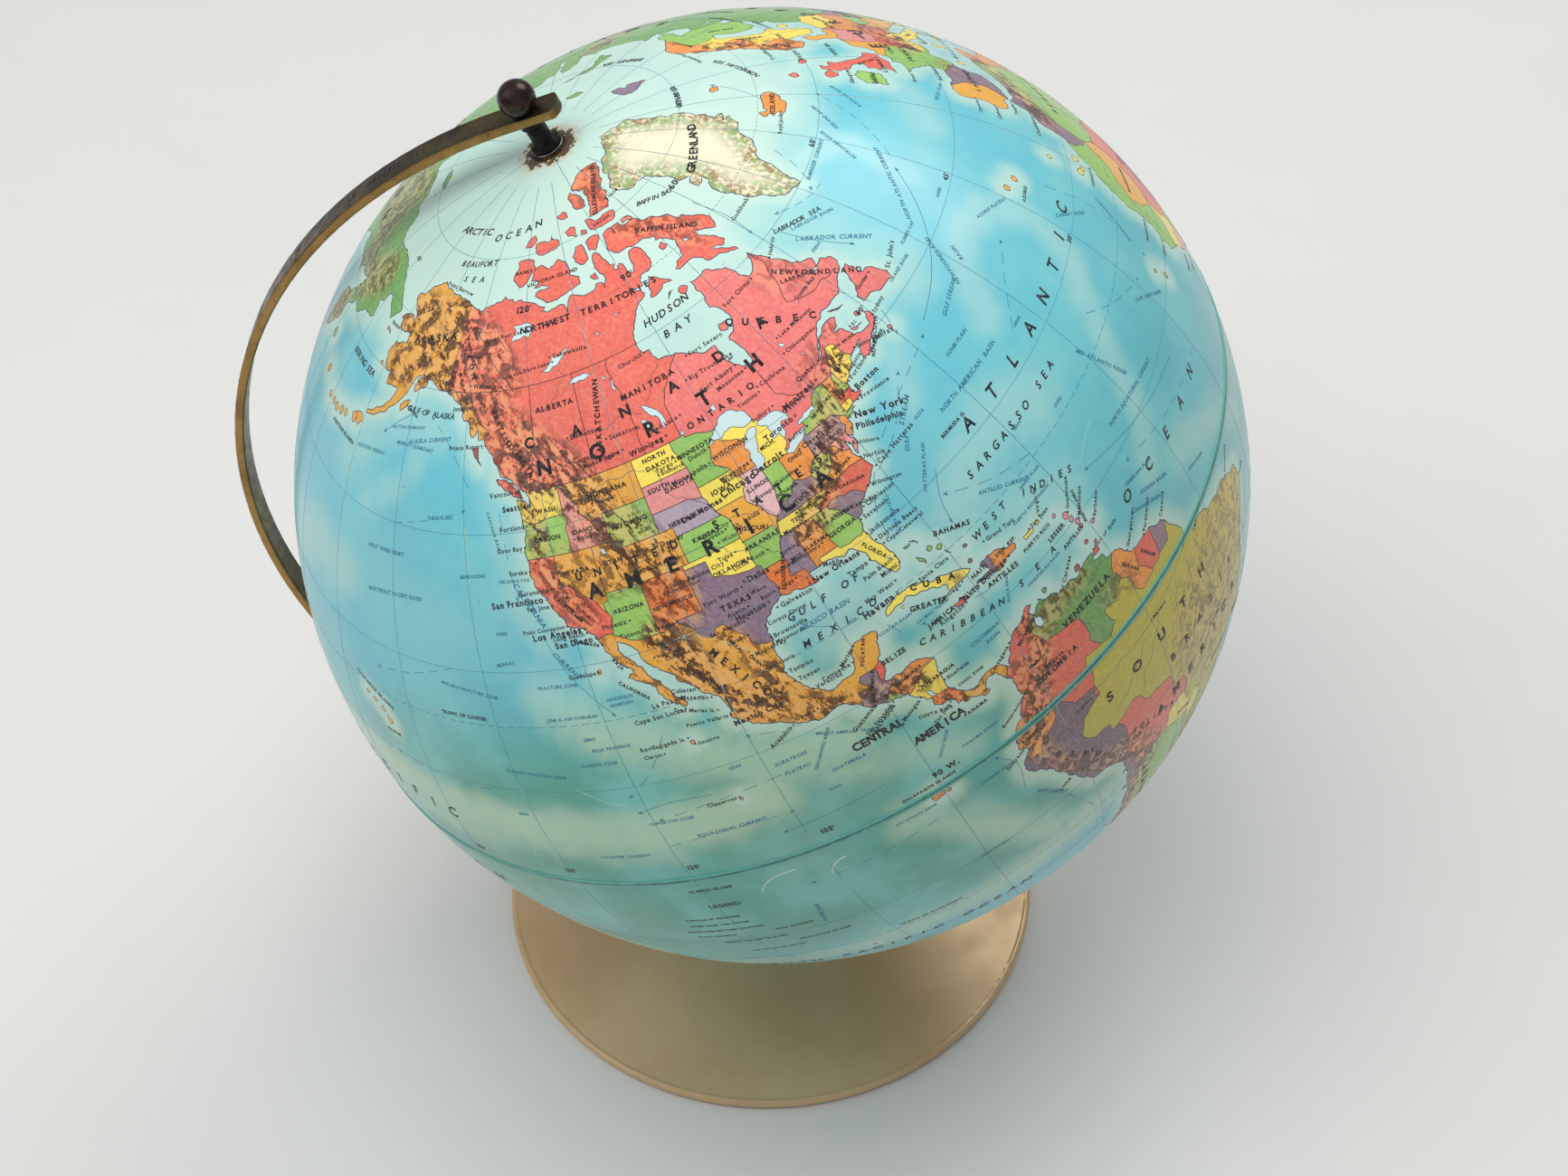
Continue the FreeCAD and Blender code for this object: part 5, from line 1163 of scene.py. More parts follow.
# Towns: the name, the place, then its angle, the side of the mark it stands on (l, r) and its height in mm.
CITIES = """
San Francisco;-122.5 37.7;0 l 1.4
Los Angeles;-118.3 33.9;0 l 1.4
San Diego;-117.2 32.7;0 l 1.3
Sacramento;-121.5 38.6;0 l 1
Long Beach;-118.2 33.4;0 l 1
San Jose;-122 36.9;0 l 1
Eureka;-124.2 40.8;0 l 1
Coos Bay;-124.3 43.3;0 l 1
Portland;-123.4 45.5;0 l 1.1
Seattle;-122.4 47.6;0 l 1.2
Vancouver;-123.2 49.2;0 l 1.1
Ensenada;-116.7 31.8;-20 l 1
Point Conception;-120.6 34.5;0 l .9
Guadalupe;-118.4 29;0 l 1
Boise;-116.2 43.2;0 r 1
Helena;-112 46.3;0 r 1
Bismarck;-100.8 46.5;0 r .9
Fargo;-97.6 47;0 l 1
Denver;-105 39.9;0 r 1.1
Phoenix;-112.1 33.6;0 l 1.1
Tucson;-111 32.2;0 l 1
El Paso;-106.4 31.9;0 l 1
Santa Fe;-106 35.6;0 r 1
Albuquerque;-106.6 35.1;0 r .9
Dallas;-96.8 32.9;0 r 1.2
Fort Worth;-97.4 32.5;0 l 1
Houston;-95.4 29.8;0 l 1.2
Austin;-97.8 30.4;0 l 1
Waco;-97.2 31.5;0 r .9
San Antonio;-98.5 29.3;0 l 1
Laredo;-99.4 27.7;0 l .9
Galveston;-94.8 28.9;0 r 1.1
Corpus Christi;-97.1 27.8;0 r .9
Brownsville;-97.2 26.4;0 r 1
Matamoros;-97.3 25.7;0 r .9
New Orleans;-90.1 29.4;0 r 1.2
Baton Rouge;-91.2 30.6;0 l .9
Kansas City;-94.6 39;0 l .9
Topeka;-95.7 38.5;0 l .9
Wichita;-97.3 37.6;0 r .9
St. Louis;-90.3 38.4;0 l 1.1
Des Moines;-93.7 41.4;0 l 1.2
Minneapolis;-93.3 45.2;0 l 1.1
Duluth;-92.2 46.6;0 l 1
Milwaukee;-88 43.2;0 l 1
Madison;-89.4 42.8;0 l .9
Chicago;-87.9 41.9;0 l 1.5
Detroit;-83.2 42.1;0 l 1.4
Cleveland;-81.7 41.3;0 r 1.1
Buffalo;-78.9 42.7;0 l .9
Toronto;-79.3 44.3;0 l 1.2
Ottawa;-75.8 45.4;0 l 1.1
Montreal;-73.6 45.7;0 l 1.3
Quebec;-71.3 47;0 l 1.1
Boston;-70.8 42.3;0 r 1.3
Portland;-70.2 43.3;12 r 1
Augusta;-69.8 44;12 r .9
Providence;-71.1 41.3;-8 r 1
New York;-73.6 40.6;-24 r 1.5
Philadelphia;-74.4 39.6;-24 r 1.3
Baltimore;-76 38.6;-30 r .9
Washington;-77 38.8;0 l 1
Norfolk;-76 36.8;-26 r .9
Cape Hatteras;-75.2 35.1;8 r 1.1
Wilmington;-77.6 34.1;-20 r .9
Charleston;-79.6 32.7;0 r 1
Savannah;-80.8 31.8;0 r 1
Jacksonville;-81.3 30.3;0 r 1
Daytona Beach;-80.8 29.2;0 r 1
Cape Canaveral;-80.3 28.4;0 r .9
Palm Beach;-80.2 26.6;0 l 1
Miami;-80.2 25.8;0 l 1.1
Key West;-81.8 24.5;0 l 1
Tampa;-82.8 27.9;0 l 1.1
Atlanta;-84.4 33.6;0 r 1.1
Birmingham;-86.9 33.6;0 l .9
Montgomery;-86.3 32.2;0 l .8
Mobile;-88 30.4;-20 r 1
Jackson;-90.2 32.2;0 l .9
Memphis;-90 35.1;0 r 1
Nashville;-86.8 36.2;0 r .9
Little Rock;-92.3 34.6;0 l 1
Tulsa;-96 36;0 l 1
Oklahoma City;-97.5 35.6;0 l 1
Indianapolis;-86.2 39.7;0 l .9
Columbus;-83 39.9;0 l .9
Pittsburgh;-80 40.4;0 r .9
Winnipeg;-97.2 49.8;0 l 1.2
Regina;-104.6 50.4;0 l 1.1
Moose Jaw;-105.6 50.3;0 l 1
Saskatoon;-106.7 52.1;0 r 1
Calgary;-114.1 51;0 r 1.1
Edmonton;-113.5 53.5;0 r 1.1
Prince Rupert;-130.3 54.3;0 l 1
Churchill;-94.1 58.7;0 l 1
Fort Severn;-87.6 56;0 r 1
Fort Albany;-81.7 52.2;0 l 1
Moosonee;-80.6 51.3;0 l 1
Cochrane;-81 49;0 r 1
Red Lake;-93.7 51;0 l 1
Big Trout Lake;-89.9 53.8;0 r 1
Timmins;-81.3 48.5;0 l .9
Sudbury;-81 46.5;0 l .9
Fort Chimo;-68.4 58.1;0 l 1
Chibougamau;-74.3 49.9;0 r .9
Lake Mistassini;-73.4 51.6;0 r .9
Halifax;-63.6 44.6;-20 r 1.1
Saint John;-66 45.3;-20 r .9
St. John's;-52.7 47.5;20 r 1.1
Gander;-54.6 49;0 l .9
Sydney;-60.2 46.1;10 r .9
Shelburne;-65.3 43.7;16 r .9
Goose Bay;-60.3 53.3;0 l .9
Hebron;-62.6 58.2;30 r .9
Great Bear Lake;-119.6 66.1;0 l .9
Great Slave Lake;-113.8 61.9;0 l .9
Yellowknife;-114.4 62.5;0 r 1
Whitehorse;-135 60.7;0 r 1
Dawson;-139.4 64;0 r 1
Fairbanks;-147.7 64.8;0 l 1
Anchorage;-149.9 61.2;0 r 1.1
Juneau;-134.4 58.3;0 l 1
Nome;-165.4 64.5;0 l 1
Point Barrow;-156.5 71.4;0 r 1
Kodiak;-152.4 57.6;-20 r .9
Godthaab;-51.7 64.2;0 l 1
Thule;-69.2 77.4;0 l 1
Reykjavik;-21.9 64.1;0 l 1
Havana;-82.4 23.3;0 l 1.5
Santa Clara;-80 22.9;0 r 1
Santiago;-75.8 19.7;0 l 1
Kingston;-76.8 17.6;0 l 1.1
Port-au-Prince;-72.4 18.4;0 l .9
Santo Domingo;-69.9 18.2;0 l 1.2
San Juan;-66.1 18.6;0 r 1
Grand Turk;-71.1 21.4;-10 r 1
Virgin Is.;-64.2 18.7;60 r .9
Guadeloupe;-61.2 16.3;50 r .9
Martinique;-60.6 14.7;45 r .9
Barbados;-59.2 13.1;40 r .9
Port of Spain;-61.5 10.8;0 r .9
Hermosillo;-110.9 29.1;0 r .9
Chihuahua;-106.1 28.6;0 l .9
Culiacan;-107.5 24.4;-12 l 1
La Paz;-110.6 24;0 l 1.1
Mazatlan;-106.6 23;-20 l 1
Tres Marias Is.;-106.6 21.4;-20 l .9
Puerto Vallarta;-105.5 20.4;-6 l .9
Cape San Lucas;-110 22.7;0 l 1.1
Revillagigedo Is.;-111.3 19.4;0 l 1
Socorro;-110.8 18.5;0 r .9
Clarion;-114.7 18.3;0 l .9
Clipperton;-109.3 10.6;0 l 1
Guadalajara;-103.3 20.6;0 r .9
Mexico City;-99.2 19.4;0 l 1.3
Monterrey;-100.1 25.5;0 r 1
Victoria;-98.9 23.6;0 r .9
Tampico;-97.7 22.2;0 r 1
Tuxpan;-97.2 21;0 r 1
Veracruz;-96 19.3;0 r 1
Acapulco;-99.9 16.6;24 l 1.1
Oaxaca;-96.7 17;0 l .9
Merida;-89.8 21.2;30 l 1
Campeche;-90.8 19.7;0 l 1
Guatemala;-90.8 14.3;24 l 1.1
San Salvador;-89.4 13.3;24 l 1
Managua;-86.7 11.9;24 l 1
Bluefields;-83.5 12;0 r .9
San Jose;-84.3 9.3;24 l .9
Cartagena;-75.6 10.5;24 l 1
Maracaibo;-71.5 10.9;24 l 1
Caracas;-67 10.8;36 r 1.1
Bogota;-74.1 4.7;0 r 1.1
Medellin;-75.6 6.2;0 r .9
Cali;-76.5 3.3;0 r .9
Buenaventura;-77.2 3.9;24 l .9
Quito;-78.5 -.2;24 l 1.1
Guayaquil;-80 -2.2;24 l 1
Iquitos;-73.2 -3.7;0 r .9
Manaus;-60 -3;0 r 1.1
Lima;-77.1 -12;24 l 1.2
Georgetown;-58.1 6.9;36 r 1
Paramaribo;-55.2 6.1;36 r 1
Cayenne;-52.2 5;36 r 1
Belem;-48.4 -1.3;36 r 1
Fortaleza;-38.5 -3.6;36 r 1
Recife;-34.8 -8;0 r 1
Rio de Janeiro;-43.2 -23;-30 r 1.1
Sao Paulo;-46.6 -23.5;0 l 1.1
Brasilia;-47.9 -15.8;0 l 1.1
La Paz;-68.1 -16.5;0 r 1.1
Santiago;-70.7 -33.4;0 l 1.1
Buenos Aires;-58.5 -34.7;0 l 1.1
London;-.2 51.5;0 l 1.2
Dublin;-6.3 53.3;0 l 1
Paris;2.3 48.8;0 r 1.2
Madrid;-3.7 40.4;0 r 1.1
Lisbon;-9.2 38.7;0 l 1.1
Oporto;-8.7 41.1;0 l 1
Brest;-4.6 48.3;0 l 1
Bordeaux;-.7 44.8;0 l 1
Glasgow;-4.9 55.9;0 l 1
Bergen;5.2 60.4;0 l 1.1
Oslo;10.7 59.9;0 r 1.1
Trondheim;9.8 63.4;0 l 1
Hammerfest;23.5 70.8;0 l 1
Stockholm;18.1 59.3;0 r 1.1
Berlin;13.4 52.5;0 r 1.1
Rome;12.5 41.9;0 l 1.1
Athens;23.7 38;0 r 1
Istanbul;29 41;0 r 1
Moscow;37.6 55.8;0 r 1.3
Leningrad;30.3 59.9;0 r 1.1
Murmansk;33 69;0 l 1
Casablanca;-7.7 33.6;0 l 1.1
Tangier;-6.1 35.9;0 l 1
Dakar;-17.6 14.7;0 l 1.1
Nouakchott;-16.2 18.1;0 l 1
Freetown;-13.3 8.5;0 l 1
Monrovia;-10.9 6.3;0 l 1
Lagos;3.4 6.3;0 l 1
Cairo;31.3 30;0 r 1.2
Cape Town;18.3 -33.9;0 l 1.1
Nairobi;36.8 -1.3;0 r 1
Bombay;72.7 19;0 l 1.1
Calcutta;88.4 22.6;0 l 1
Delhi;77.2 28.6;0 r 1.1
Peking;116.4 39.9;0 l 1.2
Shanghai;121.6 31.2;0 r 1.1
Hong Kong;114.2 22.2;0 r 1
Tokyo;140 35.7;0 r 1.2
Manila;120.9 14.6;0 l 1
Saigon;106.9 10.6;0 r 1
Singapore;103.9 1.2;0 r 1
Sydney;151.3 -33.9;0 r 1.2
Melbourne;145 -38;0 l 1
Perth;115.7 -32;0 l 1.1
Darwin;130.9 -12.4;0 r 1
Auckland;174.8 -36.9;0 l 1
"""

# Rivers: the line of each.
RIVERS = """
-94.6 45.3 -93.2 44.8 -91 43 -90.4 41 -91 39.8 -90.3 38.6 -89.3 37 -90.2 34.8 -91.2 32.5 -91.3 31 -90 29.6
-112 46.5 -110.5 47.7 -107 47.8 -104 48 -101.2 47.2 -100.6 44.6 -98 42.8 -96 41.2 -94.6 39.2 -92 38.6
 -90.3 38.7
-80 40.5 -81.8 39 -84.5 39 -86.3 38 -88.2 37.4 -89.2 37
-105.7 39.8 -109 38.6 -111 36.8 -114 36.1 -114.5 34 -114.8 32
-106.5 37.6 -106.6 34 -106.4 31.9
-118.2 49 -117.9 47.8 -119.8 46.2 -121.5 45.6 -123.9 46.2
-103.5 38 -98.5 38 -96 36 -92.5 34.7 -91.2 33.9
-121.5 61.5 -124 64 -128 65.5 -130 67.3 -135 69
-135.3 61 -139.5 64.3 -146 66.5 -152 65.2 -157.5 64.6 -161 62.5 -164 62.8
-115 53.3 -110 53.8 -106 53 -101.3 53.9 -99.3 53
-98 54 -95 56.3 -92.8 57
-118 57 -114 58.3 -111.3 59.8 -113 60.9
-76 44.6 -73.6 45.6 -71.3 46.8
-84.5 52 -82 52.3
-76.5 52 -79 52.3
-66.5 52.6 -61 53.2
-77 -4.7 -73 -3.7 -69.5 -3.3 -64.5 -3.2 -60 -3.2 -56 -2.2 -52 -1.2 -50.3 -.2
-66.8 3 -67.6 6.2 -65 7.9 -61.5 8.9
-75.5 2 -74.8 6.5 -74 9 -74.8 11
-69 -9 -65 -6.5 -61.8 -4
-65 -10.4 -61.5 -6.5 -58.8 -3.4
-57 -8 -55.5 -4.5 -54.6 -2.5
-52 -12 -52.5 -7 -51.8 -2
-49 -15 -49.2 -10 -48.3 -5.5 -49.2 -2
-58 -20 -57.6 -25.3 -58.7 -28.5 -60.6 -33 -58.5 -34.2
3 15 0 16.7 -4.5 14.3 -8 12
6 5 5.5 9 4 12.5 3 15
12.5 -6 16.5 -3 21 2 25 0 27 -8
31 31 31.3 28.5 33 24 31 19.5 33.5 17.8 32.5 13 31.5 8 31.8 2
36 -18.7 31 -16 27 -17.7 23 -16 23 -12
48 46 45 48.6 49 53 46 56 40 57
30 46.5 27 44 20 45 17 48 11 48.7
8 48 8 50 6 51.8
72.5 66 68 64 69 60 75 59 82 56 84 52.5
82 70 86.5 66 89 61 92 56
127 72 125 67 129 63.5 122 60.5 108 56
90 22.5 84 25.6 78 29
92 24 94 27.8 85 29.2
68 24 70 29 74 34 78 33
121.5 31.6 116 30 110 30.5 105 29 99 28
118.5 37.6 114 35 110.5 37 110 40 106 37 101 35.5
106 10 105 15 101 18 99 26
139 -35.5 142 -34 146.5 -36
"""

# Sea currents: the line of each arrow, pointing from its first place to its last.
CURRENTS = """
-79.5 28.5 -78.5 32.5 -74 36.3 -66 39 -58 40.6
-75.3 34.6 -70 36.4 -64.5 40.2
-56 41.5 -48 43.5 -40 47 -33 51
-30 52 -22 56 -15 60
-60 24 -66 25.5 -71 28
-35 13 -45 14.5 -56 17.5
-30 9 -40 10.5 -51 13.5
-24 34 -22 27 -24 19
-57 60 -55 56 -51.5 52
-42 58 -47 58.5 -53 60.5
-36 64 -40 60.5 -44 58.7
-60.5 69 -59 65 -60 61.5
-74 17 -78 17.8 -82 18.8
-84.5 19.5 -86 22.5 -85.5 24.5
-90 24 -93 25.5 -94 27
-40 26 -35 22.5 -29 20
-128 47 -127.5 42 -127 38
-124.6 34 -122.4 29 -118.5 24
-114 20.5 -117 16.5 -121 13.8
-104 11.5 -112 11 -119 10
-95 4.5 -101 4.2 -107 4
-120 6 -112 6.8 -105 6.4
-99 16.2 -102 16.6 -105 17.4
-112 11.9 -117 12.3 -121 11.4
-150 45 -142 46.2 -135 47.5
-134 50 -138.5 54.5 -144 57
-146 57.8 -152 56.4 -157 54
-140 30 -148 28 -155 27
-140 14.5 -148 14.5 -156 15
-82.5 -8 -81.5 -3.5 -83.5 -1
-76 -22 -78 -16 -80.5 -11
-92 -4 -100 -5 -108 -5.5
-70 30.5 -72 28 -72.5 25.5
-49 33 -44 36 -38 38
-61 51 -58 46.8 -60 43
-17 66 -12 68 -6 71
-40 -8 -36.5 -14 -38 -22
-30 -18 -20 -13 -10 -10
-50 -40 -40 -42 -30 -43
10 -28 9 -20 6 -12
60 -15 70 -13 80 -13
80 -38 90 -37 100 -36
135 20 138 27 142 32
150 36 160 38 170 40
-170 -12 -178 -14 174 -16
155 -25 156 -30 155 -35
0 -50 15 -50 30 -48
-120 -52 -105 -53 -90 -54
"""


# Working the map out as a mesh --------------------------------------------------------------------

GRID_STEP = 0.85                 # degrees between the mesh's own points
COAST_STEP = 0.5                 # longest run of a coast, in degrees
COAST_SWAY = 0.17                # its sideways wander, as a share of a run
BORDER_STEP = 0.9
BORDER_SWAY = 0.1
MIDWAY_SWAY = 0.16
RIBBON_ROOT = 0.02 * MM          # how deep a drawn line is rooted in the paper
RULED = 0.02                     # degrees: a run this near a parallel or a meridian stays straight
ON_RIM = 89.98                   # degrees from the pole past which a point is on the cut edge
FAR_SIDE = 92.0                  # outlines that stay past this belong to the other half alone
HOLE = math.degrees(math.asin(FERRULE_R / MAP_R))   # the hole's radius in degrees
HOLE_POINTS = 48
RIM_POINTS = 720                 # round the cut edge at the equator
INNER_POINTS = 40                # round each ring of the plain inside
RIM_REACH = 1.5                  # degrees of each outline kept past the rim
LAND_KIND = 1.0
SEA_KIND = 0.0
LAKE_KIND = 0.5
INSIDE_KIND = -1.0               # the unprinted faces


def unit_circle(count):
    turn = np.linspace(0, 2 * math.pi, count, endpoint=False)
    return np.stack([np.cos(turn), np.sin(turn)], -1)


def rings(data):
    """Every closed outline of a table, wandering like a coast."""
    return {name: wander(pairs(text), COAST_STEP, COAST_SWAY, True) for name, text in data.items()}


def wander(points, step, sway, closed=False):
    """A line with more points, each set off sideways at random, until no run is longer than step."""
    points = np.asarray(points, float)
    if closed:
        round_the_pole = 360.0 * np.sign(np.round((points[-1, 0] - points[0, 0]) / 360))
        points = np.vstack([points, points[:1] + [round_the_pole, 0]])
    while True:
        run = np.diff(points, axis=0)
        squeeze = np.cos(np.radians((points[1:, 1] + points[:-1, 1]) / 2))
        long = np.where(np.hypot(run[:, 0] * squeeze, run[:, 1]) > step)[0]
        if not len(long):
            return points[:-1] if closed else points
        run, squeeze = run[long], squeeze[long]
        straight = np.abs(run).min(axis=1) < RULED
        off = np.where(straight, 0, RNG.uniform(-sway, sway, len(long)))[:, None]
        middle = points[long] + run / 2 + off * np.stack([-run[:, 1] / squeeze, run[:, 0] * squeeze], -1)
        points = np.insert(points, long + 1, middle, axis=0)


def overshot(line, by=0.3):
    """The line drawn on a little past both ends, so that it surely meets the lines that it ends at."""
    first, last = line[0] - line[1], line[-1] - line[-2]
    before = line[0] + first / np.hypot(*first) * by
    after = line[-1] + last / np.hypot(*last) * by
    return np.vstack([before, line, after])


def circle(lon, lat, r, count=9):
    """A small wobbly island."""
    x, y = unit_circle(count).T
    far = r * RNG.uniform(0.75, 1.25, count)
    return np.stack([lon + far * x / math.cos(math.radians(lat)), lat + far * y], -1)


def to_plane(points, pole):
    """The map seen from a pole: distance from it in degrees, and longitude."""
    away, turn = 90 - pole * points[..., 1], np.radians(points[..., 0])
    return np.stack([away * np.cos(turn), away * np.sin(turn)], -1)


def from_plane(points, pole):
    away = np.hypot(points[:, 0], points[:, 1])
    return np.stack([np.degrees(np.arctan2(points[:, 1], points[:, 0])), pole * (90 - away)], -1)


def seeds(text):
    """(region, colour key, place) for each place of a table."""
    found = []
    for line in logical_lines(text):
        name, key, *numbers = line.split()
        found += [(name, key, place) for place in pairs(" ".join(numbers))]
    return found


def in_new_world(line):
    """Whether a line touches the Americas, whose borders are listed one by one."""
    return bool(((line[:, 0] > -169) & (line[:, 0] < -28) & (line[:, 1] > -62)).any())


def midway_borders(places):
    """Borders halfway between the places of neighbouring regions, from the centres of their triangles."""
    points = [Vector(p) for p in to_plane(np.array([p[2] for p in places]), 1)]
    _, _, faces, owners, *_ = delaunay_2d_cdt(points, [], [], 0, 1e-6)
    corner_of = {}
    for face in faces:
        names = [owners[i][0] for i in face]
        ax, ay, bx, by, cx, cy = (c for i in names for c in points[i])
        d = 2 * (ax * (by - cy) + bx * (cy - ay) + cx * (ay - by))
        if abs(d) < 1e-3:
            continue
        a, b, c = ax * ax + ay * ay, bx * bx + by * by, cx * cx + cy * cy
        centre = ((a * (by - cy) + b * (cy - ay) + c * (ay - by)) / d,
                  (a * (cx - bx) + b * (ax - cx) + c * (bx - ax)) / d)
        for i in range(3):
            corner_of.setdefault(frozenset((names[i], names[i - 1])), []).append(centre)
    ends = [c for pair, c in corner_of.items() if len(c) == 2 and len({places[i][0] for i in pair}) == 2]
    lines = [from_plane(np.array(c), 1) for c in ends if max(np.hypot(*c[0]), np.hypot(*c[1])) < 170]
    return [line for line in lines if abs(line[0, 0] - line[1, 0]) < 90 and not in_new_world(line)]


def inside(points, ring):
    """Which points of the plane lie in a ring."""
    a, b = ring, np.roll(ring, -1, axis=0)
    x, y = points[:, 0:1], points[:, 1:2]
    crosses = (a[:, 1] > y) != (b[:, 1] > y)
    with np.errstate(divide="ignore", invalid="ignore"):
        at = a[:, 0] + (y - a[:, 1]) * (b[:, 0] - a[:, 0]) / (b[:, 1] - a[:, 1])
    return (crosses & (x < at)).sum(axis=1) % 2 == 1


def near(points, lines, reach_out, core):
    """For each direction, how strongly the nearest line of a table (half-width in degrees, strength, places)
    reaches it: fully out to core half-widths, then less, and not at all past reach_out half-widths."""
    reach = np.zeros(len(points))
    for line in logical_lines(lines):
        half_width, strength, *places = (float(v) for v in line.split())
        path = wander(np.array(places).reshape(-1, 2), 0.6, 0.05)
        cosine = np.clip((points @ directions(path[:, 0], path[:, 1]).T).max(axis=1), -1, 1)
        gap = np.degrees(np.arccos(cosine))
        reach = np.maximum(reach, strength * smooth(gap, half_width * reach_out, half_width * core))
    return reach


def logical_lines(text):
    """Table lines, with those that start with a space joined to the one before."""
    return text.strip().replace("\n ", " ").splitlines()


LAND_RINGS = rings(LAND)
for island, dot in enumerate(np.array(DOTS.split(), float).reshape(-1, 3)):
    LAND_RINGS[f"dot{island}"] = circle(*dot)
WATER_RINGS = rings(WATER)
OLD_SEEDS = seeds(OLD_WORLD)
SEEDS = seeds(NEW_WORLD) + OLD_SEEDS
BORDER_LINES = [overshot(wander(pairs(line), BORDER_STEP, BORDER_SWAY)) for line in logical_lines(BORDERS)]
BORDER_LINES += [overshot(wander(line, BORDER_STEP, MIDWAY_SWAY)) for line in midway_borders(OLD_SEEDS)]


class Half:
    """One half of the map: its triangles, the region of each, and the drawn lines between regions."""

    def __init__(self, pole):
        self.pole = pole
        self.triangulate()
        self.find_regions()
        self.find_lines()

    def triangulate(self):
        """Triangles between the outlines, the rim and the hole, with points of their own in rings between."""
        points = []
        edges = []

        def add(line, closed):
            start = sum(map(len, points))
            points.append(line)
            edges.extend((start + i, start + i + 1) for i in range(len(line) - 1))
            if closed:
                edges.append((start + len(line) - 1, start))

        add(90 * unit_circle(RIM_POINTS), True)
        add(HOLE * unit_circle(HOLE_POINTS), True)
        tables = (LAND_RINGS.values(), True), (WATER_RINGS.values(), True), (BORDER_LINES, False)
        for table, closed in tables:
            for line in table:
                flat = to_plane(line, self.pole)
                near_side = np.hypot(flat[:, 0], flat[:, 1]) < 90 + RIM_REACH
                if near_side.all():
                    add(flat, closed)
                    continue
                if closed:
                    flat, near_side = np.vstack([flat, flat[:1]]), np.append(near_side, near_side[0])
                keep = np.flatnonzero(near_side)
                for part in np.split(keep, np.flatnonzero(np.diff(keep) > 1) + 1):
                    if len(part) > 1:
                        add(flat[part], False)
        for k, away in enumerate(np.arange(HOLE + GRID_STEP, 90 - GRID_STEP / 2, GRID_STEP)):
            count = max(8, round(360 * math.sin(math.radians(away)) / GRID_STEP))
            turn = (np.arange(count) + 0.5 * (k % 2)) * 2 * math.pi / count
            points.append(away * np.stack([np.cos(turn), np.sin(turn)], -1))
        made = delaunay_2d_cdt([Vector(p) for p in np.vstack(points)], edges, [], 0, 1e-5)
        flat, made_edges, faces, _, sources, _ = made
        flat, faces = without_outside(flat, faces)
        self.walls = {frozenset(e) for e, source in zip(made_edges, sources) if source}
        used = np.unique(faces)
        fresh = np.full(len(flat), -1)
        fresh[used] = np.arange(len(used))
        self.walls = {frozenset(fresh[list(e)]) for e in self.walls}
        self.flat, self.faces = flat[used], fresh[faces]
        away = np.hypot(self.flat[:, 0], self.flat[:, 1])
        on_rim = away > ON_RIM
        self.flat[on_rim] *= (90 / away[on_rim])[:, None]
        self.places = from_plane(self.flat, self.pole)
        self.dirs = directions(self.places[:, 0], self.places[:, 1])

    def find_regions(self):
        """Floods the triangles up to the drawn lines, then names each pool of them."""
        corners = np.sort(self.faces[:, [0, 1, 1, 2, 2, 0]].reshape(-1, 2), axis=1)
        self.edges, which = np.unique(corners, axis=0, return_inverse=True)
        which = which.reshape(-1)
        owners = [[] for _ in self.edges]
        for i, edge in enumerate(which):
            owners[edge].append(i // 3)
        self.edge_faces = owners
        next_to = [[] for _ in self.faces]
        for edge, pair in zip(self.edges.tolist(), owners):
            if len(pair) == 2 and frozenset(edge) not in self.walls:
                next_to[pair[0]].append(pair[1])
                next_to[pair[1]].append(pair[0])
        pool = np.full(len(self.faces), -1)
        count = 0
        for start in range(len(self.faces)):
            if pool[start] >= 0:
                continue
            pool[start], stack = count, [start]
            while stack:
                for other in next_to[stack.pop()]:
                    if pool[other] < 0:
                        pool[other] = count
                        stack.append(other)
            count += 1
        a, b, c = (self.flat[self.faces[:, i]] for i in range(3))
        area = np.abs((b - a)[:, 0] * (c - a)[:, 1] - (b - a)[:, 1] * (c - a)[:, 0])
        order = np.argsort(area)
        largest = np.zeros(count, int)
        largest[pool[order]] = order
        middle = self.flat[self.faces[largest]].mean(axis=1)
        on_land, on_lake = np.zeros(count, bool), np.zeros(count, bool)
        for table, mark in ((LAND_RINGS, on_land), (WATER_RINGS, on_lake)):
            for ring in table.values():
                ring = to_plane(ring, self.pole)
                if np.hypot(ring[:, 0], ring[:, 1]).min() < FAR_SIDE:
                    mark |= inside(middle, ring)
        kinds = np.where(on_land, np.where(on_lake, LAKE_KIND, LAND_KIND), SEA_KIND)
        spots = directions([s[2][0] for s in SEEDS], [s[2][1] for s in SEEDS])
        middle_dirs = directions(*from_plane(middle, self.pole).T)
        region = (middle_dirs @ spots.T).argmax(axis=1)
        for i, (_, _, place) in enumerate(SEEDS):
            if self.pole * place[1] < -1:
                continue
            p = to_plane(place, self.pole)
            sides = [(v[:, 0] - u[:, 0]) * (p[1] - u[:, 1]) - (v[:, 1] - u[:, 1]) * (p[0] - u[:, 0])
                     for u, v in ((a, b), (b, c), (c, a))]
            hit = np.flatnonzero((sides[0] >= 0) & (sides[1] >= 0) & (sides[2] >= 0))
            if len(hit):
                region[pool[hit[0]]] = i
        self.kind = kinds[pool]
        names = {name: i for i, name in enumerate(sorted({s[0] for s in SEEDS}))}
        self.region = np.array([names[SEEDS[i][0]] for i in region])[pool]
        self.key = np.array([SEEDS[i][1] for i in region])[pool]

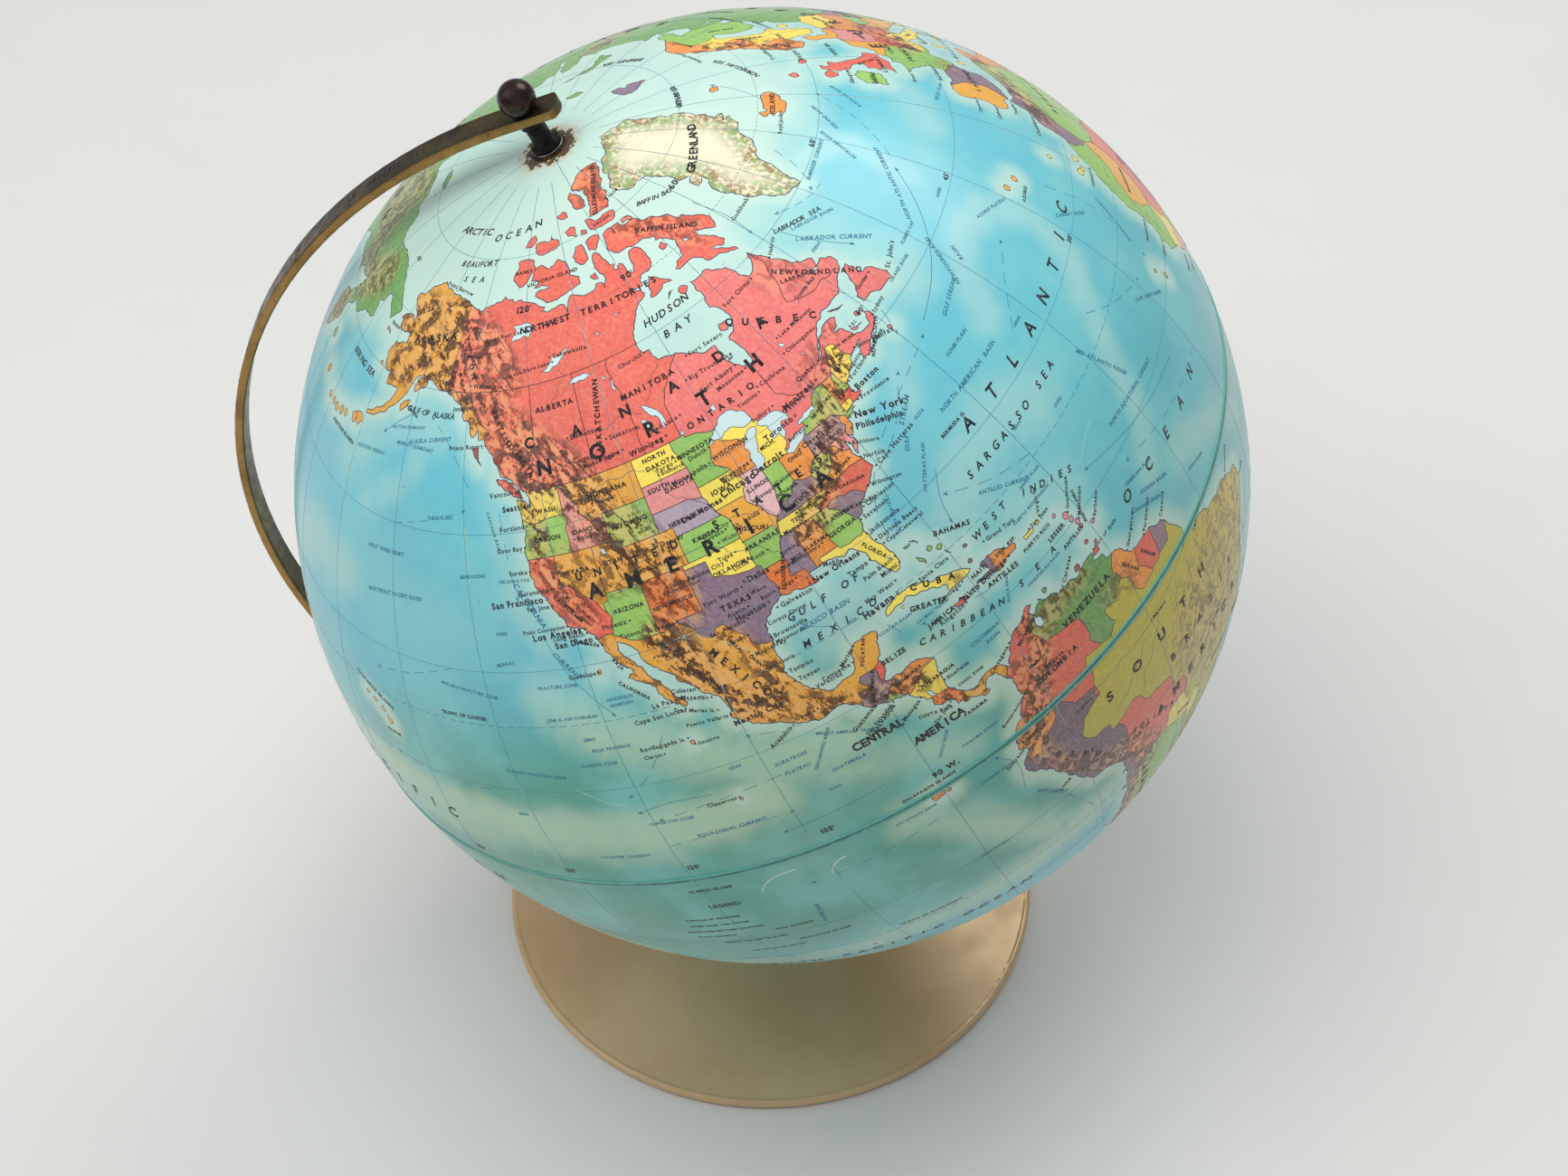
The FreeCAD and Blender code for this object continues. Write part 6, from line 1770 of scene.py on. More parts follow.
    def find_lines(self):
        """Chains of mesh edges that part land from water, and one region from another."""
        chosen = {"coast": [], "lake": [], "border": []}
        for edge, pair in zip(self.edges.tolist(), self.edge_faces):
            if len(pair) < 2:
                continue
            kinds = {self.kind[pair[0]], self.kind[pair[1]]}
            if kinds == {LAND_KIND}:
                if self.region[pair[0]] != self.region[pair[1]]:
                    chosen["border"].append(edge)
            elif SEA_KIND in kinds and LAND_KIND in kinds:
                chosen["coast"].append(edge)
            elif LAKE_KIND in kinds and LAND_KIND in kinds:
                chosen["lake"].append(edge)
        self.lines = {name: [self.dirs[chain] for chain in chains(edges)] for name, edges in chosen.items()}


def chains(edges):
    """Joins loose edges end to end into paths of point numbers; a closed path repeats its first point."""
    links = {}
    for a, b in edges:
        links.setdefault(a, []).append(b)
        links.setdefault(b, []).append(a)
    used, found = set(), []

    def walk(a, b):
        path = [a]
        while True:
            used.add(frozenset((a, b)))
            path.append(b)
            onward = [c for c in links[b] if frozenset((b, c)) not in used]
            if len(links[b]) != 2 or not onward:
                return path
            a, b = b, onward[0]

    for start in sorted(links, key=lambda v: len(links[v]) == 2):
        for other in links[start]:
            if frozenset((start, other)) not in used:
                found.append(walk(start, other))
    return found


def without_outside(flat, faces):
    """Points, and those triangles that lie between the rim and the hole."""
    flat, faces = np.array(flat), np.array(faces)
    centre = flat[faces].mean(axis=1)
    away = np.hypot(centre[:, 0], centre[:, 1])
    return flat, faces[(away < 90) & (away > HOLE)]


# Making the pieces of the map ---------------------------------------------------------------------

def add_mesh(name, points, faces, material, body="ball", normals=None):
    """A new piece that rides on a body. Faces are rows of three corners."""
    mesh = bpy.data.meshes.new(name)
    points, faces = np.asarray(points, np.float32), np.asarray(faces, np.int32)
    mesh.vertices.add(len(points))
    mesh.vertices.foreach_set("co", points.ravel())
    mesh.loops.add(faces.size)
    mesh.loops.foreach_set("vertex_index", faces.ravel())
    mesh.polygons.add(len(faces))
    mesh.polygons.foreach_set("loop_start", np.arange(0, faces.size, 3, dtype=np.int32))
    mesh.update(calc_edges=True)
    mesh.validate()
    if normals is not None:
        mesh.normals_split_custom_set(np.asarray(normals).tolist())
    mesh.materials.append(material)
    piece = bpy.data.objects.new(name, mesh)
    bpy.context.scene.collection.objects.link(piece)
    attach(piece, body)
    return piece


def boundary(faces):
    """Edges of triangles that only one triangle has, in its direction."""
    sides = faces[:, [0, 1, 1, 2, 2, 0]].reshape(-1, 2)
    _, back, count = np.unique(np.sort(sides, axis=1), axis=0, return_inverse=True, return_counts=True)
    return sides[count[back.reshape(-1)] == 1]


def map_shell(half, name, node, material):
    """The paper and board of one half: the drawn map outside, a plain skin inside, and the cut edges."""
    outward = half.faces if half.pole > 0 else half.faces[:, ::-1]
    rim = boundary(outward)
    rim_points = np.unique(rim)
    grid = [away * unit_circle(INNER_POINTS) for away in np.arange(12, 90, 9)]
    inner_flat = np.vstack([half.flat[rim_points]] + grid)
    number = {p: i for i, p in enumerate(rim_points.tolist())}
    rim_edges = [(number[a], number[b]) for a, b in rim.tolist()]
    flat, _, faces, *_ = delaunay_2d_cdt([Vector(p) for p in inner_flat], rim_edges, [], 0, 1e-7)
    flat, faces = without_outside(flat, faces)
    inner_dirs = directions(*from_plane(flat, half.pole).T)
    first = len(half.dirs)
    points = np.vstack([BALL + half.dirs * MAP_R, BALL + inner_dirs * BOARD_R])
    inward = faces[:, ::-1] if half.pole > 0 else faces
    a, b = rim[:, 0], rim[:, 1]
    inner_a, inner_b = (first + np.array([number[p] for p in side.tolist()]) for side in (a, b))
    cut = np.vstack([np.stack([b, a, inner_a], -1), np.stack([b, inner_a, inner_b], -1)])
    every = np.vstack([outward, inward + first, cut])
    dirs = np.vstack([half.dirs, inner_dirs])
    edge_normal = np.cross(points[cut[:, 1]] - points[cut[:, 0]], points[cut[:, 2]] - points[cut[:, 0]])
    edge_normal /= np.linalg.norm(edge_normal, axis=1)[:, None]
    edge_normals = np.repeat(edge_normal, 3, axis=0)
    normals = np.vstack([dirs[outward.ravel()], -dirs[(inward + first).ravel()], edge_normals])
    shell = add_mesh(name, points, every, material, normals=normals)
    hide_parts(node)
    paint(shell.data, half, len(outward), len(every), dirs, first)
    return shell


def paint(mesh, half, drawn, total, dirs, outer_points):
    """The map's colours and masks: country colour and kind by face, sea-bed and relief masks by point."""
    colours = {key: linear(rgb) for key, rgb in INK.items()}
    tone = np.random.default_rng(3).uniform(0.9, 1.08, 400)   # each region a little lighter or darker
    face_colour = np.ones((total, 4), np.float32)
    face_colour[:drawn, :3] = [colours[k] for k in half.key]
    face_colour[:drawn, :3] *= tone[half.region][:, None]
    attribute = mesh.color_attributes.new("country", "FLOAT_COLOR", "CORNER")
    attribute.data.foreach_set("color", np.repeat(face_colour, 3, axis=0).ravel())
    kind = np.full(total, INSIDE_KIND, np.float32)
    kind[:drawn] = half.kind
    mesh.attributes.new("kind", "FLOAT", "FACE").data.foreach_set("value", kind)
    shore = KDTree(len(SHORE))
    for i, p in enumerate(SHORE):
        shore.insert(p, i)
    shore.balance()
    outer = dirs[:outer_points]
    gap = np.degrees([shore.find(p)[2] for p in outer])
    # the tropic mask peaks at the south-east Pacific, on the ball's downward side: its darker sea is partly a
    # greener print, partly painted shade
    greener_shaded_pacific = np.maximum(smooth(outer @ directions(-122, -20), 0.35, 0.85), 0.25)
    masks = {   # by the gap to the nearest coast in degrees, by tables of lines, or by place
        "shelf": np.maximum(smooth(gap, 3.4, 0.1), 0.9 * near(outer, RIDGES, 1.35, 0.0)),
        "shore": np.maximum(smooth(gap, 1.5, 0.0), near(outer, SHOALS, 1.2, 0.2)),
        "fringe": smooth(gap, 3.2, 0.3),
        "relief": near(outer, RANGES, 1.6, 0.75),
        # darker tropical sea: partly painted shade toward the south-east Pacific
        "tropic": smooth(np.abs(outer @ NORTH), 0.6, 0.25) * greener_shaded_pacific,
        "cold": smooth(outer @ NORTH, 0.84, 0.93),
    }
    for name, values in masks.items():
        full = np.zeros(len(dirs), np.float32)
        full[:outer_points] = values
        mesh.attributes.new(name, "FLOAT", "POINT").data.foreach_set("value", full)


def ribbon(dirs, width, rise=0.05 * MM):
    """Points and faces of an inked line on the ball: a low three-sided strip, closed at its ends."""
    dirs = np.asarray(dirs, float)
    closed = len(dirs) > 3 and np.allclose(dirs[0], dirs[-1])
    if closed:
        dirs = dirs[:-1]
        along = np.roll(dirs, -1, axis=0) - np.roll(dirs, 1, axis=0)
    else:
        along = np.gradient(dirs, axis=0)
    across = np.cross(dirs, along)
    across /= np.maximum(np.linalg.norm(across, axis=1), 1e-12)[:, None]
    low = BALL + dirs * (MAP_R - RIBBON_ROOT)
    crest = BALL + dirs * (MAP_R + rise)
    points = np.stack([low - across * width / 2, low + across * width / 2, crest], 1)
    n = len(dirs)
    here = np.arange(n if closed else n - 1) * 3
    after = (here + 3) % (3 * n)
    faces = []
    for a, b in ((0, 1), (1, 2), (2, 0)):
        faces.append(np.stack([here + a, after + a, after + b], -1))
        faces.append(np.stack([here + a, after + b, here + b], -1))
    if not closed:
        faces += [np.array([[0, 1, 2]]), np.array([[3 * n - 3, 3 * n - 1, 3 * n - 2]])]
    return points.reshape(-1, 3), np.vstack(faces)


def joined(parts):
    """Several (points, faces) as one."""
    starts = np.cumsum([0] + [len(p) for p, _ in parts[:-1]])
    return np.vstack([p for p, _ in parts]), np.vstack([f + s for (_, f), s in zip(parts, starts)])


HALVES = [Half(1), Half(-1)]
SHORE = np.vstack([line for half in HALVES for line in half.lines["coast"]])


# Lettering ----------------------------------------------------------------------------------------

GLYPHS = {}
GLYPH_GAP = 0.17                 # between letters, in cap heights
SPACE = 0.42
BOLD_WEIGHT = 0.036              # how far a letter's outline is set out
THIN_WEIGHT = 0.02
TOWN_GAP = 0.75                  # between a town's mark and its name, in cap heights
LARGE_TOWN = 1.15                # towns listed larger than this are bold and have a ring
SLAB_ROOT = 0.03 * MM            # how deep a letter is rooted in the paper
MARK_RISE = 0.05 * MM
ARROW_WIDTH = 0.24 * MM
ARROW_SIZE = 1.3 * MM


def flat_mesh(text, resolution, weight):
    """Points and triangles of a text set flat in the built-in face."""
    curve = bpy.data.curves.new("glyph", "FONT")
    curve.body, curve.resolution_u, curve.offset = text, resolution, weight
    holder = bpy.data.objects.new("glyph", curve)
    bpy.context.scene.collection.objects.link(holder)
    bpy.context.view_layer.update()
    mesh = bpy.data.meshes.new_from_object(holder)
    points = np.array([v.co[:2] for v in mesh.vertices], float).reshape(-1, 2)
    mesh.calc_loop_triangles()
    faces = np.array([t.vertices[:] for t in mesh.loop_triangles], int).reshape(-1, 3)
    bpy.data.objects.remove(holder)
    bpy.data.curves.remove(curve)
    bpy.data.meshes.remove(mesh)
    return points, faces


def glyph(char, bold):
    """A letter as (points, triangles, outline edges, width), with capitals one unit high."""
    key = (char, bold)
    if key not in GLYPHS:
        if "cap" not in GLYPHS:
            GLYPHS["cap"] = np.ptp(flat_mesh("H", 1, 0)[0][:, 1])
        points, faces = flat_mesh(char, 3 if bold else 2, BOLD_WEIGHT if bold else THIN_WEIGHT)
        points = points / GLYPHS["cap"]
        _, first, same = np.unique(np.round(points, 5), axis=0, return_index=True, return_inverse=True)
        points, faces = points[first], same.reshape(-1)[faces]
        a, b, c = faces.T
        faces = faces[(a != b) & (b != c) & (a != c)]
        u = points[faces[:, 1]] - points[faces[:, 0]]
        v = points[faces[:, 2]] - points[faces[:, 0]]
        turned = u[:, 0] * v[:, 1] - u[:, 1] * v[:, 0] < 0
        faces[turned] = faces[turned][:, ::-1]
        low, high = points[:, 0].min(), points[:, 0].max()
        GLYPHS[key] = (points - [(low + high) / 2, 0], faces, boundary(faces), high - low)
    return GLYPHS[key]


def text_width(text, bold):
    """The width of a set text, in cap heights."""
    widths = [SPACE if c == " " else glyph(c, bold)[3] for c in text]
    return sum(widths) + GLYPH_GAP * (len(text) - 1)


def slab(points, faces, edges, place, rise):
    """A flat shape as a thin closed slab; place maps plane points and a height to space."""
    n = len(points)
    solid = np.vstack([place(points, rise), place(points, -SLAB_ROOT)])
    a, b = edges[:, 0], edges[:, 1]
    sides = np.vstack([np.stack([b, a, a + n], -1), np.stack([b, a + n, b + n], -1)])
    return solid, np.vstack([faces, faces[:, ::-1] + n, sides])


def ball_place(lon, lat, angle, size, slant=0.0, shift=0.0):
    """Maps plane points at a place of the map, turned anticlockwise by an angle, on to the ball."""
    there = directions(lon, lat)
    east = np.cross(NORTH, there)
    east /= np.linalg.norm(east)
    north = np.cross(there, east)
    c, s = math.cos(angle), math.sin(angle)
    right, up = c * east + s * north, c * north - s * east

    def place(points, rise):
        x = (points[:, 0] + slant * points[:, 1]) * size + shift
        off = x[:, None] * right + (points[:, 1] * size)[:, None] * up
        reach = np.maximum(np.linalg.norm(off, axis=1), 1e-9)[:, None]
        on = np.cos(reach / MAP_R) * there + np.sin(reach / MAP_R) * off / reach
        return BALL + on * (MAP_R + rise)

    return place


def spread_name(line, slant=0.0, bold=True, rise=0.045 * MM):
    """Letters spread evenly from one place to another."""
    text, places, size = line.split(";")
    (lon_a, lat_a), (lon_b, lat_b) = pairs(places)
    size = float(size) * MM
    steps = len(text) - 1
    parts = []
    for i, char in enumerate(text):
        if char == " ":
            continue
        at = i / steps
        lon, lat = lon_a + (lon_b - lon_a) * at, lat_a + (lat_b - lat_a) * at
        angle = math.atan2(lat_b - lat_a, (lon_b - lon_a) * math.cos(math.radians(lat)))
        points, faces, edges, _ = glyph(char, bold)
        points = points - [0, 0.5]
        parts.append(slab(points, faces, edges, ball_place(lon, lat, angle, size, slant), rise))
    return parts


def set_name(text, lon, lat, size, angle, align="c", slant=0.0, bold=False, rise=0.04 * MM):
    """A name set solid at a place: centred there (c), or to the right (r) or left (l) of it."""
    width = text_width(text, bold)
    x = {"c": -width / 2, "r": TOWN_GAP, "l": -TOWN_GAP - width}[align]
    parts = []
    for char in text:
        if char == " ":
            x += SPACE + GLYPH_GAP
            continue
        points, faces, edges, wide = glyph(char, bold)
        points = points - [0, 0.5]
        place = ball_place(lon, lat, math.radians(angle), size, slant, (x + wide / 2) * size)
        parts.append(slab(points, faces, edges, place, rise))
        x += wide + GLYPH_GAP
    return parts


def disc(lon, lat, r, sides=8, inner=0.0):
    """A city's dot, or a ring when it has an inner radius."""
    circle_points = unit_circle(sides)
    i = np.arange(sides)
    after = (i + 1) % sides
    if inner:
        points = np.vstack([circle_points, circle_points * inner])
        faces = np.vstack([np.stack([i, after, after + sides], -1),
                           np.stack([i, after + sides, i + sides], -1)])
    else:
        points = np.vstack([circle_points, [[0, 0]]])
        faces = np.stack([i, after, np.full(sides, sides)], -1)
    return slab(points, faces, boundary(faces), ball_place(lon, lat, 0, r), MARK_RISE)


# Lines drawn on the map ---------------------------------------------------------------------------

def unit_path(points):
    """Directions of a line of places."""
    points = np.asarray(points, float)
    return directions(points[:, 0], points[:, 1])


def along_line(points, step=0.4):
    """The points of a smooth curve through some places, about step degrees apart."""
    points = np.asarray(points, float)
    for _ in range(3):
        inner = [points[:1]]
        for a, b in zip(points[:-1], points[1:]):
            inner += [[a * 0.75 + b * 0.25], [a * 0.25 + b * 0.75]]
        points = np.vstack(inner + [points[-1:]])
    run = np.hypot(np.diff(points[:, 0]), np.diff(points[:, 1]))
    at = np.concatenate([[0], np.cumsum(run)])
    even = np.linspace(0, at[-1], max(3, int(at[-1] / step)))
    return np.stack([np.interp(even, at, points[:, 0]), np.interp(even, at, points[:, 1])], -1)


def arrow_parts(line, dashed):
    """A current: a smooth line, whole or dashed, with a head at its end."""
    places = pairs(line)
    for i in range(1, len(places)):   # never the long way round the ball
        places[i, 0] -= 360 * round((places[i, 0] - places[i - 1, 0]) / 360)
    path = along_line(places)
    parts = []
    if dashed:
        for i in range(0, len(path) - 6, 7):
            parts.append(ribbon(unit_path(path[i:i + 5]), ARROW_WIDTH))
    else:
        parts.append(ribbon(unit_path(path), ARROW_WIDTH))
    tip, tail = path[-1], path[-4]
    angle = math.atan2(tip[1] - tail[1], (tip[0] - tail[0]) * math.cos(math.radians(tip[1])))
    head = np.array([[0.6, 0], [-0.6, 0.42], [-0.25, 0], [-0.6, -0.42]])
    faces = np.array([[0, 1, 2], [0, 2, 3]])
    parts.append(slab(head, faces, boundary(faces), ball_place(*tip, angle, ARROW_SIZE), MARK_RISE))
    return parts


def graticule():
    """Meridians and parallels every 15 degrees, and the dashes of the tropics and polar circles."""
    parts = []
    dashes = []
    for lon in range(-180, 180, 15):
        lat = np.arange(-84 if lon % 90 else -88, 85 if lon % 90 else 89, 1.4)
        parts.append(ribbon(directions(np.full(len(lat), lon), lat), 0.24 * MM))
    for lat in range(-75, 90, 15):
        if lat:
            lon = np.linspace(-180, 180, 241)
            parts.append(ribbon(directions(lon, np.full(len(lon), lat)), 0.17 * MM))
    for lat in (23.45, -23.45, 66.55, -66.55):
        for lon in np.arange(-180, 180, 1.5):
            part = lon + np.linspace(0, 0.95, 3)
            dashes.append(ribbon(directions(part, np.full(3, lat)), 0.2 * MM))
    return parts, dashes


def listed_names(table):
    """The text, place, height and angle of each name of a table."""
    found = []
    for line in logical_lines(table):
        text, place, angle = line.split(";")
        lon, lat, size = (float(v) for v in place.split())
        found.append((text, lon, lat, size * MM, float(angle)))
    return found


def degree_sign(text, lon, lat, size):
    """The small ring after the figures of a degree."""
    width = text_width(text.split()[0], True) * size * (1 if " " not in text else 0.2)
    shift = math.degrees((width / 2 + 0.45 * MM) / MAP_R) / math.cos(math.radians(lat))
    return disc(lon + shift, lat + math.degrees(0.35 * size / MAP_R), 0.3 * MM, 10, 0.55)


def build_map(shell_paper, dark_ink, name_ink, sea_ink, blue_ink, border_ink, river_ink, scratch_white):
    """Every piece of the printed ball."""
    for half, name, node in zip(HALVES, ("map_north", "map_south"), ("north_hemisphere", "south_hemisphere")):
        map_shell(half, name, node, shell_paper)

    def piece(name, parts, ink):
        points, faces = joined(parts)
        return add_mesh(name, points, faces, ink)

    def lines(kind):
        return [line for half in HALVES for line in half.lines[kind]]

    piece("coast_lines", [ribbon(line, 0.4 * MM) for line in lines("coast")], sea_ink)
    piece("lake_lines", [ribbon(line, 0.28 * MM) for line in lines("lake")], sea_ink)
    piece("border_lines", [ribbon(line, 0.34 * MM) for line in lines("border")], border_ink)
    rivers = [wander(pairs(line), 0.6, 0.16) for line in logical_lines(RIVERS)]
    piece("river_lines", [ribbon(unit_path(line), 0.22 * MM, 0.04 * MM) for line in rivers], river_ink)
    grid, dashes = graticule()
    piece("meridian_and_parallel_lines", grid, blue_ink)
    piece("tropic_and_circle_lines", dashes, blue_ink)
    arrows = []
    for i, line in enumerate(logical_lines(CURRENTS)):
        arrows += arrow_parts(line, dashed=i % 3 < 2)
    piece("current_arrows", arrows, blue_ink)
    large_names = [p for line in logical_lines(BIG_NAMES) for p in spread_name(line)]
    piece("lettering_large", large_names, dark_ink)
    seas = [p for line in logical_lines(SEA_NAMES) for p in spread_name(line, slant=0.25, bold=False)]
    piece("lettering_seas", seas, name_ink)
    names = [p for text, *how in listed_names(NAMES) for p in set_name(text, *how, bold=True)]
    piece("lettering_regions", names, dark_ink)
    waters = [p for text, *how in listed_names(WATER_NAMES) for p in set_name(text, *how, slant=0.2)]
    piece("lettering_waters", waters, blue_ink)
    degrees = []
    for text, lon, lat, size, angle in listed_names(DEGREES):
        degrees += set_name(text, lon, lat, size, angle, bold=True)
        degrees.append(degree_sign(text, lon, lat, size))
    piece("degree_figures", degrees, dark_ink)
    towns = []
    marks = []
    for line in logical_lines(CITIES):
        text, place, how = line.split(";")
        lon, lat = (float(v) for v in place.split())
        angle, side, size = how.split()
        large = float(size) > LARGE_TOWN
        towns += set_name(text, lon, lat, TOWN_SCALE * float(size) * MM, float(angle), side, bold=large)
        marks.append(disc(lon, lat, 0.42 * MM, 8, 0.5) if large else disc(lon, lat, 0.3 * MM))
    scratches = []
    for line in logical_lines(SCRATCHES):
        width, *places = (float(v) for v in line.split())
        path = along_line(np.array(places).reshape(-1, 2), 0.3)
        scratches.append(ribbon(unit_path(path), width * MM, 0.06 * MM))
    piece("varnish_scratches", scratches, scratch_white)
    piece("lettering_cities", towns, name_ink)
    piece("city_marks", marks, name_ink)


# Materials ----------------------------------------------------------------------------------------

class Look:
    """A node material around one Principled shader. Inputs that are sockets are linked; others are set."""

    def __init__(self, name, **constants):
        self.material = bpy.data.materials.new(name)
        self.material.use_nodes = True
        self.nodes, self.links = self.material.node_tree.nodes, self.material.node_tree.links
        self.nodes.clear()
        output = self.nodes.new("ShaderNodeOutputMaterial")
        self.shader = self.nodes.new("ShaderNodeBsdfPrincipled")
        self.links.new(self.shader.outputs[0], output.inputs["Surface"])
        for key, value in constants.items():
            self.set(self.shader, key.replace("_", " "), value)
        self.mm = self.local_millimetres()

    def set(self, node, key, value):
        socket = node.inputs[key]
        if isinstance(value, bpy.types.NodeSocket):
            self.links.new(value, socket)
        elif socket.type == "RGBA":
            socket.default_value = tuple(value) + ((1.0,) if len(value) == 3 else ())
        else:
            socket.default_value = value

    def add(self, kind, inputs, out=0, **settings):
        node = self.nodes.new(kind)
        for key, value in settings.items():
            setattr(node, key, value)
        for key, value in inputs.items():
            self.set(node, key, value)
        return node.outputs[out]

    def local_millimetres(self):
        """The piece's own coordinates from the ball's centre, in millimetres."""
        coordinates = self.nodes.new("ShaderNodeTexCoord").outputs["Object"]
        moved = self.add("ShaderNodeVectorMath", {0: coordinates, 1: tuple(BALL)}, operation="SUBTRACT")
        return self.add("ShaderNodeVectorMath", {0: moved, "Scale": 1000.0}, operation="SCALE")

    def noise(self, scale, detail=3.0, roughness=0.5, distortion=0.0, vector=None, out="Fac"):
        """Noise over the piece, its scale per millimetre."""
        inputs = {"Vector": vector or self.mm, "Scale": scale, "Detail": detail, "Roughness": roughness,
                  "Distortion": distortion}
        return self.add("ShaderNodeTexNoise", inputs, out)

    def math(self, operation, a, b=0.0, clamp=False):
        return self.add("ShaderNodeMath", {0: a, 1: b}, operation=operation, use_clamp=clamp)

    def plus(self, a, b):
        return self.math("ADD", a, b)

    def minus(self, a, b):
        return self.math("SUBTRACT", a, b)

    def times(self, a, b):
        return self.math("MULTIPLY", a, b)

    def distance(self, a, b):
        return self.math("ABSOLUTE", self.minus(a, b))

    def band(self, value, low, high, out_low=0.0, out_high=1.0):
        """A soft step from out_low at low to out_high at high."""
        inputs = {"Value": value, "From Min": low, "From Max": high, "To Min": out_low, "To Max": out_high}
        return self.add("ShaderNodeMapRange", inputs, interpolation_type="SMOOTHSTEP")

    def mix(self, factor, a, b, blend="MIX"):
        return self.add("ShaderNodeMix", {0: factor, 6: a, 7: b}, 2, data_type="RGBA", blend_type=blend)

    def attribute(self, name, out="Fac"):
        return self.add("ShaderNodeAttribute", {}, out, attribute_name=name)

    def scaled(self, vector, by):
        return self.add("ShaderNodeVectorMath", {0: vector, 1: by}, operation="MULTIPLY")

    def shifted(self, vector, by):
        return self.add("ShaderNodeVectorMath", {0: vector, 1: by}, operation="ADD")

    def along(self, direction, vector=None):
        return self.add("ShaderNodeVectorMath", {0: vector or self.mm, 1: tuple(direction)}, "Value",
                        operation="DOT_PRODUCT")

    def use(self, key, value):
        self.set(self.shader, key, value)

    def bump(self, height, distance, strength=1.0):
        normal = self.add("ShaderNodeBump", {"Height": height, "Distance": distance, "Strength": strength})
        self.use("Normal", normal)


def tint(*rgb):
    """A colour for a shader, from 8-bit values."""
    return tuple(float(v) for v in linear(rgb))


def sea_colour(look):
    """Deep water, pale banks with brushed edges, mint shallows, and paler water in the far north."""
    tropic = look.attribute("tropic")
    swirl = look.minus(look.noise(0.05, 2, 0.5, 2.2), 0.5)
    bank = look.band(look.plus(look.attribute("shelf"), look.times(swirl, 0.4)), 0.06, 0.86)
    # the darker, greener tropical sea is partly print and partly painted shade toward the south-east Pacific
    deep = look.mix(tropic, tint(*DEEP_SEA), tint(*TROPIC_SEA_AND_SHADE))
    deep = look.mix(look.band(look.noise(0.028, 3, 0.55), 0.4, 0.66, 0.0, 0.55), deep, tint(*MID_SEA))
    strokes = look.distance(look.noise(0.075, 4, 0.62, 3.0), 0.5)
    strokes = look.band(strokes, 0.0, 0.035, 1.0, 0.0)
    pale = look.mix(look.band(tropic, 0.1, 0.7), tint(*BLUE_BANK), tint(*PALE_SEA))
    pale = look.mix(look.times(strokes, 0.35), pale, tint(*MID_SEA))
    sea = look.mix(look.times(bank, 0.8), deep, pale)
    sea = look.mix(look.times(look.attribute("shore"), 0.75), sea, tint(*SHALLOWS))
    return look.mix(look.times(look.attribute("cold"), 0.85), sea, tint(*COLD_SEA))


def land_colour(look):
    """The countries' inks with hills drawn over them, and a fringe round the ice.

    The hills are the difference of one noise seen from two sides, drawn out along the ranges: brown in the
    folds, and lit on the other side."""
    country, relief = look.attribute("country", "Color"), look.attribute("relief")
    stretch = {0: tuple(RANGE_RUN), "Scale": look.along(RANGE_RUN * 0.6)}
    along_ranges = look.add("ShaderNodeVectorMath", stretch, operation="SCALE")
    drawn_out = look.add("ShaderNodeVectorMath", {0: look.mm, 1: along_ranges}, operation="SUBTRACT")
    fold = look.noise(0.33, 4, 0.55, 0.6, drawn_out)
    fold_moved = look.noise(0.33, 4, 0.55, 0.6, look.shifted(drawn_out, tuple(RELIEF_LIGHT)))
    fine = look.noise(0.62, 3, 0.6, 0.6)
    fine_moved = look.noise(0.62, 3, 0.6, 0.6, look.shifted(look.mm, tuple(RELIEF_LIGHT * 0.35)))
    slope = look.plus(look.minus(fold, fold_moved), look.times(look.minus(fine, fine_moved), 0.4))
    height = look.times(look.plus(relief, 0.06), look.band(look.noise(0.06, 2), 0.3, 0.55, 0.75, 1.15))
    dark = look.math("MULTIPLY", look.band(slope, 0.012, -0.055), height, True)
    lit = look.math("MULTIPLY", look.band(slope, 0.01, 0.12), height, True)
    land = look.mix(look.times(relief, 0.3), country, tint(198, 104, 40))
    land = look.mix(look.times(dark, 0.93), land, tint(64, 24, 12))
    land = look.mix(look.times(lit, 0.4), land, tint(250, 206, 140))
    saturation = look.add("ShaderNodeSeparateColor", {"Color": country}, "Green", mode="HSV")
    ice = look.math("LESS_THAN", saturation, 0.33)
    fringe = look.times(look.times(ice, look.attribute("fringe")), look.band(fine, 0.36, 0.56))
    tundra = look.mix(look.band(fold, 0.45, 0.6), tint(132, 168, 104), tint(150, 112, 66))
    land = look.mix(fringe, land, tundra)
    return look.mix(look.band(look.noise(0.9, 2), 0.35, 0.75, 0.0, 0.12), land, tint(250, 235, 200))


def seams(look):
    """Pale seams between the twelve gores of the print; each plane through the axis makes two."""
    wobble = look.times(look.minus(look.noise(0.22, 3), 0.5), 1.1)
    nearest = None
    for k in range(6):
        plane = look.along(directions(45 + 30 * k + 90, 0))
        gap = look.math("ABSOLUTE", look.plus(plane, wobble))
        nearest = gap if nearest is None else look.math("MINIMUM", nearest, gap)
    return look.times(look.band(nearest, 0.05, 0.22, 1.0, 0.0), look.band(look.noise(0.09, 3), 0.47, 0.60))


def hair_scratches(look):
    """Fine pale lines where the varnish has been scratched, in a few patches."""
    run = look.noise(1.0, 2, 0.5, 0.0, look.scaled(look.mm, (0.012, 0.22, 0.05)))
    hair = look.band(look.distance(run, 0.5), 0.0, 0.0016, 1.0, 0.0)
    return look.times(hair, look.band(look.noise(0.035, 2), 0.56, 0.64))


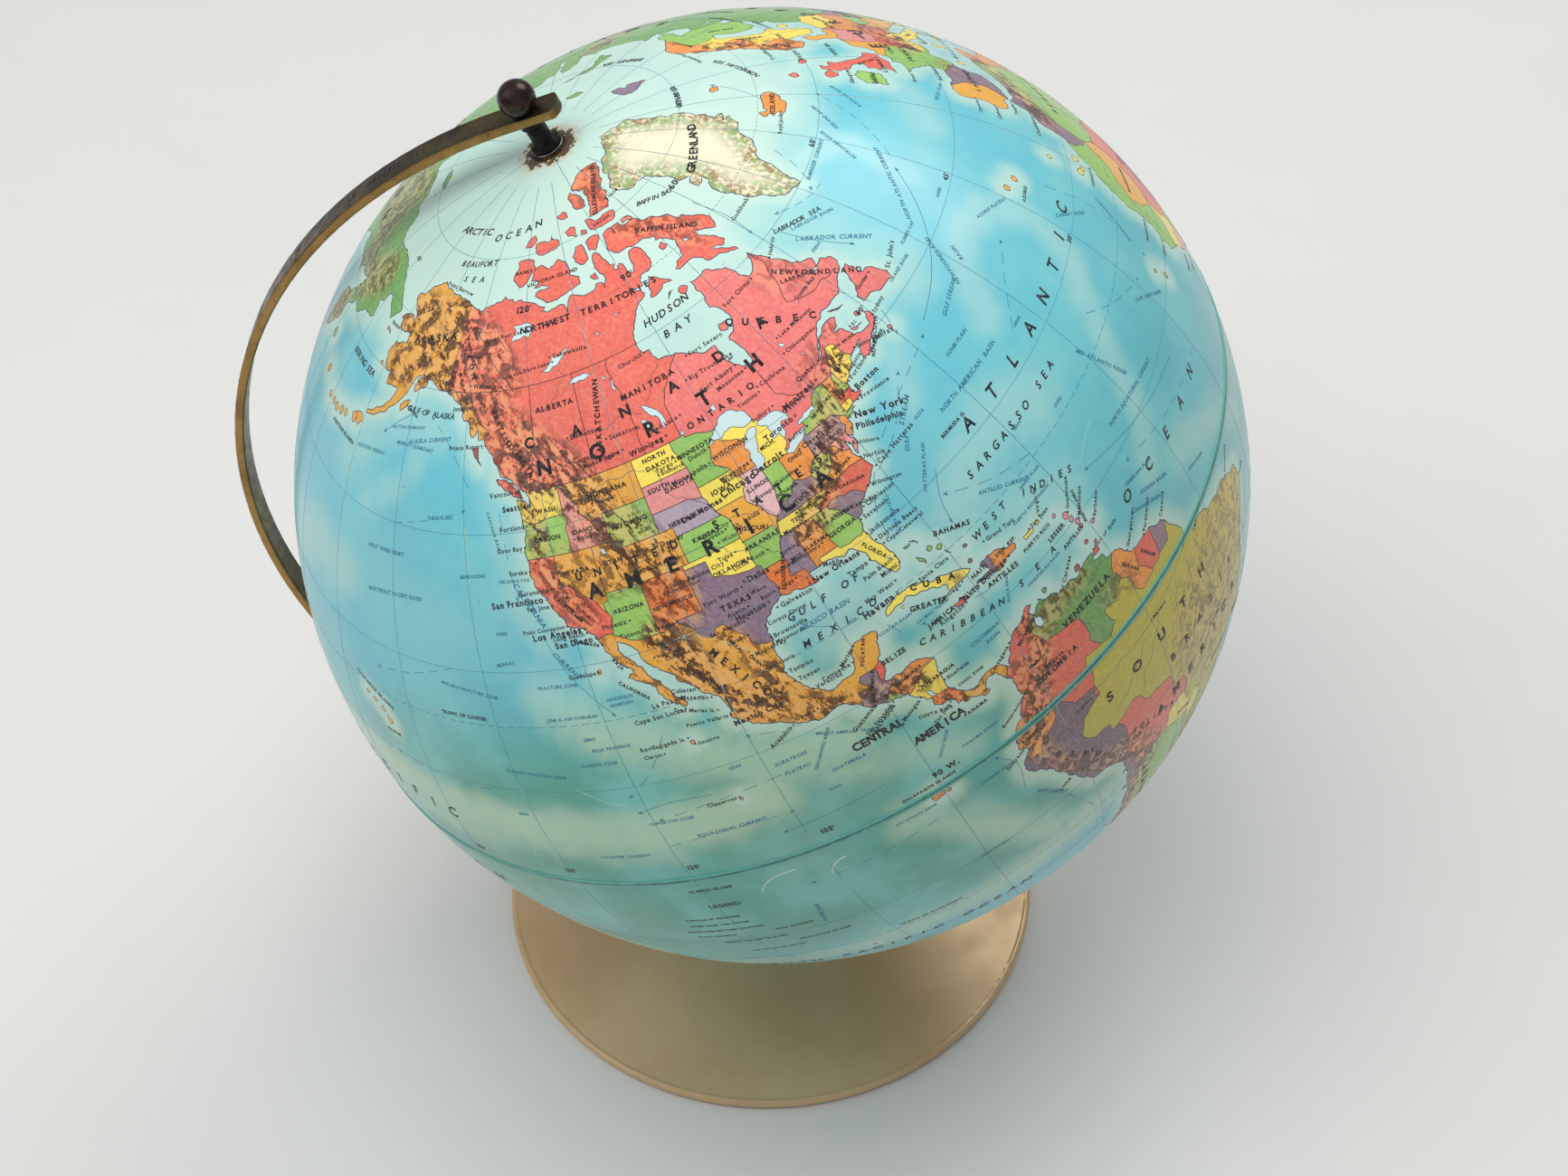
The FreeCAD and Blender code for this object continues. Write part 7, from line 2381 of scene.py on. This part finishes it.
def printed_map():
    """Coloured relief map on paper under old, slightly worn varnish; bare board on the inside."""
    look = Look("printed_map_paper", Coat_Weight=0.35, Coat_Roughness=0.16, Coat_IOR=1.45, IOR=1.45)
    kind = look.attribute("kind")
    on_land = look.math("GREATER_THAN", kind, (LAND_KIND + LAKE_KIND) / 2)
    on_lake = look.times(look.math("GREATER_THAN", kind, (LAKE_KIND + SEA_KIND) / 2),
                         look.math("LESS_THAN", kind, (LAND_KIND + LAKE_KIND) / 2))
    colour = look.mix(on_land, sea_colour(look), land_colour(look))
    colour = look.mix(on_lake, colour, tint(*LAKE))

    # age: yellowed varnish, brown specks, open seams, hair scratches
    colour = look.mix(look.band(look.noise(0.012, 4), 0.42, 0.7, 0.0, 0.10), colour, tint(198, 170, 104))
    speck = look.band(look.noise(0.45, 2, 0.4), 0.765, 0.80)
    colour = look.mix(look.times(speck, 0.45), colour, tint(122, 96, 60))
    seam, scratch = seams(look), hair_scratches(look)
    colour = look.mix(look.times(seam, 0.8), colour, tint(218, 214, 190))
    colour = look.mix(look.times(scratch, 0.55), colour, tint(224, 226, 208))

    # the bare pole, where the paper has torn away in a frayed ring, its board painted dark partly as painted
    # shade
    #     # under the spool, and the unprinted inside
    from_pole = look.minus(MAP_R / MM, look.math("ABSOLUTE", look.along(NORTH)))
    torn = look.plus(from_pole, look.times(look.minus(look.noise(0.42, 4, 0.6), 0.5), 0.62))
    bare = look.band(torn, 0.20, 0.23, 1.0, 0.0)
    frayed = look.band(torn, 0.28, 0.36, 1.0, 0.0)
    colour = look.mix(look.times(frayed, 0.75), colour, tint(206, 200, 178))
    # bare board round the spool: torn paper, darkened as painted shade under the spool
    colour = look.mix(bare, colour, look.mix(look.noise(0.9, 4), tint(112, 92, 66), tint(70, 56, 42)))
    inside_board = look.mix(look.noise(0.5, 5), tint(150, 138, 116), tint(116, 104, 86))
    colour = look.mix(look.math("LESS_THAN", kind, (SEA_KIND + INSIDE_KIND) / 2), colour, inside_board)
    look.use("Base Color", colour)

    rough = look.band(look.noise(0.03, 4), 0.3, 0.7, 0.30, 0.44)
    look.use("Roughness", look.math("ADD", rough, look.times(look.plus(bare, scratch), 0.3), True))
    grain = look.plus(look.times(look.noise(1.8, 3), 0.12), look.times(look.noise(0.16, 3), 1.0))
    look.bump(look.minus(grain, look.times(look.plus(bare, seam), 1.4)), 0.05 * MM, 0.6)
    return look.material


def ink(name, rgb, fade):
    """Printing ink under the varnish, worn a little thin in places."""
    look = Look(name, Coat_Weight=0.3, Coat_Roughness=0.2, Roughness=0.45)
    worn = look.band(look.noise(0.7, 3), 0.45, 0.8, 0.0, fade)
    faded = tint(*(c + (WORN_INK - c) * 0.45 for c in rgb))
    look.use("Base Color", look.mix(worn, tint(*rgb), faded))
    return look.material


def gold_lacquer():
    """Champagne gold lacquer on spun steel, with a faint flake, smoky patches and rubbed places."""
    look = Look("gold_lacquer_on_steel", Coat_Weight=0.22, Coat_Roughness=0.32, Metallic=0.28)
    flake = look.noise(6.0, 2, 0.5)
    patch = look.noise(0.02, 4)
    colour = look.mix(look.band(patch, 0.35, 0.7), tint(*GOLD_LIGHT), tint(*GOLD_DARK))
    colour = look.mix(look.band(flake, 0.4, 0.7, 0.0, 0.25), colour, tint(236, 214, 160))
    worn = look.times(look.band(look.noise(0.5, 4, 0.6), 0.70, 0.76), 0.5)
    colour = look.mix(worn, colour, tint(112, 92, 58))
    look.use("Base Color", colour)
    look.use("Roughness", look.band(look.noise(0.08, 4), 0.3, 0.75, 0.34, 0.46))
    look.bump(look.plus(look.times(flake, 0.3), look.noise(0.3, 3)), 0.03 * MM, 0.35)
    return look.material


def antique_brass():
    """Brass darkened to brown on its flat faces, with polish on the edges and sides."""
    look = Look("antique_brass", Metallic=0.9, Coat_Weight=0.15, Coat_Roughness=0.3)
    normal = look.nodes.new("ShaderNodeTexCoord").outputs["Normal"]
    edge = look.band(look.math("ABSOLUTE", look.along(SIDE, normal)), 0.25, 0.95)
    smoke = look.noise(0.09, 5, 0.62)
    edge = look.math("MULTIPLY", edge, look.band(smoke, 0.25, 0.6, 0.55, 1.0), True)
    face = look.mix(look.band(smoke, 0.35, 0.68), tint(72, 60, 40), tint(116, 98, 66))
    colour = look.mix(edge, face, tint(172, 134, 76))
    colour = look.mix(look.band(look.noise(0.8, 4, 0.6), 0.60, 0.72, 0.0, 0.7), colour, tint(60, 48, 34))
    look.use("Base Color", colour)
    look.use("Roughness", look.band(look.noise(0.35, 4), 0.3, 0.7, 0.30, 0.5))
    brushed = look.noise(1.0, 3, 0.6, 0.0, look.scaled(look.mm, (0.4, 6.0, 0.4)))
    look.bump(look.plus(brushed, look.times(look.noise(0.8, 4), 0.6)), 0.02 * MM, 0.5)
    return look.material


def worn_metal(name, dark, light, metallic, rough_low, rough_high, scale=0.35, coat=0.0, bump=0.02):
    """A metal in two tones that drift into each other, with specks of the darker one."""
    look = Look(name, Metallic=metallic, Coat_Weight=coat, Coat_Roughness=0.2)
    drift = look.noise(scale, 5, 0.6)
    colour = look.mix(look.band(drift, 0.35, 0.66), tint(*dark), tint(*light))
    speck = look.band(look.noise(scale * 5, 3), 0.62, 0.74, 0.0, 0.6)
    look.use("Base Color", look.mix(speck, colour, tint(*(c * 0.55 for c in dark))))
    look.use("Roughness", look.band(look.noise(scale * 1.6, 4), 0.3, 0.7, rough_low, rough_high))
    look.bump(look.noise(scale * 8, 4), bump * MM, 0.5)
    return look.material


def rough_board(name, light, dark, scale, sheen=0.0):
    """Pressed board, fibre or felt: matt, with short fibres."""
    look = Look(name, Roughness=0.92, Sheen_Weight=sheen, Sheen_Roughness=0.5)
    fibres = look.noise(scale, 5, 0.7, 0.0, look.scaled(look.mm, (1.0, 0.3, 1.0)))
    across = look.noise(scale, 5, 0.7, 0.0, look.scaled(look.mm, (0.3, 1.0, 1.0)))
    mixed = look.times(look.plus(fibres, across), 0.5)
    look.use("Base Color", look.mix(look.band(mixed, 0.38, 0.62), tint(*dark), tint(*light)))
    look.bump(mixed, 0.15 * MM, 0.8)
    return look.material


def equator_tape_look():
    """The sea-coloured tape over the joint, with the equator printed as a dark teal line along its middle."""
    look = Look("printed_equator_tape", Roughness=0.42, Coat_Weight=0.2, Coat_Roughness=0.25)
    height = look.math("ABSOLUTE", look.along(NORTH))
    line = look.band(height, 0.25, 0.75, 1.0, 0.0)
    colour = look.mix(look.noise(0.1, 4), tint(104, 186, 176), tint(88, 168, 156))
    colour = look.mix(look.times(line, look.band(look.noise(0.2, 4), 0.3, 0.6, 0.6, 1.0)), colour,
                      tint(32, 104, 100))
    rubbed = look.band(look.noise(0.8, 4, 0.6), 0.62, 0.70, 0.0, 0.75)
    look.use("Base Color", look.mix(rubbed, colour, tint(170, 206, 190)))
    look.bump(look.noise(0.9, 4), 0.04 * MM, 0.5)
    return look.material


def floor_look():
    """A matt pale sweep."""
    look = Look("studio_floor", Roughness=0.7)
    shaded = tint(*(c * 0.985 for c in FLOOR))
    look.use("Base Color", look.mix(look.noise(0.02, 3), tint(*FLOOR), shaded))
    return look.material


def dress_frame():
    """Gives each shown CAD node its finish."""
    dark_bronze = worn_metal("dark_bronze", (34, 26, 22), (74, 56, 46), 0.85, 0.22, 0.4, 0.3, 0.3)
    black = worn_metal("black_oxide_steel", (18, 17, 17), (44, 38, 34), 0.7, 0.35, 0.6)
    steel = worn_metal("zinc_plated_steel", (120, 120, 118), (176, 174, 168), 0.95, 0.28, 0.5)
    grimy = worn_metal("grimy_brass_ferrule", (40, 32, 24), (96, 76, 48), 0.7, 0.4, 0.65, 0.8)
    iron = worn_metal("cast_iron", (46, 46, 48), (70, 68, 66), 0.55, 0.55, 0.8, 0.5, 0.0, 0.2)
    brass, gold = antique_brass(), gold_lacquer()
    looks = {
        "base_shell": gold, "arm_saddle": brass, "meridian_arm": brass,
        "base_plate": worn_metal("painted_base_plate", (52, 54, 52), (74, 74, 70), 0.1, 0.5, 0.7),
        "base_weight": iron, "base_felt": rough_board("green_felt", (46, 84, 58), (26, 52, 36), 0.9, 0.4),
        "equator_band": rough_board("raw_joint_board", (150, 136, 110), (112, 98, 76), 0.6),
        "equator_tape": equator_tape_look(),
    }
    fibre = rough_board("red_fibre", (126, 60, 44), (92, 40, 30), 0.8)
    for name, node in frame["nodes"].items():
        if name in looks:
            finish = looks[name]
        elif "finial" in name:
            finish = dark_bronze
        elif "pivot" in name:
            finish = black
        elif "ferrule" in name:
            finish = grimy
        elif "backing_washer" in name:
            finish = fibre
        else:
            finish = steel
        node.data.materials.clear()
        node.data.materials.append(finish)


# Marks on the arm ---------------------------------------------------------------------------------

def arm_place(latitude, size):
    """Maps plane points on to the arm's outer face at a latitude, reading along the arm."""
    def place(points, rise):
        along, aside = points[:, 0] * size, points[:, 1] * size
        angle = math.radians(latitude) + along / ARM_OUTER_R
        out = -np.cos(angle)[:, None] * LEAN + np.sin(angle)[:, None] * NORTH
        return ARC_CENTRE + out * (ARM_OUTER_R + rise) - aside[:, None] * SIDE

    return place


def arm_marks(material):
    """Degree lines every five degrees, a figure at each ten, and the word for them near the top."""
    parts = []
    bar = np.array([[-0.5, -0.5], [0.5, -0.5], [0.5, 0.5], [-0.5, 0.5]])
    bar_faces = np.array([[0, 1, 2], [0, 2, 3]])
    bar_edges = boundary(bar_faces)
    arm_side = ARM_WIDTH / 2 - 0.9 * MM       # where the outer ends of the degree lines lie
    for latitude in range(-85, 86, 5):
        long = 2.6 * MM if latitude % 10 == 0 else 1.5 * MM

        def place(points, rise, latitude=latitude, long=long):
            shape = np.stack([points[:, 0] * 0.35 * MM, points[:, 1] * long + arm_side - long / 2], -1)
            return arm_place(latitude, 1.0)(shape, rise)

        parts.append(slab(bar, bar_faces, bar_edges, place, MARK_RISE))
    words = [(str(abs(n)), n, 2.4 * MM) for n in range(-80, 90, 10)]
    words.append(("DEGREES", 74.9, 2.1 * MM))
    for text, latitude, size in words:
        width = text_width(text, True)
        x = -width / 2
        for char in text:
            points, faces, edges, wide = glyph(char, True)
            shape = points - [0, 0.5] + [x + wide / 2, -0.35]
            parts.append(slab(shape, faces, edges, arm_place(latitude, size), MARK_RISE))
            x += wide + GLYPH_GAP
    points, faces = joined(parts)
    return add_mesh("arm_degree_marks", points, faces, material, "stand")


# Camera, floor and light --------------------------------------------------------------------------

FLOOR_HALF = 12.0                # metres, far enough that no view shows its edge
SENSOR = 36.0                    # mm
LENS_SHARE = 3176 / 1733         # focal length against the picture's width


def make_camera():
    """The photograph's viewpoint: from above the front, leaning a little."""
    azimuth = math.radians(5.63)
    elevation = math.radians(48.572)
    roll = math.radians(-2.131)
    distance, aside, above = 0.928343, 0.003734, -0.032248   # of the camera from the ball
    back = np.array([math.sin(azimuth) * math.cos(elevation), -math.cos(azimuth) * math.cos(elevation),
                     math.sin(elevation)])
    right = np.cross(-back, [0, 0, 1])
    right /= np.linalg.norm(right)
    up = np.cross(right, -back)
    c, s = math.cos(roll), math.sin(roll)
    right, up = right * c + up * s, up * c - right * s
    place = BALL + back * distance + right * aside + up * above
    data = bpy.data.cameras.new("camera")
    data.sensor_width = SENSOR
    data.lens = SENSOR * LENS_SHARE
    data.clip_start = 0.05
    data.clip_end = 40
    camera = bpy.data.objects.new("camera", data)
    bpy.context.scene.collection.objects.link(camera)
    rows = [[*row, p] for row, p in zip(np.stack([right, up, back], 1), place)]
    camera.matrix_world = Matrix(rows + [[0, 0, 0, 1]])
    bpy.context.scene.camera = camera


def area_light(name, place, size, power, colour, mirrored=True):
    """A round soft lamp that faces the ball."""
    data = bpy.data.lights.new(name, "AREA")
    data.shape, data.size, data.energy, data.color = "DISK", size, power, colour
    light = bpy.data.objects.new(name, data)
    bpy.context.scene.collection.objects.link(light)
    light.location = place
    light.visible_glossy = mirrored
    light.rotation_mode = "QUATERNION"
    light.rotation_quaternion = (Vector(place) - Vector(BALL)).to_track_quat("Z", "Y")


def make_stage():
    """A wide pale floor, an even pale sky and three soft lamps; the one overhead gives no reflection."""
    far = FLOOR_HALF
    mesh = bpy.data.meshes.new("floor")
    mesh.from_pydata([(-far, -far, 0), (far, -far, 0), (far, far, 0), (-far, far, 0)], [], [(0, 1, 2, 3)])
    mesh.materials.append(floor_look())
    floor = bpy.data.objects.new("floor", mesh)
    bpy.context.scene.collection.objects.link(floor)
    world = bpy.data.worlds.new("studio")
    world.use_nodes = True
    background = world.node_tree.nodes["Background"]
    background.inputs["Color"].default_value = (0.93, 0.97, 1.0, 1)
    background.inputs["Strength"].default_value = WORLD_LIGHT
    bpy.context.scene.world = world
    area_light("sky", (-0.35, -0.3, 2.1), 1.8, SKY_LIGHT, (1.0, 0.99, 0.97), mirrored=False)
    area_light("key", (0.6, 0.95, 1.7), 1.1, KEY_LIGHT, (1.0, 0.985, 0.96))
    area_light("fill", (-1.3, -0.5, 1.4), 1.6, FILL_LIGHT, (0.95, 0.98, 1.0))
    bpy.context.scene.view_settings.view_transform = "Standard"


# The scene ----------------------------------------------------------------------------------------

dark_ink = ink("dark_ink", (26, 22, 27), 0.22)
build_map(printed_map(), dark_ink, ink("name_ink", (30, 30, 40), 0.22), ink("coast_ink", (38, 60, 92), 0.25),
          ink("blue_ink", (40, 116, 150), 0.3), ink("border_ink", (78, 48, 58), 0.3),
          ink("river_ink", (70, 84, 104), 0.4), ink("scratched_varnish", (214, 226, 208), 0.5))
dress_frame()
arm_marks(ink("arm_engraving", (30, 24, 18), 0.2))
make_camera()
make_stage()
